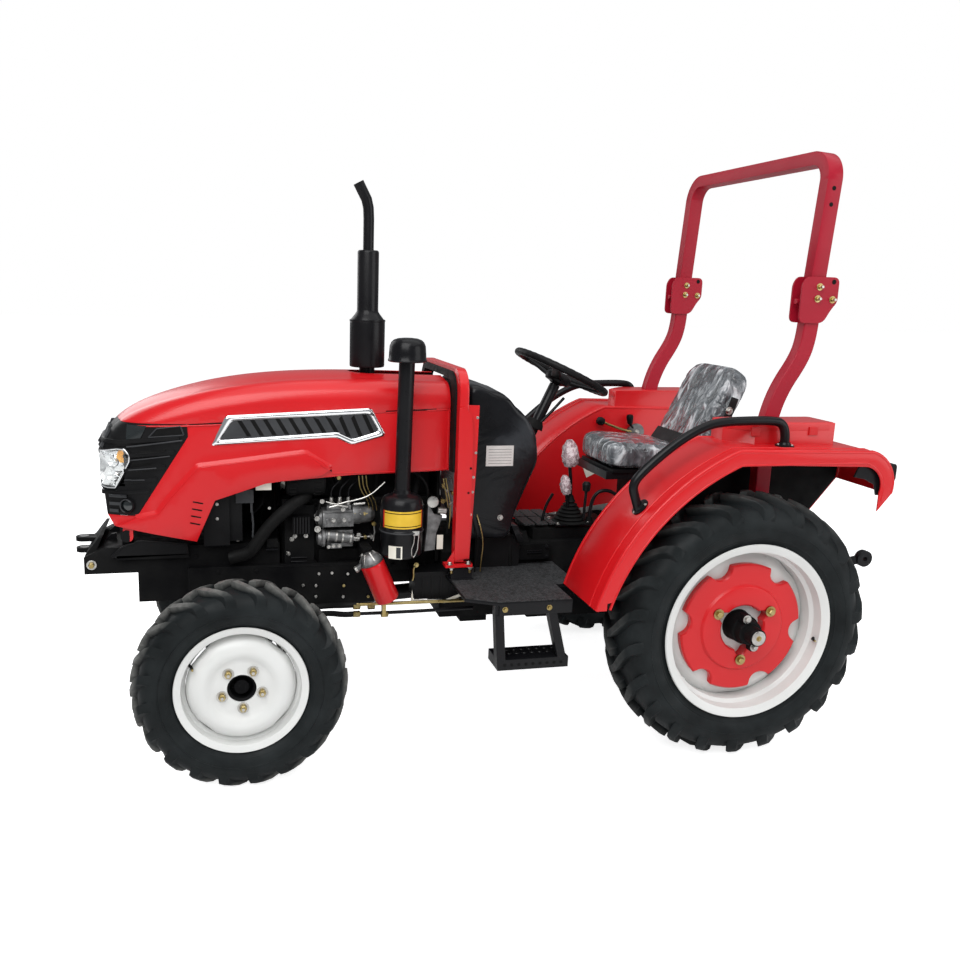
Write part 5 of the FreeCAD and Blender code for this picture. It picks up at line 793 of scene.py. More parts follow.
def hood_lines():
    """Folded edges along the seam, the bead of the rear edge and a shallow crease on the side."""
    piece = Piece("hood_edges")
    skin_rod(piece, [(2158, 1194), (1984, 1197.5), (1850, 1203)], 3.0, RED, 0.0, 20)
    skin_rod(piece, [(1262, 1245), (1030, 1256)], 3.0, RED, 0.0, 16)
    crest = spaced([(2165, 859), (2088, 879), (2048, 934), (1945, 1051), (1561, 1097), (1466, 1037)], 90)
    rows = []
    for shift, out in ((-15, -1.0), (-12, 0.6), (3, 0.8), (6, -1.0)):
        row = []
        for i, p in enumerate(crest):
            along = (crest[min(i + 3, 89)] - crest[max(i - 3, 0)]).normalized()
            q = p + Vector((-along.y, along.x)) * shift
            row.append(on_hood(q.x, q.y, out))
        rows.append(row)
    piece.loft(rows, RED, caps=False, closed=False)
    skin_rod(piece, [(1024, 1255), (1024, 1032)], 2.5, RED, 0.0, 16)
    skin_rod(piece, [(1024, 1029), (1200, 1022), (1462, 1018)], 2.5, RED, 0.0, 24)
    skin = on_hood(2200, 818).y * 1000
    piece.rod(at(2200, 178.2, 790), at(2200, skin + 3, 790), 0.0225, PLASTIC, 32)
    piece.block(at(2177.5, 178.2, 790), at(2222.5, skin + 2, 806), PLASTIC)
    piece.block(at(2176.5, 178.2, 800), at(2224, skin - 5, 822), PLASTIC)
    # black rod under the skin and black plate inside the nose: painted shade behind the gaps there
    skin_rod(piece, [(2190, 862), (2150, 885), (2110, 940)], 7.0, SHADE_AND_LINE_BLACK, -10.0, 16)
    painted_shade_backing = [(2225, 868), (2238, 920), (2165, 1170), (2070, 1170), (2150, 868)]
    piece.prism([at(x, 128, z) for x, z in painted_shade_backing], (0, 0.004, 0), SHADE_AND_LINE_BLACK)
    piece.mirrored().done("hood", smooth=60)


def hood_gaps():
    """Black strips painted as the shade in the gaps along the seam and in small slots at the nose and the corner.
    """
    marks = Piece("hood_shadow_gaps")
    for low, high in (((2158, 1199.5), (1984, 1203.5)), ((1972, 1204), (1846, 1211.5)),
                      ((1264, 1252), (1022, 1262))):
        overlay(marks, [low, high], [(low[0], low[1] - 4.5), (high[0], high[1] - 4.5)], 0.6, SHADE_AND_LINE_BLACK, count=20,
                across=1)
    overlay(marks, [(1466, 1040), (1500, 1069)], [(1463, 1024), (1508, 1052)], 0.5, SHADE_AND_LINE_BLACK, count=8, across=1)
    for k in range(4):
        x = 1962 - 4 * k
        overlay(marks, [(x - 22, 842 + 26 * k), (x + 14, 849 + 26 * k)], [(x - 20, 837 + 26 * k),
                (x + 15, 844 + 26 * k)], 0.5, SHADE_AND_LINE_BLACK, count=6, across=1)
    marks.mirrored().done("hood", smooth=40)


# ---------------------------------------------------------------- grille and lamps

def grille_detail():
    """Gloss panel and the dark intake above, the intake painted black as the shade inside it, thin grey ribs as a
    painted highlight, slats round the fog lamp.
    """
    piece = Piece("grille_detail")
    overlay(piece, [(2186, 1198), (2117, 1196)], [(2190, 1146), (2140, 1152)], 3, GLOSS, count=16)
    # intake painted black as the shade inside it
    overlay(piece, [(2084, 1184), (2000, 1194)], [(2112, 1158), (1992, 1166)], 1.0, SHADE_AND_LINE_BLACK, count=16, across=3)
    skin_rod(piece, [(2112, 1155), (2083, 1187), (2000, 1197), (1990, 1165), (2112, 1155)], 2.5, GREY, 1.0,
             60)
    # grey ribs on the black grille: painted highlight along them
    skin_rod(piece, [(2188, 1120), (1996, 1147)], 3.0, GREY, 8.0, 30)
    for points in ([(2176, 1072), (2040, 1090)], [(2184, 1038), (2088, 1048)], [(2200, 1000), (2130, 1004)]):
        skin_rod(piece, points, 2.2, GREY, 8.0, 24)
    for high, low, back in ((946, 934, 2196), (916, 905, 2214), (890, 879, 2226)):
        overlay(piece, [(2258, high), (back, high)], [(2258, low), (back, low)], 7, GREY, count=14, across=3)
    # black strips: painted shade in the slots between the slats
    for dz in (0, 24, 48):
        overlay(piece, [(2150 + dz * 0.5, 1104 - dz), (2052 + dz, 1114 - dz)],
                [(2154 + dz * 0.5, 1094 - dz), (2058 + dz, 1104 - dz)], 0.8, SHADE_AND_LINE_BLACK, count=12, across=1)
    piece.mirrored().done("hood", smooth=45)


def grille_wings():
    """Wings and short slats across the nose."""
    wings = Piece("grille_wings")
    for side in (1, -1):
        for y0, y1, z0, z1 in ((96, 140, 1180, 1112), (48, 92, 1188, 1120)):
            wings.loft([[at(2262, side * y0, z0), at(2255, side * y1, z0 - 6),
                         at(2284, side * (y1 + 14), z1), at(2292, side * (y0 + 6), z1)],
                        [at(2254, side * y0, z0 - 6), at(2247, side * y1, z0 - 12),
                         at(2276, side * (y1 + 14), z1 - 6), at(2284, side * (y0 + 6), z1 - 6)]], GREY)
        for k in range(3):
            wings.prism([at(2294, side * 30, 1128 - 15 * k), at(2294, side * 120, 1126 - 15 * k),
                         at(2286, side * 120, 1118 - 15 * k), at(2286, side * 30, 1120 - 15 * k)],
                        (0, 0, 0.006), GREY)
    wings.done("hood", bevel=0.001)


LAMP_SHAPE = [(2330, 1094), (2262, 1103), (2223, 1111), (2196, 1110), (2180, 1090), (2182, 1066),
              (2210, 1010), (2234, 968), (2262, 966), (2330, 986), (2346, 1010), (2346, 1075)]
LAMP_MIDDLE = Vector((2256, 1046))


def lamp_skin(piece, shape, middle, count, layers, mat):
    """Skin over outlines on the lens line that shrink by a share and rise by millimetres."""
    run = spaced(closed_loop(shape), count)[:-1]
    rows = [[on_lamp(*middle.lerp(p, share), out) for p in run] for share, out in layers]
    piece.loft(rows, mat, caps=False)


def headlamp_bowls():
    """Bright reflectors with two round cups each and dark stripes beside them."""
    bowl = Piece("headlamp_bowls")
    layers = ((1.0, 0.0), (0.86, -6.0), (0.7, -13.0), (0.45, -19.0), (0.2, -22.0), (0.02, -23.0))
    lamp_skin(bowl, LAMP_SHAPE, LAMP_MIDDLE, 61, layers, CHROME)
    facing = Vector((0.62, 0.76, 0.05)).normalized()
    for place, radius in (((2250, 1010), 21), ((2246, 1060), 17)):
        cup = [(-0.006, radius / 1000), (0.004, radius / 1000), (0.002, radius * 0.8 / 1000),
               (-0.004, radius * 0.4 / 1000), (-0.005, 0.004), (0.006, 0.004), (0.007, 0.002)]
        bowl.lathe(on_lamp(*place, -14), facing, cup, CHROME, steps=32)
    for k in range(5):
        stripe = spaced([(2212 - 3 * k, 1030 - 11 * k), (2236 + 2 * k, 1024 - 11 * k)], 6)
        bowl.tube([on_lamp(*p, -9) for p in stripe], 0.0016, SHADE_AND_LINE_BLACK, 8)
    bowl.mirrored().done("hood", smooth=50)


def indicator_lenses():
    """Amber segment behind the lamp's upper rear corner."""
    amber = Piece("indicator_lenses")
    shape = [(2222, 1100), (2200, 1100), (2190, 1084), (2196, 1062), (2214, 1060), (2230, 1078)]
    layers = ((1.0, -9.0), (1.0, -5.0), (0.7, -2.5), (0.3, -1.5), (0.02, -1.2))
    lamp_skin(amber, shape, Vector((2209, 1081)), 37, layers, AMBER)
    amber.mirrored().done("hood", smooth=50)


def headlamp_lenses():
    """Clear bulged lens over the whole lamp."""
    lens = Piece("headlamp_lenses")
    layers = ((1.0, 0.0), (0.97, 3.0), (0.85, 5.5), (0.6, 7.5), (0.3, 8.5), (0.02, 9.0))
    lamp_skin(lens, LAMP_SHAPE, LAMP_MIDDLE, 61, layers, LENS)
    lens.mirrored().done("hood", smooth=60)


def headlamp_bezels():
    """Bright bead round the lens with a black one outside it."""
    bezel = Piece("headlamp_bezels")
    run = spaced(closed_loop(LAMP_SHAPE), 81)
    bezel.tube([on_lamp(*p, 1.5) for p in run], 0.0035, CHROME, 10)
    bezel.tube([on_lamp(*LAMP_MIDDLE.lerp(p, 1.06), 0.5) for p in run], 0.004, PLASTIC, 10)
    bezel.mirrored().done("hood", smooth=60, replaces=["headlamps"], slot="lamp_glass")


def fog_lamps():
    """Round lamp low in the grille's corner, half ringed in grey."""
    fog = Piece("fog_lamps")
    spot = on_hood(2192, 905, 0)
    facing = Vector((0.42, 0.9, 0)).normalized()
    fog.lathe(spot, facing, [(-0.006, 0.027), (0.009, 0.027), (0.012, 0.025), (0.011, 0.022), (0.003, 0.021),
                             (0.003, 0.001)], PLASTIC, steps=40)
    fog.lathe(spot, facing, [(0.002, 0.0205), (0.006, 0.019), (0.009, 0.012), (0.010, 0.001)], GLOSS,
              steps=40)
    beside = facing.cross(UP).normalized()
    turns = [math.radians(-75 + 12 * k) for k in range(19)]
    arc = [spot + facing * 0.0125 + 0.0238 * (math.cos(a) * beside + math.sin(a) * UP) for a in turns]
    fog.tube(arc, 0.0022, GREY, 10)
    fog.mirrored().done("hood", smooth=45)


def closed_loop(points):
    """The points with the first one again at the end."""
    return [Vector(p) for p in points] + [Vector(points[0])]


def on_lamp(run, z, out):
    """Point of the lens line in millimetres: along the nose's side, round its corner, across the front."""
    corner, bend = 2276.0, 18.0
    back, half_width, slope, curve = 2116, 226, 0.0326, 0.002323
    beside = min(run, corner)
    lean = math.atan(slope + 2 * curve * (beside - back))
    x, y = beside, half_width - slope * (beside - back) - curve * (beside - back) ** 2
    if run > corner:
        x, y = x - bend * math.sin(lean), y - bend * math.cos(lean)
        turn = lean + (run - corner) / bend
        over = max(0.0, turn - math.pi / 2) * bend
        lean = min(turn, math.pi / 2)
        x, y = x + bend * math.sin(lean), y + bend * math.cos(lean) - over
    return at(x + out * math.sin(lean), y + out * math.cos(lean), z)


# ---------------------------------------------------------------- engine bay

def pipe(piece, points, radius, mat, steps=10, smooth=4):
    """Thin pipe through points, rounded at its bends."""
    run = [Vector(p) for p in points]
    for _ in range(smooth):
        new = [run[0]]
        for a, b in zip(run, run[1:]):
            new += [a.lerp(b, 0.25), a.lerp(b, 0.75)]
        new.append(run[-1])
        run = new
    piece.tube(run, radius, mat, steps)


def engine_detail():
    """Covers, studs and pipe stubs on the crankcase, and the dark plates behind them."""
    piece = Piece("engine_block_detail")
    for x in range(1080, 1620, 62):
        piece.bolt(at(x, 140, 880), ACROSS, 0.013, CASTING, CASTING)
        piece.bolt(at(x, 140, 622), ACROSS, 0.012, CASTING, CASTING)
    for x0, x1, z0, z1, out in ((1060, 1288, 760, 850, 158), (1520, 1632, 640, 880, 168),
                                (1300, 1500, 640, 700, 156), (1536, 1606, 772, 842, 190)):
        piece.block(at(x0, 138, z0), at(x1, out, z1), CASTING)
    for k in range(6):
        piece.block(at(1540 + 11 * k, 189, 775), at(1545 + 11 * k, 197, 839), BLACK)
    for x, z in ((1512, 839), (1593, 760), (1605, 748), (1618, 692), (1551, 760)):
        piece.bolt(at(x, 168 if x < 1530 or z < 770 else 190, z), ACROSS, 0.009, STEEL)
    for z in (660, 676):
        piece.tube([at(1548, 172, z), at(1608, 172, z)], 0.003, BLACK, 8)
    for x0 in (1110, 1190, 1270):
        piece.tube([at(x0, 132, 930), at(x0 + 8, 150, 930), at(x0 + 8, 150, 1020)], 0.012, CASTING, 12)
    piece.bolt(at(1551, 170, 939), ACROSS, 0.010, STEEL)
    piece.bolt(at(1544, 180, 991), ACROSS, 0.014, BRASS, STEEL)
    piece.bolt(at(1429, 180, 989), ACROSS, 0.016, BRASS, CASTING)
    piece.block(at(1418, 120, 965), at(1440, 181, 1000), CASTING)
    piece.block(at(1534, 120, 970), at(1556, 181, 1000), CASTING)
    piece.block(at(1640, -160, 720), at(1838, -150, 1170), PLASTIC)
    piece.block(at(1030, -250, 640), at(1042, 170, 1016), CASTING)
    piece.block(at(1042, -150, 640), at(1640, -142, 960), CASTING)
    piece.done("chassis", bevel=0.002)


def rail_bolts():
    """Bolts on the side rails, and a thin rod along their tops."""
    rails = Piece("rail_bolts")
    rails.rod(at(1290, 200, 646), at(1700, 200, 652), 0.002, CASTING, 8)
    for k, (x, z) in enumerate(((1505, 618), (1455, 619), (1394, 613), (1565, 574), (1516, 571), (1409, 566),
                                (1517, 527), (1411, 521), (1313, 517))):
        rails.bolt(at(x, 200, z), ACROSS, 0.0105, BRASS if k in (5, 8) else STEEL, CASTING)
    rails.mirrored().done("chassis")


def engine_right_detail():
    """Manifold and ribbed side cover on the side away from the pump, with the starter, dipstick and hose."""
    piece = Piece("engine_right_detail")
    piece.tube([at(1100, -166, 918), at(1140, -172, 926), at(1320, -172, 928), at(1500, -172, 926),
                at(1535, -166, 918)], 0.025, CASTING, 20)
    for k in range(4):
        x = 1150 + 112 * k
        piece.tube([at(x, -140, 890), at(x, -158, 898), at(x, -170, 922)], 0.019, CASTING, 16)
        piece.block(at(x - 30, -156, 870), at(x + 30, -148, 908), CASTING)
        for dx in (-22, 22):
            piece.bolt(at(x + dx, -156, 880), -ACROSS, 0.012, STEEL)
    piece.block(at(1292, -164, 690), at(1512, -150, 830), CASTING)
    for k in range(6):
        for z in (700, 820):
            piece.bolt(at(1304 + 39 * k, -164, z), -ACROSS, 0.010, STEEL)
    for x in range(1300, 1512, 42):
        piece.block(at(x, -170, 716), at(x + 7, -163, 804), CASTING)
    right_starter(piece)
    dipstick_and_hose(piece)
    piece.done("chassis", bevel=0.002)


def right_starter(piece):
    """Starter motor, its solenoid and its cable."""
    piece.lathe(at(1046, -196, 722), AHEAD, [(0, 0.054), (0.016, 0.054), (0.020, 0.044), (0.160, 0.044),
                                             (0.164, 0.047), (0.176, 0.047), (0.182, 0.040),
                                             (0.190, 0.020)], BLACK, 40)
    piece.lathe(at(1066, -200, 788), AHEAD, [(0, 0.016), (0.006, 0.025), (0.084, 0.025), (0.088, 0.016),
                                             (0.100, 0.014), (0.102, 0.004)], BLACK, 28)
    piece.block(at(1070, -210, 750), at(1120, -186, 776), BLACK)
    for y, z in ((-232, 754), (-160, 690)):
        piece.bolt(at(1064, y, z), AHEAD, 0.014, BRASS)
    for dy in (-12, 12):
        piece.rod(at(1166, -200 + dy, 788), at(1180, -200 + dy, 788), 0.004, BRASS, 10)
    pipe(piece, [at(1180, -212, 788), at(1215, -214, 792), at(1250, -190, 770), at(1270, -166, 742)], 0.005,
         RUBBER)


def dipstick_and_hose(piece):
    """Dipstick with its ring, and the lower coolant hose."""
    pipe(piece, [at(1546, -150, 760), at(1550, -166, 800), at(1548, -168, 880), at(1546, -168, 960)], 0.004,
         STEEL)
    pipe(piece, [at(1546, -168, 960), at(1536, -168, 974), at(1546, -168, 988), at(1556, -168, 974),
                 at(1546, -168, 960)], 0.0022, STEEL)
    pipe(piece, [at(1640, -120, 760), at(1604, -166, 762), at(1560, -176, 790), at(1536, -176, 850),
                 at(1530, -168, 905)], 0.017, RUBBER)


def injection_pump(piece):
    """Ribbed pump body with its valves, pipes and governor."""
    piece.block(at(1376, 140, 806), at(1486, 222, 858), ALLOY)
    piece.block(at(1370, 150, 858), at(1492, 214, 868), ALLOY)
    piece.block(at(1384, 176, 868), at(1476, 206, 886), ALLOY)
    for k in range(5):
        piece.lathe(at(1390 + 21 * k, 222, 832), ACROSS, [(0, 0.0085), (0.004, 0.0085), (0.005, 0.006),
                                                          (0.005, 0.0002)], STEEL if k % 2 else ALLOY, 18)
    for k in range(8):
        piece.block(at(1378 + 14 * k, 221, 808), at(1381 + 14 * k, 227, 822), ALLOY)
    piece.lathe(at(1486, 184, 832), AHEAD, [(0, 0.040), (0.006, 0.040), (0.010, 0.034), (0.024, 0.030),
                                            (0.030, 0.020)], ALLOY, 36)
    piece.lathe(at(1378, 188, 845), -AHEAD, [(0, 0.038), (0.026, 0.038), (0.040, 0.033), (0.070, 0.031),
                                             (0.082, 0.022), (0.088, 0.010)], ALLOY, 40)
    for k in range(4):
        turn = math.radians(45 + 90 * k)
        piece.bolt(at(1350, 188 + 30 * math.cos(turn), 845 + 30 * math.sin(turn)), -AHEAD, 0.008, STEEL)
    piece.rod(at(1372, 196, 886), at(1330, 206, 892), 0.006, STEEL, 14)
    piece.tube([at(1398, 214, 872), at(1400, 228, 884), at(1436, 230, 892), at(1470, 228, 884)], 0.004,
               STEEL, 10)
    for k in range(3):
        x = 1392 + 33 * k
        piece.lathe(at(x, 190, 884), UP, [(0, 0.011), (0.014, 0.011), (0.014, 0.008), (0.030, 0.008),
                                          (0.032, 0.005)], STEEL, 16)
        pipe(piece, [at(x, 190, 914), at(x, 190, 946), at(x - 30, 186, 976), at(x - 60, 150, 1010),
                     at(x - 60, 112, 1030)], 0.0030, BLACK)


def feed_pump(piece):
    """Ringed cylinder, flange and block below the injection pump."""
    piece.block(at(1376, 140, 724), at(1476, 206, 788), ALLOY)
    front, back = at(1484, 212, 772), at(1376, 216, 757)
    piece.rod(front, back, 0.019, ALLOY, 32)
    for share in (0.12, 0.4, 0.62, 0.9):
        piece.lathe(front.lerp(back, share), back - front, [(-0.003, 0.0215), (0.003, 0.0215)], STEEL, 32)
    piece.lathe(at(1484, 200, 758), AHEAD, [(0, 0.034), (0.010, 0.034), (0.014, 0.028), (0.026, 0.026),
                                            (0.030, 0.012)], ALLOY, 32)
    piece.rod(at(1378, 216, 757), at(1352, 216, 754), 0.010, STEEL, 16)
    piece.block(at(1420, 206, 722), at(1462, 222, 742), ALLOY)
    for x, z in ((1430, 731), (1452, 731), (1470, 728)):
        piece.bolt(at(x, 222, z), ACROSS, 0.007, STEEL)


def pump_pipes(piece):
    """Fuel pipes, eyes and small bolts around the pump."""
    for dx in (0, 14, 28):
        pipe(piece, [at(1357 - dx, 212, 1000), at(1352 - dx, 214, 948), at(1318 - dx, 214, 900),
                     at(1312 - dx, 200, 860)], 0.0022, BRASS)
    pipe(piece, [at(1480, 210, 902), at(1441, 218, 890), at(1406, 220, 902), at(1386, 220, 904),
                 at(1316, 220, 921), at(1257, 220, 975)], 0.0032, STEEL)
    for x, z, size, mat in ((1495, 905, 0.009, STEEL), (1514, 839, 0.010, STEEL), (1512, 798, 0.013, STEEL),
                            (1416, 872, 0.009, STEEL), (1371, 853, 0.009, BRASS), (1352, 852, 0.009, STEEL),
                            (1334, 852, 0.008, BRASS), (1355, 770, 0.009, STEEL), (1330, 761, 0.008, BRASS),
                            (1304, 761, 0.009, STEEL), (1297, 812, 0.009, BRASS)):
        piece.bolt(at(x, 218, z), ACROSS, size, mat)
        piece.rod(at(x, 180, z), at(x, 218, z), 0.005, mat, 12)
    piece.rod(at(1372, 216, 853), at(1322, 216, 853), 0.0035, BRASS, 12)
    piece.rod(at(1372, 216, 762), at(1296, 216, 762), 0.0035, STEEL, 12)
    piece.tube([at(1297, 214, 812), at(1293, 216, 780), at(1300, 216, 745)], 0.0035, STEEL, 10)
    piece.tube([at(1500, 210, 905), at(1508, 212, 870), at(1514, 212, 839), at(1512, 214, 798)], 0.004,
               RUBBER, 10)


def alternator_and_starter(piece):
    """Slotted alternator with its pulley, and the starter with its solenoid."""
    centre = at(1480, 180, 980)
    piece.lathe(centre, AHEAD, [(0, 0.030), (0.004, 0.050), (0.012, 0.055), (0.138, 0.055), (0.146, 0.050),
                                (0.150, 0.024)], CASTING, 48)
    # black rods round the body: painted shade in its cooling slots
    for k in range(18):
        turn = 2 * math.pi * k / 18
        out = math.cos(turn) * ACROSS + math.sin(turn) * UP
        for x in (0.020, 0.112):
            piece.rod(centre + AHEAD * x + out * 0.055, centre + AHEAD * (x + 0.024) + out * 0.055, 0.003,
                      SHADE_AND_LINE_BLACK, 8)
    piece.lathe(centre + AHEAD * 0.150, AHEAD, [(0, 0.020), (0.003, 0.034), (0.010, 0.026), (0.017, 0.034),
                                                (0.020, 0.012)], STEEL, 36)
    piece.block(at(1484, 110, 956), at(1630, 160, 1004), CASTING)
    starter = at(1112, 178, 702)
    piece.lathe(starter, AHEAD, [(0, 0.022), (0.006, 0.034), (0.014, 0.036), (0.118, 0.036), (0.124, 0.032),
                                 (0.150, 0.028)], CASTING, 40)
    piece.lathe(at(1124, 184, 756), AHEAD, [(0, 0.016), (0.004, 0.022), (0.078, 0.022), (0.084, 0.014)],
                CASTING, 32)
    piece.bolt(at(1124, 184, 756), -AHEAD, 0.009, BRASS)


def fan_and_pulley(piece):
    """Grooved crank pulley, the fan's mount, the fan and the belt."""
    front = at(1644, 0, 800)
    piece.lathe(front, AHEAD, [(0, 0.030), (0.003, 0.052), (0.008, 0.052), (0.014, 0.042), (0.020, 0.052),
                               (0.026, 0.052), (0.030, 0.020)], CASTING, 48)
    piece.block(at(1640, -40, 850), at(1704, 40, 1004), CASTING)
    fan(piece)
    fan_belt(piece)


def fan(piece):
    """Six twisted blades on a hub."""
    hub = at(1708, 0, 965)
    pitch = math.radians(32)
    piece.lathe(hub, AHEAD, [(0, 0.020), (0.002, 0.040), (0.038, 0.040), (0.044, 0.024), (0.045, 0.001)],
                PLASTIC, 40)
    for k in range(6):
        turn = math.pi / 3 * k
        out = math.cos(turn) * UP + math.sin(turn) * ACROSS
        aside = out.cross(AHEAD)
        rows = []
        for reach, wide in ((0.036, 0.026), (0.090, 0.034), (0.150, 0.038), (0.188, 0.034)):
            lean = aside * math.cos(pitch) + AHEAD * math.sin(pitch)
            flat = lean.cross(out).normalized()
            middle = hub + AHEAD * 0.022 + out * reach
            rows.append([middle - lean * wide - flat * 0.002, middle - flat * 0.005,
                         middle + lean * wide - flat * 0.002, middle + lean * wide + flat * 0.002,
                         middle - flat * 0.001, middle - lean * wide + flat * 0.002])
        piece.loft(rows, PLASTIC)


def fan_belt(piece):
    """Belt round the crank pulley and the fan's pulley."""
    belt = []
    for radius, height, start in ((50, 800, math.pi), (44, 962, 0)):
        for k in range(25):
            turn = start + math.pi * k / 24
            belt.append(at(1660, radius * math.cos(turn), height + radius * math.sin(turn)))
    piece.tube(belt + belt[:1], 0.006, RUBBER, 8)


def fittings_detail():
    """Everything bolted to the engine's left side and front."""
    piece = Piece("engine_fittings_detail")
    injection_pump(piece)
    feed_pump(piece)
    pump_pipes(piece)
    alternator_and_starter(piece)
    fan_and_pulley(piece)
    pipe(piece, [at(1545, 150, 925), at(1553, 190, 919), at(1600, 206, 897), at(1650, 208, 856),
                 at(1700, 208, 806), at(1740, 206, 745), at(1768, 200, 706), at(1838, 190, 690)], 0.0235,
         RUBBER, 24, 3)
    piece.done("chassis", bevel=0.0012, smooth=40, replaces=["engine_fittings"], slot="alloy")


def radiator_detail():
    """Fan shroud, coolant bottle, blank tag and the radiator's fins."""
    piece = Piece("radiator_detail")
    piece.block(at(1836, 212, 748), at(1930, 222, 1180), PLASTIC)
    piece.block(at(1748, 198, 905), at(1812, 216, 955), GREY)
    piece.block(at(1752, 196, 868), at(1760, 214, 905), GREY)
    piece.block(at(1684, 236, 958), at(1741, 239, 996), CREAM)
    piece.block(at(1700, 205, 990), at(1728, 238, 1000), PLASTIC)
    piece.tube([at(1755, 200, 880), at(1750, 200, 820), at(1752, 200, 770)], 0.004, GREY, 10)
    for x, z in ((1880, 905), (1880, 850), (1690, 880), (1806, 760)):
        piece.bolt(at(x, 222 if x > 1830 else 200, z), ACROSS, 0.006, STEEL)
    piece.block(at(1659, 178, 716), at(1703, 200, 722), BLACK)
    piece.block(at(1660, 176, 726), at(1700, 196, 760), CASTING)
    for side in (1, -1):
        piece.block(at(1790, side * 196, 760), at(1838, side * 206, 1180), PLASTIC)
    piece.block(at(1790, -206, 1172), at(1838, 206, 1182), PLASTIC)
    for k in range(26):
        piece.block(at(1926, -205 + 16 * k, 760), at(1930, -199 + 16 * k, 1200), PLASTIC)
    piece.done("chassis", bevel=0.0015)


def oil_filter_detail():
    """Red oil filter, leaning forward, and the head above it."""
    piece = Piece("oil_filter_detail")
    top, low = at(1321, 330, 691), at(1258, 330, 543)
    up = (top - low).normalized()
    span = (top - low).length
    piece.lathe(low, up, [(0, 0.030), (0.002, 0.041), (0.010, 0.046), (span - 0.014, 0.046),
                          (span - 0.006, 0.047), (span, 0.045)], RED, 48)
    piece.done("chassis", replaces=["oil_filter"], slot="red_paint", smooth=40)
    filter_head(top, up)


def filter_head(top, up):
    """Ribbed head on the filter, with its outlets and the arm to the engine."""
    head = Piece("filter_head_detail")
    head.lathe(top, up, [(0.001, 0.044), (0.010, 0.046), (0.016, 0.042), (0.028, 0.036), (0.040, 0.024),
                         (0.044, 0.008)], ALLOY, 36)
    for k in range(6):
        a = math.radians(60 * k + 15)
        side = up.cross(ACROSS).normalized()
        out = math.cos(a) * side + math.sin(a) * ACROSS
        edge = out.cross(up) * 0.003
        high, foot = top + out * 0.020 + up * 0.040, top + out * 0.043 + up * 0.012
        head.prism([high + edge, foot + edge, foot - edge, high - edge], up * 0.008, STEEL)
    head.rod(at(1340, 332, 700), at(1376, 332, 672), 0.011, ALLOY, 20)
    head.lathe(at(1376, 332, 672), at(1376, 332, 672) - at(1340, 332, 700), [(0, 0.013), (0.010, 0.013)],
               STEEL, 6)
    head.rod(at(1350, 322, 712), at(1362, 322, 722), 0.008, STEEL, 16)
    head.block(at(1318, 140, 704), at(1356, 318, 742), CASTING)
    head.done("chassis", bevel=0.001, smooth=40)


# ---------------------------------------------------------------- air cleaner, exhaust, arch, steering wheel

AIR_CLEANER_RADIUS = 0.0815


def air_cleaner_detail():
    """Air cleaner with its intake pipe, cap and elbow."""
    piece = Piece("air_cleaner_detail")
    base = at(1212, 330, 718)
    r = AIR_CLEANER_RADIUS
    piece.lathe(base, UP, [(0, 0.060), (0.004, r - 0.010), (0.012, r - 0.004), (0.092, r - 0.003),
                           (0.095, r - 0.001), (0.102, r), (0.107, r - 0.001), (0.109, r - 0.003),
                           (0.118, r - 0.002), (0.196, r - 0.002), (0.214, r - 0.006), (0.226, r - 0.014),
                           (0.233, r - 0.026), (0.234, 0.044), (0.240, 0.034), (0.252, 0.031)], BLACK, 96)
    piece.lathe(base, UP, [(0.098, r + 0.0005), (0.101, r + 0.002), (0.104, r + 0.0005)], GREY, 96,
                caps=False)
    pipe_run = [at(1212, 330, 950), at(1210, 330, 1100), at(1207, 330, 1300), at(1204, 330, 1449)]
    piece.tube(pipe_run, 0.029, BLACK, 40)
    cap = at(1203, 330, 1439)
    piece.lathe(cap, UP, [(0.006, 0.034), (0.000, 0.066), (0.002, 0.070), (0.006, 0.071), (0.012, 0.068),
                          (0.030, 0.067), (0.056, 0.065), (0.070, 0.059), (0.078, 0.050), (0.083, 0.036),
                          (0.085, 0.018), (0.0855, 0.001)], BLACK, 72)
    piece.rod(at(1212, 245, 870), at(1212, 142, 870), 0.026, RUBBER, 32)
    piece.rod(at(1150, 250, 905), at(1118, 160, 990), 0.012, CASTING, 16)
    piece.block(at(1140, 200, 700), at(1160, 255, 740), CASTING)
    piece.done("chassis", replaces=["air_cleaner"], slot="black_paint", smooth=35)


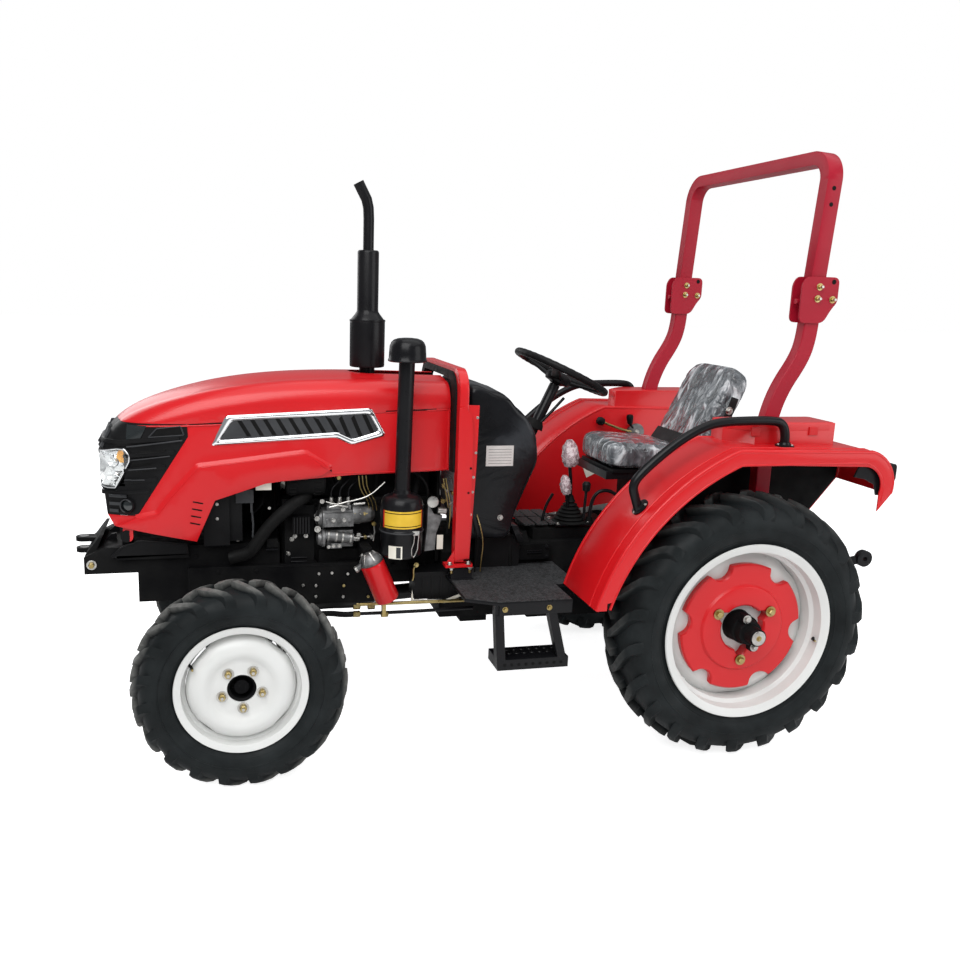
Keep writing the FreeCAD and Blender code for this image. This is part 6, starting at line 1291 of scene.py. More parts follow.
def air_cleaner_band():
    """Blank yellow band and tag round the air cleaner, and the wire clip in front of them."""
    band = Piece("air_cleaner_band")
    centre = at(1212, 330, 0)

    def wrap(first, last, low, high, mat, out, steps=28):
        """Patch between two angles in degrees and two heights, with an edge turned in at its top."""
        reach = AIR_CLEANER_RADIUS + out
        turns = [math.radians(first + (last - first) * k / steps) for k in range(steps + 1)]
        rows = [[Vector((centre.x + reach * math.sin(a), centre.y + reach * math.cos(a), z / 1000))
                 for a in turns] for z in (low, high)]
        band.loft(rows, mat, caps=False, closed=False)
        edge = [p + (Vector((centre.x, centre.y, p.z)) - p) * 0.02 for p in rows[1]]
        band.loft([rows[1], edge], mat, caps=False, closed=False)

    wrap(-52, 62, 838, 902, YELLOW, -0.0008)
    wrap(-56, -52, 838, 902, RED, -0.0008, 4)
    wrap(62, 68, 838, 902, RED, -0.0008, 4)
    wrap(-52, 62, 893, 896, SHADE_AND_LINE_BLACK, -0.0004)
    wrap(-52, 62, 844, 847, SHADE_AND_LINE_BLACK, -0.0004)
    wrap(8, 46, 724, 772, CREAM, -0.0008)
    wrap(12, 24, 727, 769, GREY, -0.0006, 6)
    for dx in (-0.008, 0.008):
        band.tube([at(1172, 402, 826) + AHEAD * dx, at(1170, 405, 805) + AHEAD * dx,
                   at(1172, 404, 782) + AHEAD * dx, at(1176, 403, 760) + AHEAD * dx * 1.4,
                   at(1180, 402, 738) + AHEAD * dx * 0.8], 0.0024, STEEL, 10)
    band.tube([at(1188, 402, 738), at(1180, 403, 728), at(1172, 402, 738)], 0.0024, STEEL, 10)
    band.block(at(1160, 396, 812), at(1186, 405, 828), STEEL)
    band.done("chassis", smooth=40)


def exhaust_detail():
    """Silencer, tail pipe cut at a slant, and the pipe from the manifold."""
    piece = Piece("exhaust_detail")
    foot = at(1297, 0, 0)
    piece.lathe(foot, UP, [(1.392, 0.062), (1.394, 0.067), (1.400, 0.068), (1.560, 0.068), (1.568, 0.0675),
                           (1.572, 0.066), (1.592, 0.050), (1.604, 0.042), (1.612, 0.041), (1.826, 0.041),
                           (1.830, 0.040), (1.834, 0.036), (1.835, 0.021)], BLACK, 72)
    piece.lathe(foot, UP, [(1.566, 0.0685), (1.570, 0.0695), (1.574, 0.0685)], BLACK, 72, caps=False)
    lean = [at(1297, 0, 1830), at(1297, 0, 1950), at(1299, 0, 1990), at(1306, 0, 2020), at(1320, 0, 2046),
            at(1338, 0, 2080)]
    rows = []
    for k, spot in enumerate(lean):
        tangent = (lean[min(k + 1, 5)] - lean[max(k - 1, 0)]).normalized()
        rows.append(ring(spot, tangent, 0.0205, 40))
    piece.loft(rows, BLACK, caps=False)
    # black ring inside the mouth: painted shade in the pipe
    piece.loft([rows[-1], [p.lerp(lean[-1], 0.14) for p in rows[-1]],
                [p.lerp(lean[-3], 0.14) for p in rows[-3]]], SHADE_AND_LINE_BLACK, caps=False)
    piece.tube([at(1297, -140, 1012), at(1297, -140, 1120), at(1297, -132, 1150), at(1297, -110, 1172),
                at(1297, -70, 1180), at(1297, -30, 1190), at(1297, -8, 1215), at(1297, 0, 1250),
                at(1297, 0, 1393)], 0.030, BLACK, 32)
    piece.done("chassis", replaces=["exhaust"], slot="black_paint", smooth=40)


def arch_line(half, top, foot, corner):
    """Points of an upside-down U across the tractor, from the left foot over to the right."""
    steps = 14
    points = [Vector((half, foot))]
    for side in (1, -1):
        for k in range(steps + 1):
            a = math.radians(90 * k / steps)
            turn = a if side > 0 else math.pi / 2 - a
            points.append(Vector((side * (half - corner + corner * math.cos(turn)),
                                  top - corner + corner * math.sin(turn))))
    points.append(Vector((-half, foot)))
    return points


def arch_detail():
    """Red arch between hood and cowl, with side faces, flanges, feet and bolts."""
    piece = Piece("arch_detail")
    rows = []
    outer = arch_line(0.330, 1.410, 0.682, 0.085)
    inner = arch_line(0.296, 1.376, 0.682, 0.060)
    profile = [(1003, outer, 0.0), (1002, outer, 0.003), (975, outer, 0.004), (969, outer, 0.002),
               (966, outer, -0.006), (965, inner, -0.002), (970, inner, 0.004), (1000, inner, 0.003),
               (1005, inner, 0.0), (1006, inner, -0.004)]
    shoulder = 1.3
    for x, line, out in profile:
        row = []
        for p in line:
            way = Vector((p.x, max(p.y - shoulder, 0))).normalized()
            q = p + way * out
            row.append(at(x, q.x * 1000, q.y * 1000))
        rows.append(row)
    piece.loft(rows, RED, caps=False, closed=False, around=True)
    for side in (1, -1):
        arch_side(piece, side)
    piece.done("chassis", bevel=0.002, smooth=40, replaces=["arch_frame"], slot="red_paint")


def arch_side(piece, side):
    """Outer face, flange, foot and bolts of the arch on one side."""
    face = [(1006, 1272), (984, 1276), (958, 1245), (950, 1180), (948, 1000), (949, 700), (1006, 690)]
    piece.prism([at(x, side * 331, z) for x, z in face], (0, side * 0.010, 0), RED)
    flange = [(968, 1281), (926, 1281), (930, 1050), (945, 690), (968, 690)]
    piece.prism([at(x, side * 322, z) for x, z in flange], (0, side * 0.006, 0), RED)
    piece.block(at(936, side * 300, 664), at(1042, side * 347, 676), RED)
    piece.prism([at(1006, side * 330, 676), at(1040, side * 330, 676), at(1006, side * 330, 730)],
                (0, side * 0.006, 0), RED)
    for x, z in ((932, 1235), (934, 1103), (941, 953), (946, 865), (940, 1010)):
        piece.bolt(at(x, side * 328, z), (0, side, 0), 0.0055, STEEL)
    # black discs: painted shade in the open holes
    for x, z in ((955, 1047), (961, 953)):
        piece.lathe(at(x, side * 341, z), (0, side, 0), [(0, 0.0045), (0.0008, 0.0045)], SHADE_AND_LINE_BLACK, 14)
    for x in (1024, 952):
        piece.bolt(at(x, side * 338, 676), UP, 0.014, STEEL)
        piece.bolt(at(x - 8, side * 338, 663), (0, 0, -1), 0.015, STEEL)
        piece.rod(at(x - 8, side * 338, 664), at(x - 8, side * 338, 640), 0.006, BRASS, 12)


def hood_seal_detail():
    """Rubber lip between arch and hood."""
    seal = Piece("hood_seal_detail")
    rows = []
    outer = arch_line(0.299, 1.397, 1.024, 0.082)
    inner = arch_line(0.262, 1.372, 1.024, 0.078)
    for x, line in ((974, outer), (979, outer), (1013, outer), (1018, inner), (1016, inner), (972, inner)):
        rows.append([at(x, p.x * 1000, p.y * 1000) for p in line])
    seal.loft(rows, RUBBER, caps=False, closed=False, around=True)
    seal.done("chassis", bevel=0.004, smooth=50, replaces=["hood_seal"], slot="rubber")


def steering_wheel_detail():
    """Grooved rim, three spokes and the hub, about the CAD wheel's own axis and height."""
    joint = JOINTS["steering_wheel_turn"]
    axis = Vector(joint["axis"]).normalized()
    if axis.z < 0:
        axis = -axis
    centre = Vector(joint["pos_m"])
    node = frame["nodes"]["steering_wheel"]
    spots = [node.matrix_world @ v.co for v in node.data.vertices]
    rim = [p for p in spots if ((p - centre) - axis * (p - centre).dot(axis)).length > 0.18]
    lift = sum((p - centre).dot(axis) for p in rim)
    lift /= max(1, len(rim))
    hub_low = min((p - centre).dot(axis) for p in spots)
    middle = centre + axis * lift
    front = ACROSS.cross(axis).normalized()

    def spot(reach, turn, up):
        """A point on the wheel from its distance, turn and height."""
        return middle + axis * up + reach * (math.cos(turn) * front + math.sin(turn) * ACROSS)

    piece = Piece("steering_wheel_detail")
    rim_radius, grooves, steps = 0.196, 36, 120
    round_grip = [2 * math.pi * i / 16 for i in range(16)]
    rows = []
    for k in range(steps):
        turn = 2 * math.pi * k / steps
        grip = 0.0145 + 0.0006 * math.cos(turn * grooves)
        rows.append([spot(rim_radius + grip * math.cos(a), turn, grip * math.sin(a)) for a in round_grip])
    piece.loft(rows, PLASTIC, around=True)
    half, low = 0.022, -0.034
    for k in range(3):
        turn = math.radians(60 + 120 * k)
        along = math.cos(turn) * front + math.sin(turn) * ACROSS
        aside = -math.sin(turn) * front + math.cos(turn) * ACROSS
        rows = []
        for reach, drop, wide, thick in ((0.030, low, 1.5, 0.012), (0.080, low * 0.75, 1.0, 0.010),
                                         (0.140, low * 0.35, 0.8, 0.008), (0.190, -0.002, 0.75, 0.006)):
            ends = [(half * wide, thick / 2), (half * wide * 0.5, thick), (-half * wide * 0.5, thick),
                    (-half * wide, thick / 2), (-half * wide * 0.8, -thick / 2),
                    (half * wide * 0.8, -thick / 2)]
            rows.append([middle + along * reach + axis * (drop + t) + aside * w for w, t in ends])
        piece.loft(rows, PLASTIC)
    piece.lathe(middle, axis, [(hub_low - lift + 0.002, 0.024), (-0.050, 0.030), (-0.046, 0.050),
                               (-0.030, 0.056), (-0.016, 0.054), (-0.008, 0.044), (-0.004, 0.030),
                               (-0.003, 0.001)], PLASTIC, 48)
    piece.done("steering_wheel", bevel=0.001, smooth=45, replaces=["steering_wheel"], slot="black_plastic")


# ---------------------------------------------------------------- cowl and seat

def cowl_detail():
    """Black dash cowl under creased wrapping film."""
    outline = [(945, 1346), (905, 1352), (800, 1320), (706, 1236), (662, 1170), (650, 1090), (652, 1040),
               (742, 830), (760, 738), (935, 738), (938, 1000)]
    run = spaced(closed_loop(rounded_run(outline, 34)), 161)[:-1]
    middle = Vector((800, 1040))
    wave = random.Random(5)
    folds = [(wave.uniform(0.01, 0.05), wave.uniform(0.01, 0.06), wave.uniform(0.02, 0.06),
              wave.uniform(0, 6.28), wave.uniform(0.7, 2.0)) for _ in range(9)]
    piece = Piece("dash_cowl_detail")
    rows = []
    for y, inset in ((-240, 22), (-238, 9), (-230, 2), (-200, 0), (-140, 0), (-70, 0), (0, 0), (70, 0),
                     (140, 0), (200, 0), (230, 2), (238, 9), (240, 22)):
        row = []
        for p in run:
            way = middle - p
            slump = max(0.0, (p.y - 1050) / 300)
            crease = sum(h * math.sin(a * p.x + b * y + c * p.y + d) for a, b, c, d, h in folds) * slump
            shrink = inset + 4 + crease * 0.8 + 10 * slump * max(0.0, (abs(y) - 120) / 120) ** 2
            q = p + way.normalized() * shrink
            row.append(at(q.x, y, q.y))
        rows.append(row)
    piece.loft(rows, FILM_BLACK)
    piece.done("chassis", replaces=["dash_cowl"], slot="black_plastic", smooth=70)


def cowl_trim():
    """Blank plates on the cowl, hanging pipes, the plates below it and the steering column's collar."""
    trim = Piece("cowl_trim")
    for side in (1, -1):
        trim.block(at(758, side * 238, 1034), at(868, side * 241.5, 1114), CREAM if side < 0 else PLATE)
        for k in range(6):
            trim.block(at(766, side * 241, 1044 + 11 * k), at(858, side * 241.9, 1045.2 + 11 * k), GREY)
        trim.bolt(at(800, side * 239, 828), (0, side, 0), 0.012, STEEL)
    for dx in (0, 22):
        pipe(trim, [at(918 - dx, 236, 845), at(908 - dx, 262, 800), at(900 - dx, 262, 770),
                    at(892 - dx, 258, 728), at(900 - dx, 262, 660), at(902 - dx, 262, 618)], 0.0028,
             BRASS if dx else RUBBER)
    trim.block(at(792, 160, 760), at(826, 205, 830), PLASTIC)
    trim.block(at(700, 100, 565), at(886, 196, 742), PLASTIC)
    trim.block(at(690, 150, 740), at(890, 204, 748), PLASTIC)
    trim.tube([at(577, 18, 1168), at(530, 20, 1215), at(477, 18, 1272)], 0.006, BLACK, 12)
    trim.lathe(at(603, 0, 1150), Vector((-0.42, 0, 0.906)), [(0, 0.045), (0.02, 0.040), (0.035, 0.030)],
               RUBBER, 32)
    trim.done("chassis", bevel=0.001, smooth=40)


def swell(piece, cap):
    """Lets the pad swell as cloth under a little air, keeps each point within a cap, and applies it."""
    pressure, frames = 4.0, 20
    scene = bpy.context.scene
    remesh = piece.modifiers.new("remesh", "REMESH")
    remesh.mode = "VOXEL"
    remesh.voxel_size = 0.006
    graph = bpy.context.evaluated_depsgraph_get()
    even = bpy.data.meshes.new_from_object(piece.evaluated_get(graph))
    piece.modifiers.clear()
    mats = list(piece.data.materials)
    piece.data = even
    even.materials.clear()
    for mat in mats:
        even.materials.append(mat)
    start = [v.co.copy() for v in even.vertices]
    cloth = piece.modifiers.new("cloth", "CLOTH")
    cloth.settings.use_pressure = True
    cloth.settings.uniform_pressure_force = pressure
    cloth.settings.effector_weights.gravity = 0
    for number in range(1, frames + 1):
        scene.frame_set(number)
    graph = bpy.context.evaluated_depsgraph_get()
    puffed = piece.evaluated_get(graph).to_mesh()
    moved = []
    for before, vertex in zip(start, puffed.vertices):
        step = vertex.co - before
        if step.length > cap:
            step *= cap / step.length
        moved.append(before + step)
    piece.evaluated_get(graph).to_mesh_clear()
    piece.modifiers.clear()
    scene.frame_set(1)
    for vertex, place in zip(even.vertices, moved):
        vertex.co = place
    even.polygons.foreach_set("use_smooth", [True] * len(even.polygons))
    soft = piece.modifiers.new("soft", "SUBSURF")
    soft.levels = soft.render_levels = 1


def pad(name, centre, along, up, length, width, thick, crown, mat, node, cap, nose=0.0):
    """Crowned pad: a rounded slab whose sides pull in between its corners."""
    roundness, squareness, waist = 3.2, 0.42, 0.012
    along, up = Vector(along).normalized(), Vector(up).normalized()
    piece = Piece(name)
    count = 64
    rows = []
    for level in (-0.98, -0.9, -0.72, -0.4, 0.0, 0.4, 0.72, 0.9, 0.98):
        spread_out = (1 - abs(level) ** roundness) ** (1 / roundness)
        row = []
        for k in range(count):
            turn = 2 * math.pi * k / count
            c, s = math.cos(turn), math.sin(turn)
            u = math.copysign(abs(c) ** squareness, c)
            v = math.copysign(abs(s) ** squareness, s)
            pull = 1 - waist * (1 - abs(abs(c) - abs(s)))
            edge = (1 - 0.055 * (1 - spread_out)) if spread_out > 0.9 else 0.93 + 0.07 * spread_out
            x = u * length / 2 * pull * edge
            y = v * width / 2 * pull * edge
            lift = level * thick / 2
            if level > 0:
                lift += crown * level * (1 - (2 * x / length) ** 2) * (1 - (2 * y / width) ** 2)
            lift -= nose * max(0.0, 2 * x / length - 0.55) ** 2
            row.append(Vector(centre) + along * x + ACROSS * y + up * lift)
        rows.append(row)
    for row, top in ((rows[0], False), (rows[-1], True)):
        middle = sum(row, Vector()) / count
        bulge = crown if top else 0.0
        more = []
        for share in (0.85, 0.6, 0.35, 0.12):
            rise = up * bulge * (1 - share ** 2) * 0.6
            more.append([middle.lerp(p, share) + rise for p in row])
        rows = rows + more if top else more[::-1] + rows
    piece.loft(rows, mat)
    shown = piece.done("chassis", replaces=[node], slot="seat_vinyl", smooth=80)
    swell(shown, cap)


def seat_detail():
    """Vinyl seat still in its creased clear film."""
    pad("seat_cushion_pad", at(158, 0, 1046), (1, 0, 0.06), (-0.06, 0, 1), 0.350, 0.405, 0.084, 0.016,
        FILM_SEAT, "seat_cushion", 0.010, nose=0.03)
    lean = Vector((-0.44, 0, 0.898))
    face = Vector((0.898, 0, 0.44))
    pad("seat_back_pad", at(-161, 0, 1226), lean, face, 0.404, 0.400, 0.090, 0.012, FILM_SEAT, "seat_back",
        0.009)


def seat_trim():
    """Black straps beside the seat's back, the wedge between the pads and the plate under the cushion."""
    trim = Piece("seat_trim")
    for y in (-203, 203):
        side = 1 if y > 0 else -1
        trim.prism([at(-208, y, 1290), at(-178, y, 1300), at(-118, y, 1120), at(-60, y, 1010),
                    at(-100, y, 1000), at(-150, y, 1110)], (0, side * 0.006, 0), BLACK)
        for x, z in ((-169, 1242), (-142, 1159)):
            trim.bolt(at(x, y + side * 6, z), (0, side, 0), 0.017, STEEL)
    trim.prism([at(-6, -150, 1080), at(-40, -150, 1130), at(-60, -150, 1120), at(-40, -150, 1020),
                at(30, -150, 1010)], (0, 0.300, 0), PLASTIC)
    trim.block(at(10, -168, 982), at(306, 168, 996), PLASTIC)
    trim.done("chassis", bevel=0.001, smooth=40)


# ---------------------------------------------------------------- front, deck, fenders, roll bar, controls

def front_detail():
    """Bumper bolt, gussets behind the guard, and the black skirt under the hood's nose."""
    piece = Piece("front_detail")
    for side in (1, -1):
        piece.bolt(at(2330, side * 180, 679), (0, side, 0), 0.019, BRASS, STEEL)
        skirt = [(1985, 712), (1990, 756), (2150, 774), (2170, 772), (2176, 764), (2200, 760), (2222, 748),
                 (2256, 716), (2240, 706)]
        piece.prism([at(x, side * 194, z) for x, z in skirt], (0, side * 0.008, 0), PLASTIC)
        piece.tube([at(x, side * 199, z - 4) for x, z in skirt[1:8]], 0.005, PLASTIC, 10)
        piece.block(at(1985, side * 178, 700), at(2240, side * 202, 716), CASTING)
        piece.prism([at(2250, side * 60, 742), at(2330, side * 60, 700), at(2268, side * 60, 765),
                     at(2250, side * 60, 768)], (0, side * 0.006, 0), BLACK)
        for x, z in ((1960, 700), (1880, 640), (1740, 640)):
            piece.bolt(at(x, side * (180 if x > 1950 else 200), z), (0, side, 0), 0.010, CASTING)
    for z in (735, 692):
        piece.lathe(at(2374, 0, z + 8), UP, [(0, 0.018), (0.001, 0.018)], BLACK, 24)
    piece.done("chassis", bevel=0.001, smooth=40)


def deck_detail():
    """Gritty tops of the decks, bolts on their lips, treads, cover plates and pads between them."""
    piece = Piece("deck_detail")
    top = [(542, 152), (884, 152), (1018, 167), (1018, 559), (907, 618), (634, 618), (634, 444), (542, 444)]
    post = [(930, 285), (930, 346), (1022, 346), (1022, 285)]
    for side in (1, -1):
        piece.prism([at(x, side * y, 612.5) for x, y in top], (0, 0, 0.002), GRIT)
        piece.prism([at(x, side * y, 613) for x, y in post], (0, 0, 0.004), BLACK)
        for x in (887, 720):
            piece.bolt(at(x, side * 620, 586), (0, side, 0), 0.011, BRASS)
        step_tread(piece, side)
    cover_plates(piece)
    for k in range(3):
        for j in range(2):
            piece.block(at(655 - 56 * k, -140 + 130 * j, 757), at(607 - 56 * k, -22 + 130 * j, 764), GRIT)
    piece.tube([at(744, 130, 740), at(738, 190, 700), at(736, 196, 620)], 0.008, RUBBER, 12)
    piece.done("chassis", bevel=0.001, smooth=40)


def step_tread(piece, side):
    """Raised teeth, and holes drawn as black discs painted as the shade inside them, on one step."""
    for row in range(2):
        for k in range(8):
            centre = at(664 + 30 * k, side * (520 + 34 * row), 392)
            piece.lathe(centre, UP, [(0, 0.011), (0.003, 0.009), (0.003, 0.006), (0, 0.006)], BLACK, 14)
            piece.lathe(centre, UP, [(0, 0.006), (0.0006, 0.006)], SHADE_AND_LINE_BLACK, 14)
    for k in range(9):
        piece.lathe(at(662 + 27 * k, side * 616, 372), (0, side, 0), [(0, 0.006), (0.0008, 0.006)],
                    SHADE_AND_LINE_BLACK, 14)


def cover_plates(piece):
    """Two bolted plates with slots on the gearbox's side."""
    for x0, x1, z0, z1 in ((735, 868, 640, 742), (568, 716, 636, 700)):
        piece.block(at(x0, 150, z0), at(x1, 188, z1), CASTING)
        for z in (z0 + 26, z1 - 30):
            piece.block(at(x0 + 34, 187, z), at(x0 + 96, 192, z + 5), BLACK)
            # black strip under each bar: painted shade in the slot
            piece.block(at(x0 + 34, 187, z - 12), at(x0 + 96, 188.5, z - 1), SHADE_AND_LINE_BLACK)
        for x, z in ((x0 + 12, z0 + 12), (x1 - 12, z0 + 12), (x0 + 12, z1 - 12), (x1 - 12, z1 - 12)):
            piece.bolt(at(x, 188, z), ACROSS, 0.010, BLACK)


def arc_through(a, b, c, steps):
    """Points of the circle through three (x, z) places, from the first to the last."""
    a, b, c = Vector(a), Vector(b), Vector(c)
    d = 2 * (a.x * (b.y - c.y) + b.x * (c.y - a.y) + c.x * (a.y - b.y))
    centre = Vector(((a.length_squared * (b.y - c.y) + b.length_squared * (c.y - a.y)
                      + c.length_squared * (a.y - b.y)) / d,
                     (a.length_squared * (c.x - b.x) + b.length_squared * (a.x - c.x)
                      + c.length_squared * (b.x - a.x)) / d))
    turns = [math.atan2(p.y - centre.y, p.x - centre.x) for p in (a, b, c)]
    for i in (1, 2):
        while turns[i] < turns[i - 1]:
            turns[i] += 2 * math.pi
    if turns[2] - turns[0] > 2 * math.pi:
        turns[2] -= 2 * math.pi
    radius = (a - centre).length
    return [centre + radius * Vector((math.cos(t), math.sin(t)))
            for t in (turns[0] + (turns[2] - turns[0]) * k / steps for k in range(steps + 1))]


def fender_line(inset):
    """Side view of the fender's top from foot to tail, drawn in by millimetres."""
    front = arc_through((600, 613), (452, 905), (95, 1176), 40)
    tail = arc_through((-440, 1166), (-512, 1120), (-535, 1012), 10)
    middle = Vector((0, 640))
    return [p + (middle - p).normalized() * inset for p in front + tail]


def fender_detail():
    """Rolled shoulders and lips, tool box lids, a near-black sheet on each fender's inner face as painted shade,
    and a blank label inside the far fender.
    """
    piece = Piece("fender_detail")
    for side in (1, -1):
        for y, inset, radius in ((753, 5, 0.0085), (447, 5, 0.0085), (757, 53, 0.005), (700, -0.5, 0.0035)):
            run = fender_line(inset)
            piece.tube([at(p.x, side * y, p.y) for p in run], radius, RED, 12)
        tool_box_lid(piece, side)
        # near-black sheet on the fender's inner face under its top: painted shade
        shade = fender_line(14)[4:] + [Vector((-330, 768)), Vector((545, 648))]
        piece.prism([at(p.x, side * 445.5, p.y) for p in shade], (0, side * 0.002, 0), CASTING)
    piece.prism([at(189, -439, 894), at(148, -439, 909), at(107, -439, 864), at(164, -439, 837)],
                (0, 0.001, 0), CREAM)
    piece.prism([at(158, -438, 905), at(112, -438, 872), at(92, -438, 884), at(136, -438, 912)],
                (0, 0.001, 0), YELLOW)
    piece.done("chassis", bevel=0.001, smooth=50)


def tool_box_lid(piece, side):
    """Rolled lid with two hinges and a catch."""
    lid = [(-371, 448), (-371, 610), (-46, 610), (38, 526), (38, 448)]
    middle = Vector((-170, 530))
    rows = []
    for z, out in ((1222, 0), (1222, 5), (1244, 5), (1250, 2), (1252, -3), (1252.5, -40)):
        row = []
        for p in closed_loop(rounded_run(lid, 14, 4)):
            p = Vector(p)
            q = p + (p - middle).normalized() * out
            row.append(at(q.x, side * q.y, z))
        rows.append(row[:-1])
    piece.loft(rows, RED)
    for x in (-300, -60):
        piece.block(at(x, side * 612, 1205), at(x + 36, side * 617, 1236), RED)
    piece.bolt(at(-160, side * 612, 1190), (0, side, 0), 0.010, STEEL)


def tail_lamp_detail():
    """Tail lamps with red and amber lenses on bent brackets."""
    lamps = Piece("tail_lamp_detail")
    for side in (1, -1):
        outline = [(-500, 1058), (-552, 1052), (-556, 1062), (-556, 1106), (-552, 1116), (-500, 1112)]
        lamps.prism([at(x, side * 655, z) for x, z in outline], (0, side * 0.090, 0), PLASTIC)
        lamps.block(at(-562, side * 662, 1060), at(-554, side * 738, 1108), RED_LENS)
        lamps.block(at(-563, side * 700, 1064), at(-556, side * 732, 1104), AMBER)
        bracket = [(-400, 1120), (-470, 1090), (-505, 1050), (-500, 1000), (-480, 1000), (-470, 1040),
                   (-430, 1060), (-380, 1070)]
        lamps.prism([at(x, side * 735, z) for x, z in bracket], (0, side * 0.008, 0), BLACK)
    lamps.done("chassis", replaces=["tail_lamps"], slot="lamp_red", bevel=0.003, smooth=40)


def roll_bar_detail():
    """Curved lower posts with rounded fold plates, their bolts and pins."""
    piece = Piece("roll_bar_detail")
    line = [Vector(p) for p in ((-150, 598), (-150, 1130), (-152, 1240), (-188, 1362), (-262, 1480),
                                (-282, 1560), (-286, 1676))]
    for _ in range(3):
        line = line[:1] + [p.lerp(q, t) for p, q in zip(line, line[1:]) for t in (0.25, 0.75)] + line[-1:]
    for side in (1, -1):
        roll_bar_post(piece, line, side)
        fold_joint(piece, side)
    piece.done("chassis", bevel=0.0015, smooth=45, replaces=["roll_bar_posts"], slot="dark_red_paint")


def roll_bar_post(piece, line, side):
    """Square tube with small chamfers along the post's line."""
    rows = []
    for i, p in enumerate(line):
        along = (line[min(i + 1, len(line) - 1)] - line[max(i - 1, 0)]).normalized()
        across = Vector((along.y, -along.x))
        row = []
        for u, v in ((30, 22), (27, 25), (-27, 25), (-30, 22), (-30, -22), (-27, -25), (27, -25),
                     (30, -22)):
            q = p + across * u
            row.append(at(q.x, side * (506 + v), q.y))
        rows.append(row)
    piece.loft(rows, DARK_RED)


def fold_joint(piece, side):
    """Foot of the post, the two plates of the fold, their bolts, and the open holes drawn as black discs painted
    as the shade inside them.
    """
    outline = [(-222, 1612), (-222, 1752), (-240, 1780), (-374, 1780), (-374, 1690), (-352, 1664),
               (-322, 1612)]
    for y in (531, 473):
        piece.prism([at(p[0], side * y, p[1]) for p in rounded_run(outline, 24, 5)],
                    (0, side * 0.008, 0), DARK_RED)
    piece.block(at(-180, side * 425, 505), at(20, side * 495, 600), DARK_RED)
    for x, z in ((-294, 1744), (-290, 1701), (-352, 1699)):
        for y, way in ((539, 1), (473, -1)):
            piece.bolt(at(x, side * y, z), (0, side * way, 0), 0.014, BRASS, BRASS)
            piece.rod(at(x, side * y, z), at(x, side * (y + way * 20), z), 0.005, STEEL, 12)
    for y, way in ((539, 1), (473, -1)):
        piece.lathe(at(-351, side * y, 1763), (0, side * way, 0), [(0, 0.009), (0.0008, 0.009)], SHADE_AND_LINE_BLACK, 20)
    piece.tube([at(-222, side * 506, 1690), at(-318, side * 506, 1690)], 0.010, DARK_RED, 12)


def hoop_holes():
    """Open holes in the folding hoop, drawn as black discs painted as the shade inside them."""
    hoop = Piece("hoop_holes")
    for side in (1, -1):
        for x, z in ((-313, 2093), (-308, 2036)):
            hoop.lathe(at(x, side * 530.3, z), (0, side, 0), [(0, 0.008), (0.0008, 0.008)], SHADE_AND_LINE_BLACK, 20)
    hoop.done(JOINTS["roll_bar_fold"]["child"], smooth=40)


def grab_rail_detail():
    """Bent tubes on bolted flanges over the fenders."""
    piece = Piece("grab_rail_detail")
    skin = skin_of(["fender_left"])
    for side in (1, -1):
        line = [(408, 925), (430, 985), (448, 1040), (405, 1092), (290, 1188), (190, 1244), (120, 1262),
                (0, 1266), (-80, 1266), (-122, 1258), (-141, 1226), (-143, 1168)]
        pipe(piece, [at(x, side * 650, z) for x, z in line], 0.0165, BLACK, 20, 3)
        for x in (409, -143):
            spot, axis, _, _ = skin.ray_cast(at(x, 650, 1400), -UP)
            spot = Vector((spot.x, side * spot.y, spot.z))
            piece.lathe(spot - axis * 0.003, axis, [(0, 0.034), (0.008, 0.034), (0.010, 0.022),
                                                    (0.018, 0.019)], BLACK, 32)
            for turn in (0.6, 2.7, 4.7):
                out = math.cos(turn) * ACROSS + math.sin(turn) * axis.cross(ACROSS)
                piece.bolt(spot + out * 0.027 + axis * 0.005, axis, 0.007, STEEL)
    piece.done("chassis", replaces=["grab_rails"], slot="black_paint", smooth=50)


def wrapped_knob(piece, foot, top, radius, seed):
    """Knob inside a twist of creased film."""
    lump = random.Random(seed)
    axis = (top - foot).normalized()
    span = (top - foot).length
    rows = []
    for k in range(11):
        share = k / 10
        wide = radius * (0.35 + 0.65 * math.sin(math.pi * min(1.0, 0.12 + share * 0.92)) ** 0.6)
        base = ring(foot + axis * span * share, axis, wide, 20)
        middle = foot + axis * span * share
        rows.append([middle + (p - middle) * lump.uniform(0.82, 1.16) for p in base])
    piece.loft(rows, FILM_PINK)


def controls_detail():
    """Ribbed gear boot and two levers with wrapped knobs, a pedal rod, and the levers beside the seat."""
    piece = Piece("controls_detail")
    gear_boot(piece, 444, 70)
    gear_levers(piece, 444, 70)
    small_levers(piece)
    lift_levers(piece)
    piece.done("chassis", replaces=["controls"], slot="black_plastic", bevel=0.001, smooth=50)


def gear_boot(piece, x, y):
    """Ribbed rubber boot on its plate with four bolts."""
    piece.prism([at(525, y - 62, 757), at(372, y - 62, 757), at(372, y + 62, 757), at(525, y + 62, 757)],
                (0, 0, 0.006), BLACK)
    profile = [(0, 0.072), (0.004, 0.074), (0.010, 0.066)]
    for k in range(6):
        low, wide = 0.012 + 0.014 * k, 0.062 - 0.0085 * k
        profile += [(low, wide - 0.004), (low + 0.005, wide + 0.003), (low + 0.009, wide)]
    profile += [(0.098, 0.016), (0.112, 0.012), (0.114, 0.008)]
    piece.lathe(at(x, y, 760), UP, profile, RUBBER, 40)
    for sx, sy in ((1, 1), (1, -1), (-1, 1), (-1, -1)):
        piece.bolt(at(x + 4 + sx * 66, y + sy * 52, 763), UP, 0.010, STEEL)


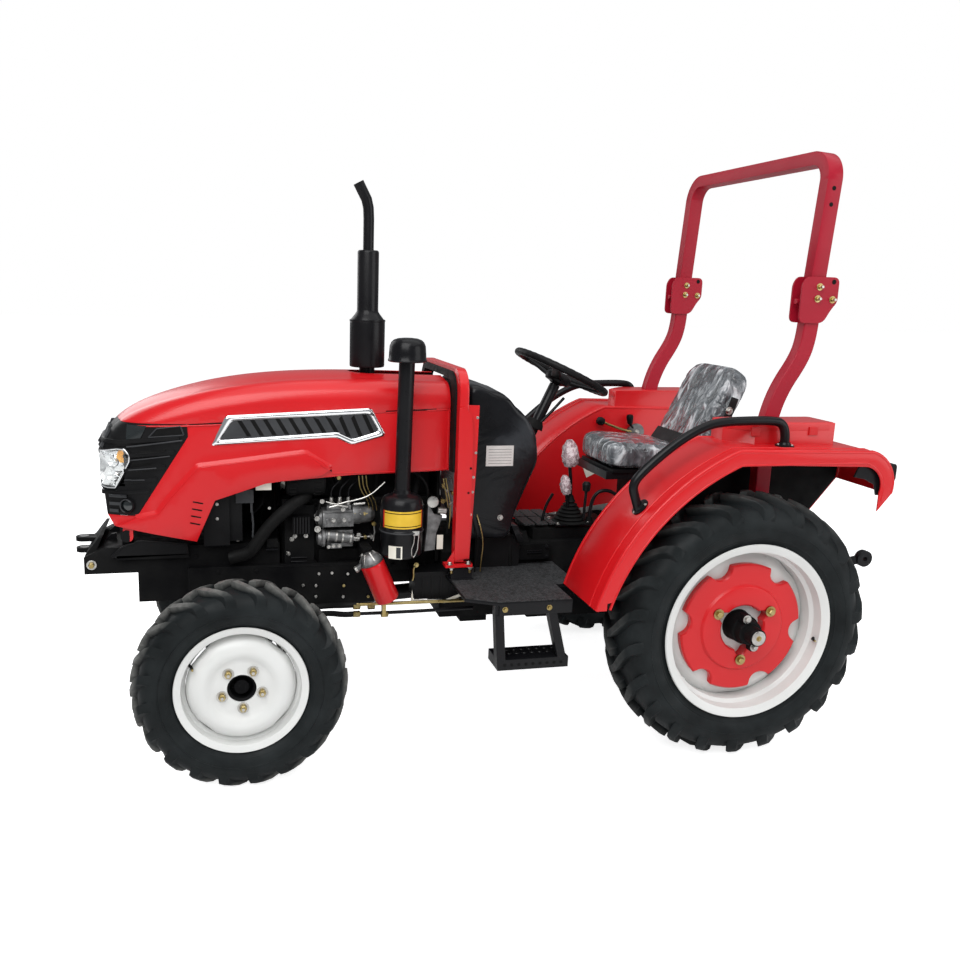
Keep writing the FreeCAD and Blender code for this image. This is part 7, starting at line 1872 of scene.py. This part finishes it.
def gear_levers(piece, x, y):
    """Gear lever and a shorter one, both with knobs in film."""
    pipe(piece, [at(x, y, 850), at(x + 4, y + 6, 930), at(x + 18, y + 14, 1010), at(x + 24, y + 18, 1050)],
         0.0075, BLACK, 16)
    wrapped_knob(piece, at(455, y + 14, 1000), at(472, y + 22, 1108), 0.034, 3)
    pipe(piece, [at(455, y + 20, 800), at(470, y + 24, 870), at(480, y + 26, 925)], 0.0065, BLACK, 16)
    wrapped_knob(piece, at(472, y + 24, 884), at(487, y + 28, 962), 0.023, 9)


def small_levers(piece):
    """Pedal rod, a bent lever on its base and a short lever with a knob."""
    pipe(piece, [at(560, 60, 762), at(548, 62, 830), at(520, 66, 880)], 0.006, BLACK, 14)
    piece.lathe(at(372, 110, 757), UP, [(0, 0.026), (0.010, 0.026), (0.014, 0.016), (0.030, 0.012)],
                CASTING, 28)
    pipe(piece, [at(372, 110, 780), at(368, 112, 850), at(345, 116, 895), at(300, 120, 902),
                 at(262, 122, 882)], 0.0075, BLACK, 16)
    pipe(piece, [at(400, 118, 780), at(398, 120, 860), at(396, 120, 905)], 0.006, BLACK, 14)
    piece.lathe(at(396, 120, 898), UP, [(0, 0.010), (0.004, 0.016), (0.030, 0.018), (0.040, 0.012)],
                PLASTIC, 24)


def lift_levers(piece):
    """Plate inside the far fender with its disc, the long lift lever and a short one."""
    plate = rounded_run([(-20, 930), (-24, 1080), (-98, 1086), (-104, 930)], 22, 5)
    piece.prism([at(p[0], -439, p[1]) for p in plate], (0, 0.022, 0), GREY)
    piece.lathe(at(-61, -417, 1060), ACROSS, [(0, 0.040), (0.008, 0.040), (0.010, 0.030), (0.014, 0.012)],
                ALLOY, 36)
    piece.bolt(at(-61, -403, 1060), ACROSS, 0.013, STEEL)
    pipe(piece, [at(-40, -412, 1062), at(0, -410, 1068), at(60, -408, 1088), at(112, -406, 1108)], 0.0062,
         BRASS, 14)
    piece.lathe(at(106, -406, 1106), Vector((0.93, 0, 0.36)), [(0, 0.009), (0.006, 0.017), (0.022, 0.020),
                                                               (0.036, 0.015), (0.040, 0.002)], PLASTIC, 28)
    piece.rod(at(-52, -412, 1066), at(-24, -410, 1104), 0.006, BLACK, 14)
    piece.lathe(at(-27, -410, 1098), Vector((0.1, 0, 1)), [(0, 0.010), (0.006, 0.013), (0.034, 0.017),
                                                           (0.044, 0.013), (0.046, 0.002)], PLASTIC, 28)


def side_fittings():
    """Steering pipes, battery box and the small parts behind the air cleaner."""
    piece = Piece("side_fittings")
    steering_pipes(piece)
    battery_box(piece)
    bracket_and_hoses(piece)
    piece.done("chassis", bevel=0.001, smooth=45)


def steering_pipes(piece):
    """Two pipes along the frame with their unions, and the hoses that go on to the axle."""
    for z, drop, back in ((520, -4, 982), (483, 0, 970)):
        pipe(piece, [at(1375, 300, z), at(1200, 302, z - 1), at(back, 300, z + drop),
                     at(back - 60, 280, z + drop - 6)], 0.0068, BRASS if z == 520 else BLACK, 14, 2)
    for x, z in ((1375, 514), (1319, 511), (1267, 477), (1375, 483)):
        piece.lathe(at(x - 16, 301, z), AHEAD, [(0, 0.009), (0.002, 0.012), (0.026, 0.012), (0.028, 0.009)],
                    BRASS, 6)
    piece.block(at(1262, 290, 470), at(1276, 316, 526), BRASS)
    for z, dip in ((520, 498), (483, 468)):
        pipe(piece, [at(1372, 300, z), at(1420, 286, z - 6), at(1465, 235, dip), at(1530, 205, dip - 14),
                     at(1620, 175, dip - 10)], 0.011, RUBBER, 14, 3)


def battery_box(piece):
    """Ribbed box with its lid and the strap below it."""
    piece.block(at(980, 160, 516), at(1142, 262, 622), PLASTIC)
    for k in range(4):
        piece.block(at(996 + 36 * k, 261, 524), at(1004 + 36 * k, 265, 614), PLASTIC)
    piece.block(at(976, 158, 608), at(1146, 266, 626), PLASTIC)
    piece.prism([at(1156, 282, 562), at(1150, 282, 524), at(1022, 282, 517), at(962, 282, 540),
                 at(962, 282, 528), at(1022, 282, 504), at(1160, 282, 512)], (0, 0.004, 0), CREAM)


def bracket_and_hoses(piece):
    """Cast bracket, tag, bolts, hoses and fuel pipes."""
    piece.prism([at(1098, 250, 900), at(1074, 250, 856), at(1040, 250, 850), at(1064, 250, 780),
                 at(1068, 250, 716), at(1108, 250, 712), at(1100, 250, 810)], (0, 0.020, 0), ALLOY)
    piece.lathe(at(1080, 262, 905), ACROSS, [(0, 0.022), (0.010, 0.022), (0.012, 0.012)], STEEL, 28)
    piece.rod(at(1060, 270, 872), at(1028, 272, 868), 0.012, STEEL, 20)
    piece.block(at(1036, 268, 718), at(1060, 271, 774), CREAM)
    pipe(piece, [at(1135, 262, 657), at(1150, 264, 640), at(1146, 264, 612), at(1151, 262, 594)], 0.004,
         BRASS, 10)
    piece.bolt(at(1137, 262, 655), ACROSS, 0.010, BRASS)
    for x, z, size, mat in ((1027, 952, 0.010, BRASS), (1022, 893, 0.012, BRASS), (992, 880, 0.009, STEEL),
                            (985, 922, 0.009, BRASS), (1010, 930, 0.008, STEEL)):
        piece.bolt(at(x, 205, z), ACROSS, size, mat)
        piece.rod(at(x, 170, z), at(x, 205, z), size * 0.5, mat, 12)
    pipe(piece, [at(1150, 200, 1010), at(1110, 214, 990), at(1085, 214, 940), at(1090, 210, 905)], 0.005,
         RUBBER, 12)
    pipe(piece, [at(1040, 190, 1000), at(1034, 204, 950), at(1022, 206, 900), at(1000, 200, 850),
                 at(1004, 200, 760)], 0.006, RUBBER, 12)
    for dx in (0, 10):
        pipe(piece, [at(1024 - dx, 196, 980), at(1016 - dx, 206, 930), at(1002 - dx, 204, 870),
                     at(1006 - dx, 200, 780)], 0.0028, BRASS, 10)


# ---------------------------------------------------------------- stage, light and camera

def backdrop(scene):
    """World that the camera sees as white, while its own light is soft and weak."""
    world = bpy.data.worlds.new("studio")
    scene.world = world
    world.use_nodes = True
    tree = world.node_tree
    plain = tree.nodes["Background"]
    set_inputs(plain, Color=(0.80, 0.82, 0.85, 1), Strength=0.32)
    seen = add_node(tree, "Background", Color=(1, 1, 1, 1))
    path = add_node(tree, "LightPath")
    either = add_node(tree, "Math")
    either.operation = "MAXIMUM"
    mix = add_node(tree, "MixShader")
    wire(tree, path, "Is Camera Ray", either, 0)
    wire(tree, path, "Is Transmission Ray", either, 1)
    wire(tree, either, "Value", mix, "Fac")
    wire(tree, plain, "Background", mix, 1)
    wire(tree, seen, "Background", mix, 2)
    wire(tree, mix, "Shader", tree.nodes["World Output"], "Surface")


def floor_finish():
    """Pale matt floor with a glow that only the camera sees, so that it reads as white."""
    mat = bpy.data.materials.new("floor")
    mat.use_nodes = True
    tree = mat.node_tree
    shader = tree.nodes["Principled BSDF"]
    set_inputs(shader, Base_Color=(0.86, 0.86, 0.86, 1), Roughness=0.9)
    glow = add_node(tree, "Emission", Color=(1, 1, 1, 1))
    path = add_node(tree, "LightPath")
    share = add_node(tree, "Math")
    share.operation = "MULTIPLY"
    share.inputs[1].default_value = 0.8
    blend = add_node(tree, "AddShader")
    choose = add_node(tree, "MixShader")
    wire(tree, path, "Is Camera Ray", share, 0)
    wire(tree, share, "Value", glow, "Strength")
    wire(tree, shader, "BSDF", blend, 0)
    wire(tree, glow, "Emission", blend, 1)
    wire(tree, path, "Is Camera Ray", choose, "Fac")
    wire(tree, shader, "BSDF", choose, 1)
    wire(tree, blend, "Shader", choose, 2)
    wire(tree, choose, "Shader", tree.nodes["Material Output"], "Surface")
    return mat


def studio_floor(scene):
    """Flat floor at the ground's height."""
    reach = 40
    mesh = bpy.data.meshes.new("floor")
    mesh.from_pydata([(-reach, -reach, 0), (reach, -reach, 0), (reach, reach, 0), (-reach, reach, 0)], [],
                     [(0, 1, 2, 3)])
    mesh.materials.append(floor_finish())
    floor = bpy.data.objects.new("floor", mesh)
    scene.collection.objects.link(floor)


def lamp(scene, name, place, aim, size, power):
    """Square soft light in metres and watts, turned towards a point."""
    data = bpy.data.lights.new(name, "AREA")
    data.size = size
    data.energy = power
    light = bpy.data.objects.new(name, data)
    light.location = place
    light.rotation_euler = (Vector(aim) - Vector(place)).to_track_quat("-Z", "Y").to_euler()
    scene.collection.objects.link(light)


def photo_camera(scene):
    """Camera at the photo's angle, fitted to the wheels and the frame."""
    place = at(1883.2, 3644.7, 1704.9)
    yaw, pitch, roll = -0.2336, 0.212, 0.0285
    ahead = Vector((math.sin(yaw) * math.cos(pitch), -math.cos(yaw) * math.cos(pitch), -math.sin(pitch)))
    right = ahead.cross(UP).normalized()
    up = right.cross(ahead)
    turned_right = math.cos(roll) * right + math.sin(roll) * up
    turned_up = -math.sin(roll) * right + math.cos(roll) * up
    data = bpy.data.cameras.new("camera")
    data.sensor_width = 36
    data.lens = 35.09
    data.shift_x = 0.0487
    data.shift_y = 0.0086
    data.clip_end = 200
    camera = bpy.data.objects.new("camera", data)
    facing = Matrix((turned_right, turned_up, -ahead)).transposed().to_4x4()
    camera.matrix_world = Matrix.Translation(place) @ facing
    scene.collection.objects.link(camera)
    scene.camera = camera


def stage():
    """White backdrop and floor, soft studio light, and the camera."""
    scene = bpy.context.scene
    scene.view_settings.view_transform = "Standard"
    backdrop(scene)
    studio_floor(scene)
    lamp(scene, "key", (2.5, 4.5, 5.5), (0, 0, 0.8), 5.0, 400)
    lamp(scene, "top", (-1.0, 0.5, 6.0), (0, 0, 0.8), 7.0, 190)
    lamp(scene, "fill", (-5.0, 4.0, 2.5), (0, 0, 0.8), 4.0, 110)
    lamp(scene, "rim", (3.5, -5.0, 3.5), (0, 0, 0.9), 4.0, 90)
    photo_camera(scene)


# ---------------------------------------------------------------- finishes of the CAD nodes that stay

def dress(names, mat, bevel=0.0015):
    """Gives CAD nodes their finish, with softened edges."""
    for name in names:
        node = frame["nodes"][name]
        custom = node.data.attributes.get("custom_normal")
        if custom:
            node.data.attributes.remove(custom)
        node.data.materials.clear()
        node.data.materials.append(mat)
        weld = node.modifiers.new("weld", "WELD")
        weld.merge_threshold = 0.00001
        if bevel:
            edge = node.modifiers.new("edges", "BEVEL")
            edge.width = bevel
            edge.segments = 2
            edge.limit_method = "ANGLE"
            edge.angle_limit = math.radians(35)
        node.data.polygons.foreach_set("use_smooth", [True] * len(node.data.polygons))
        smooth = node.modifiers.new("smooth", "EDGE_SPLIT")
        smooth.split_angle = math.radians(32)
        smooth.use_edge_sharp = False


def main():
    """Builds the stage and every piece, then gives the CAD nodes that stay their finish."""
    stage()
    for build in (front_tyre, rear_tyre, front_rim, rear_rim, wheel_weight, rear_hub, vent, hood_lines,
                  hood_gaps, grille_detail, grille_wings, headlamp_bowls, indicator_lenses, headlamp_lenses,
                  headlamp_bezels, fog_lamps, engine_detail, rail_bolts, engine_right_detail,
                  fittings_detail, radiator_detail, oil_filter_detail, air_cleaner_detail, air_cleaner_band,
                  exhaust_detail, arch_detail, hood_seal_detail, steering_wheel_detail, cowl_detail,
                  cowl_trim, seat_detail, seat_trim, front_detail, deck_detail, fender_detail,
                  tail_lamp_detail, roll_bar_detail, hoop_holes, grab_rail_detail, controls_detail,
                  side_fittings):
        build()
    dress(["hood_top", "hood_side_left", "hood_side_right", "fender_left", "fender_right"], RED, 0.002)
    dress(["roll_bar_hoop"], DARK_RED, 0.004)
    dress(["front_bracket", "side_rails", "engine", "clutch_housing", "gearbox", "rear_axle_housing",
           "hydraulic_lift", "front_axle", "knuckle_left", "knuckle_right", "lift_arms"], CASTING, 0.004)
    dress(["radiator", "drawbar", "driveshaft", "steering_column", "seat_frame",
           "pedals", "tie_rod", "lift_rods", "lower_links", "platform_left", "platform_right",
           "grab_rails"], BLACK, 0.0015)
    dress(["grille"], PLASTIC, 0.003)
    dress(["power_take_off", "steering_ram"], STEEL, 0.001)


main()
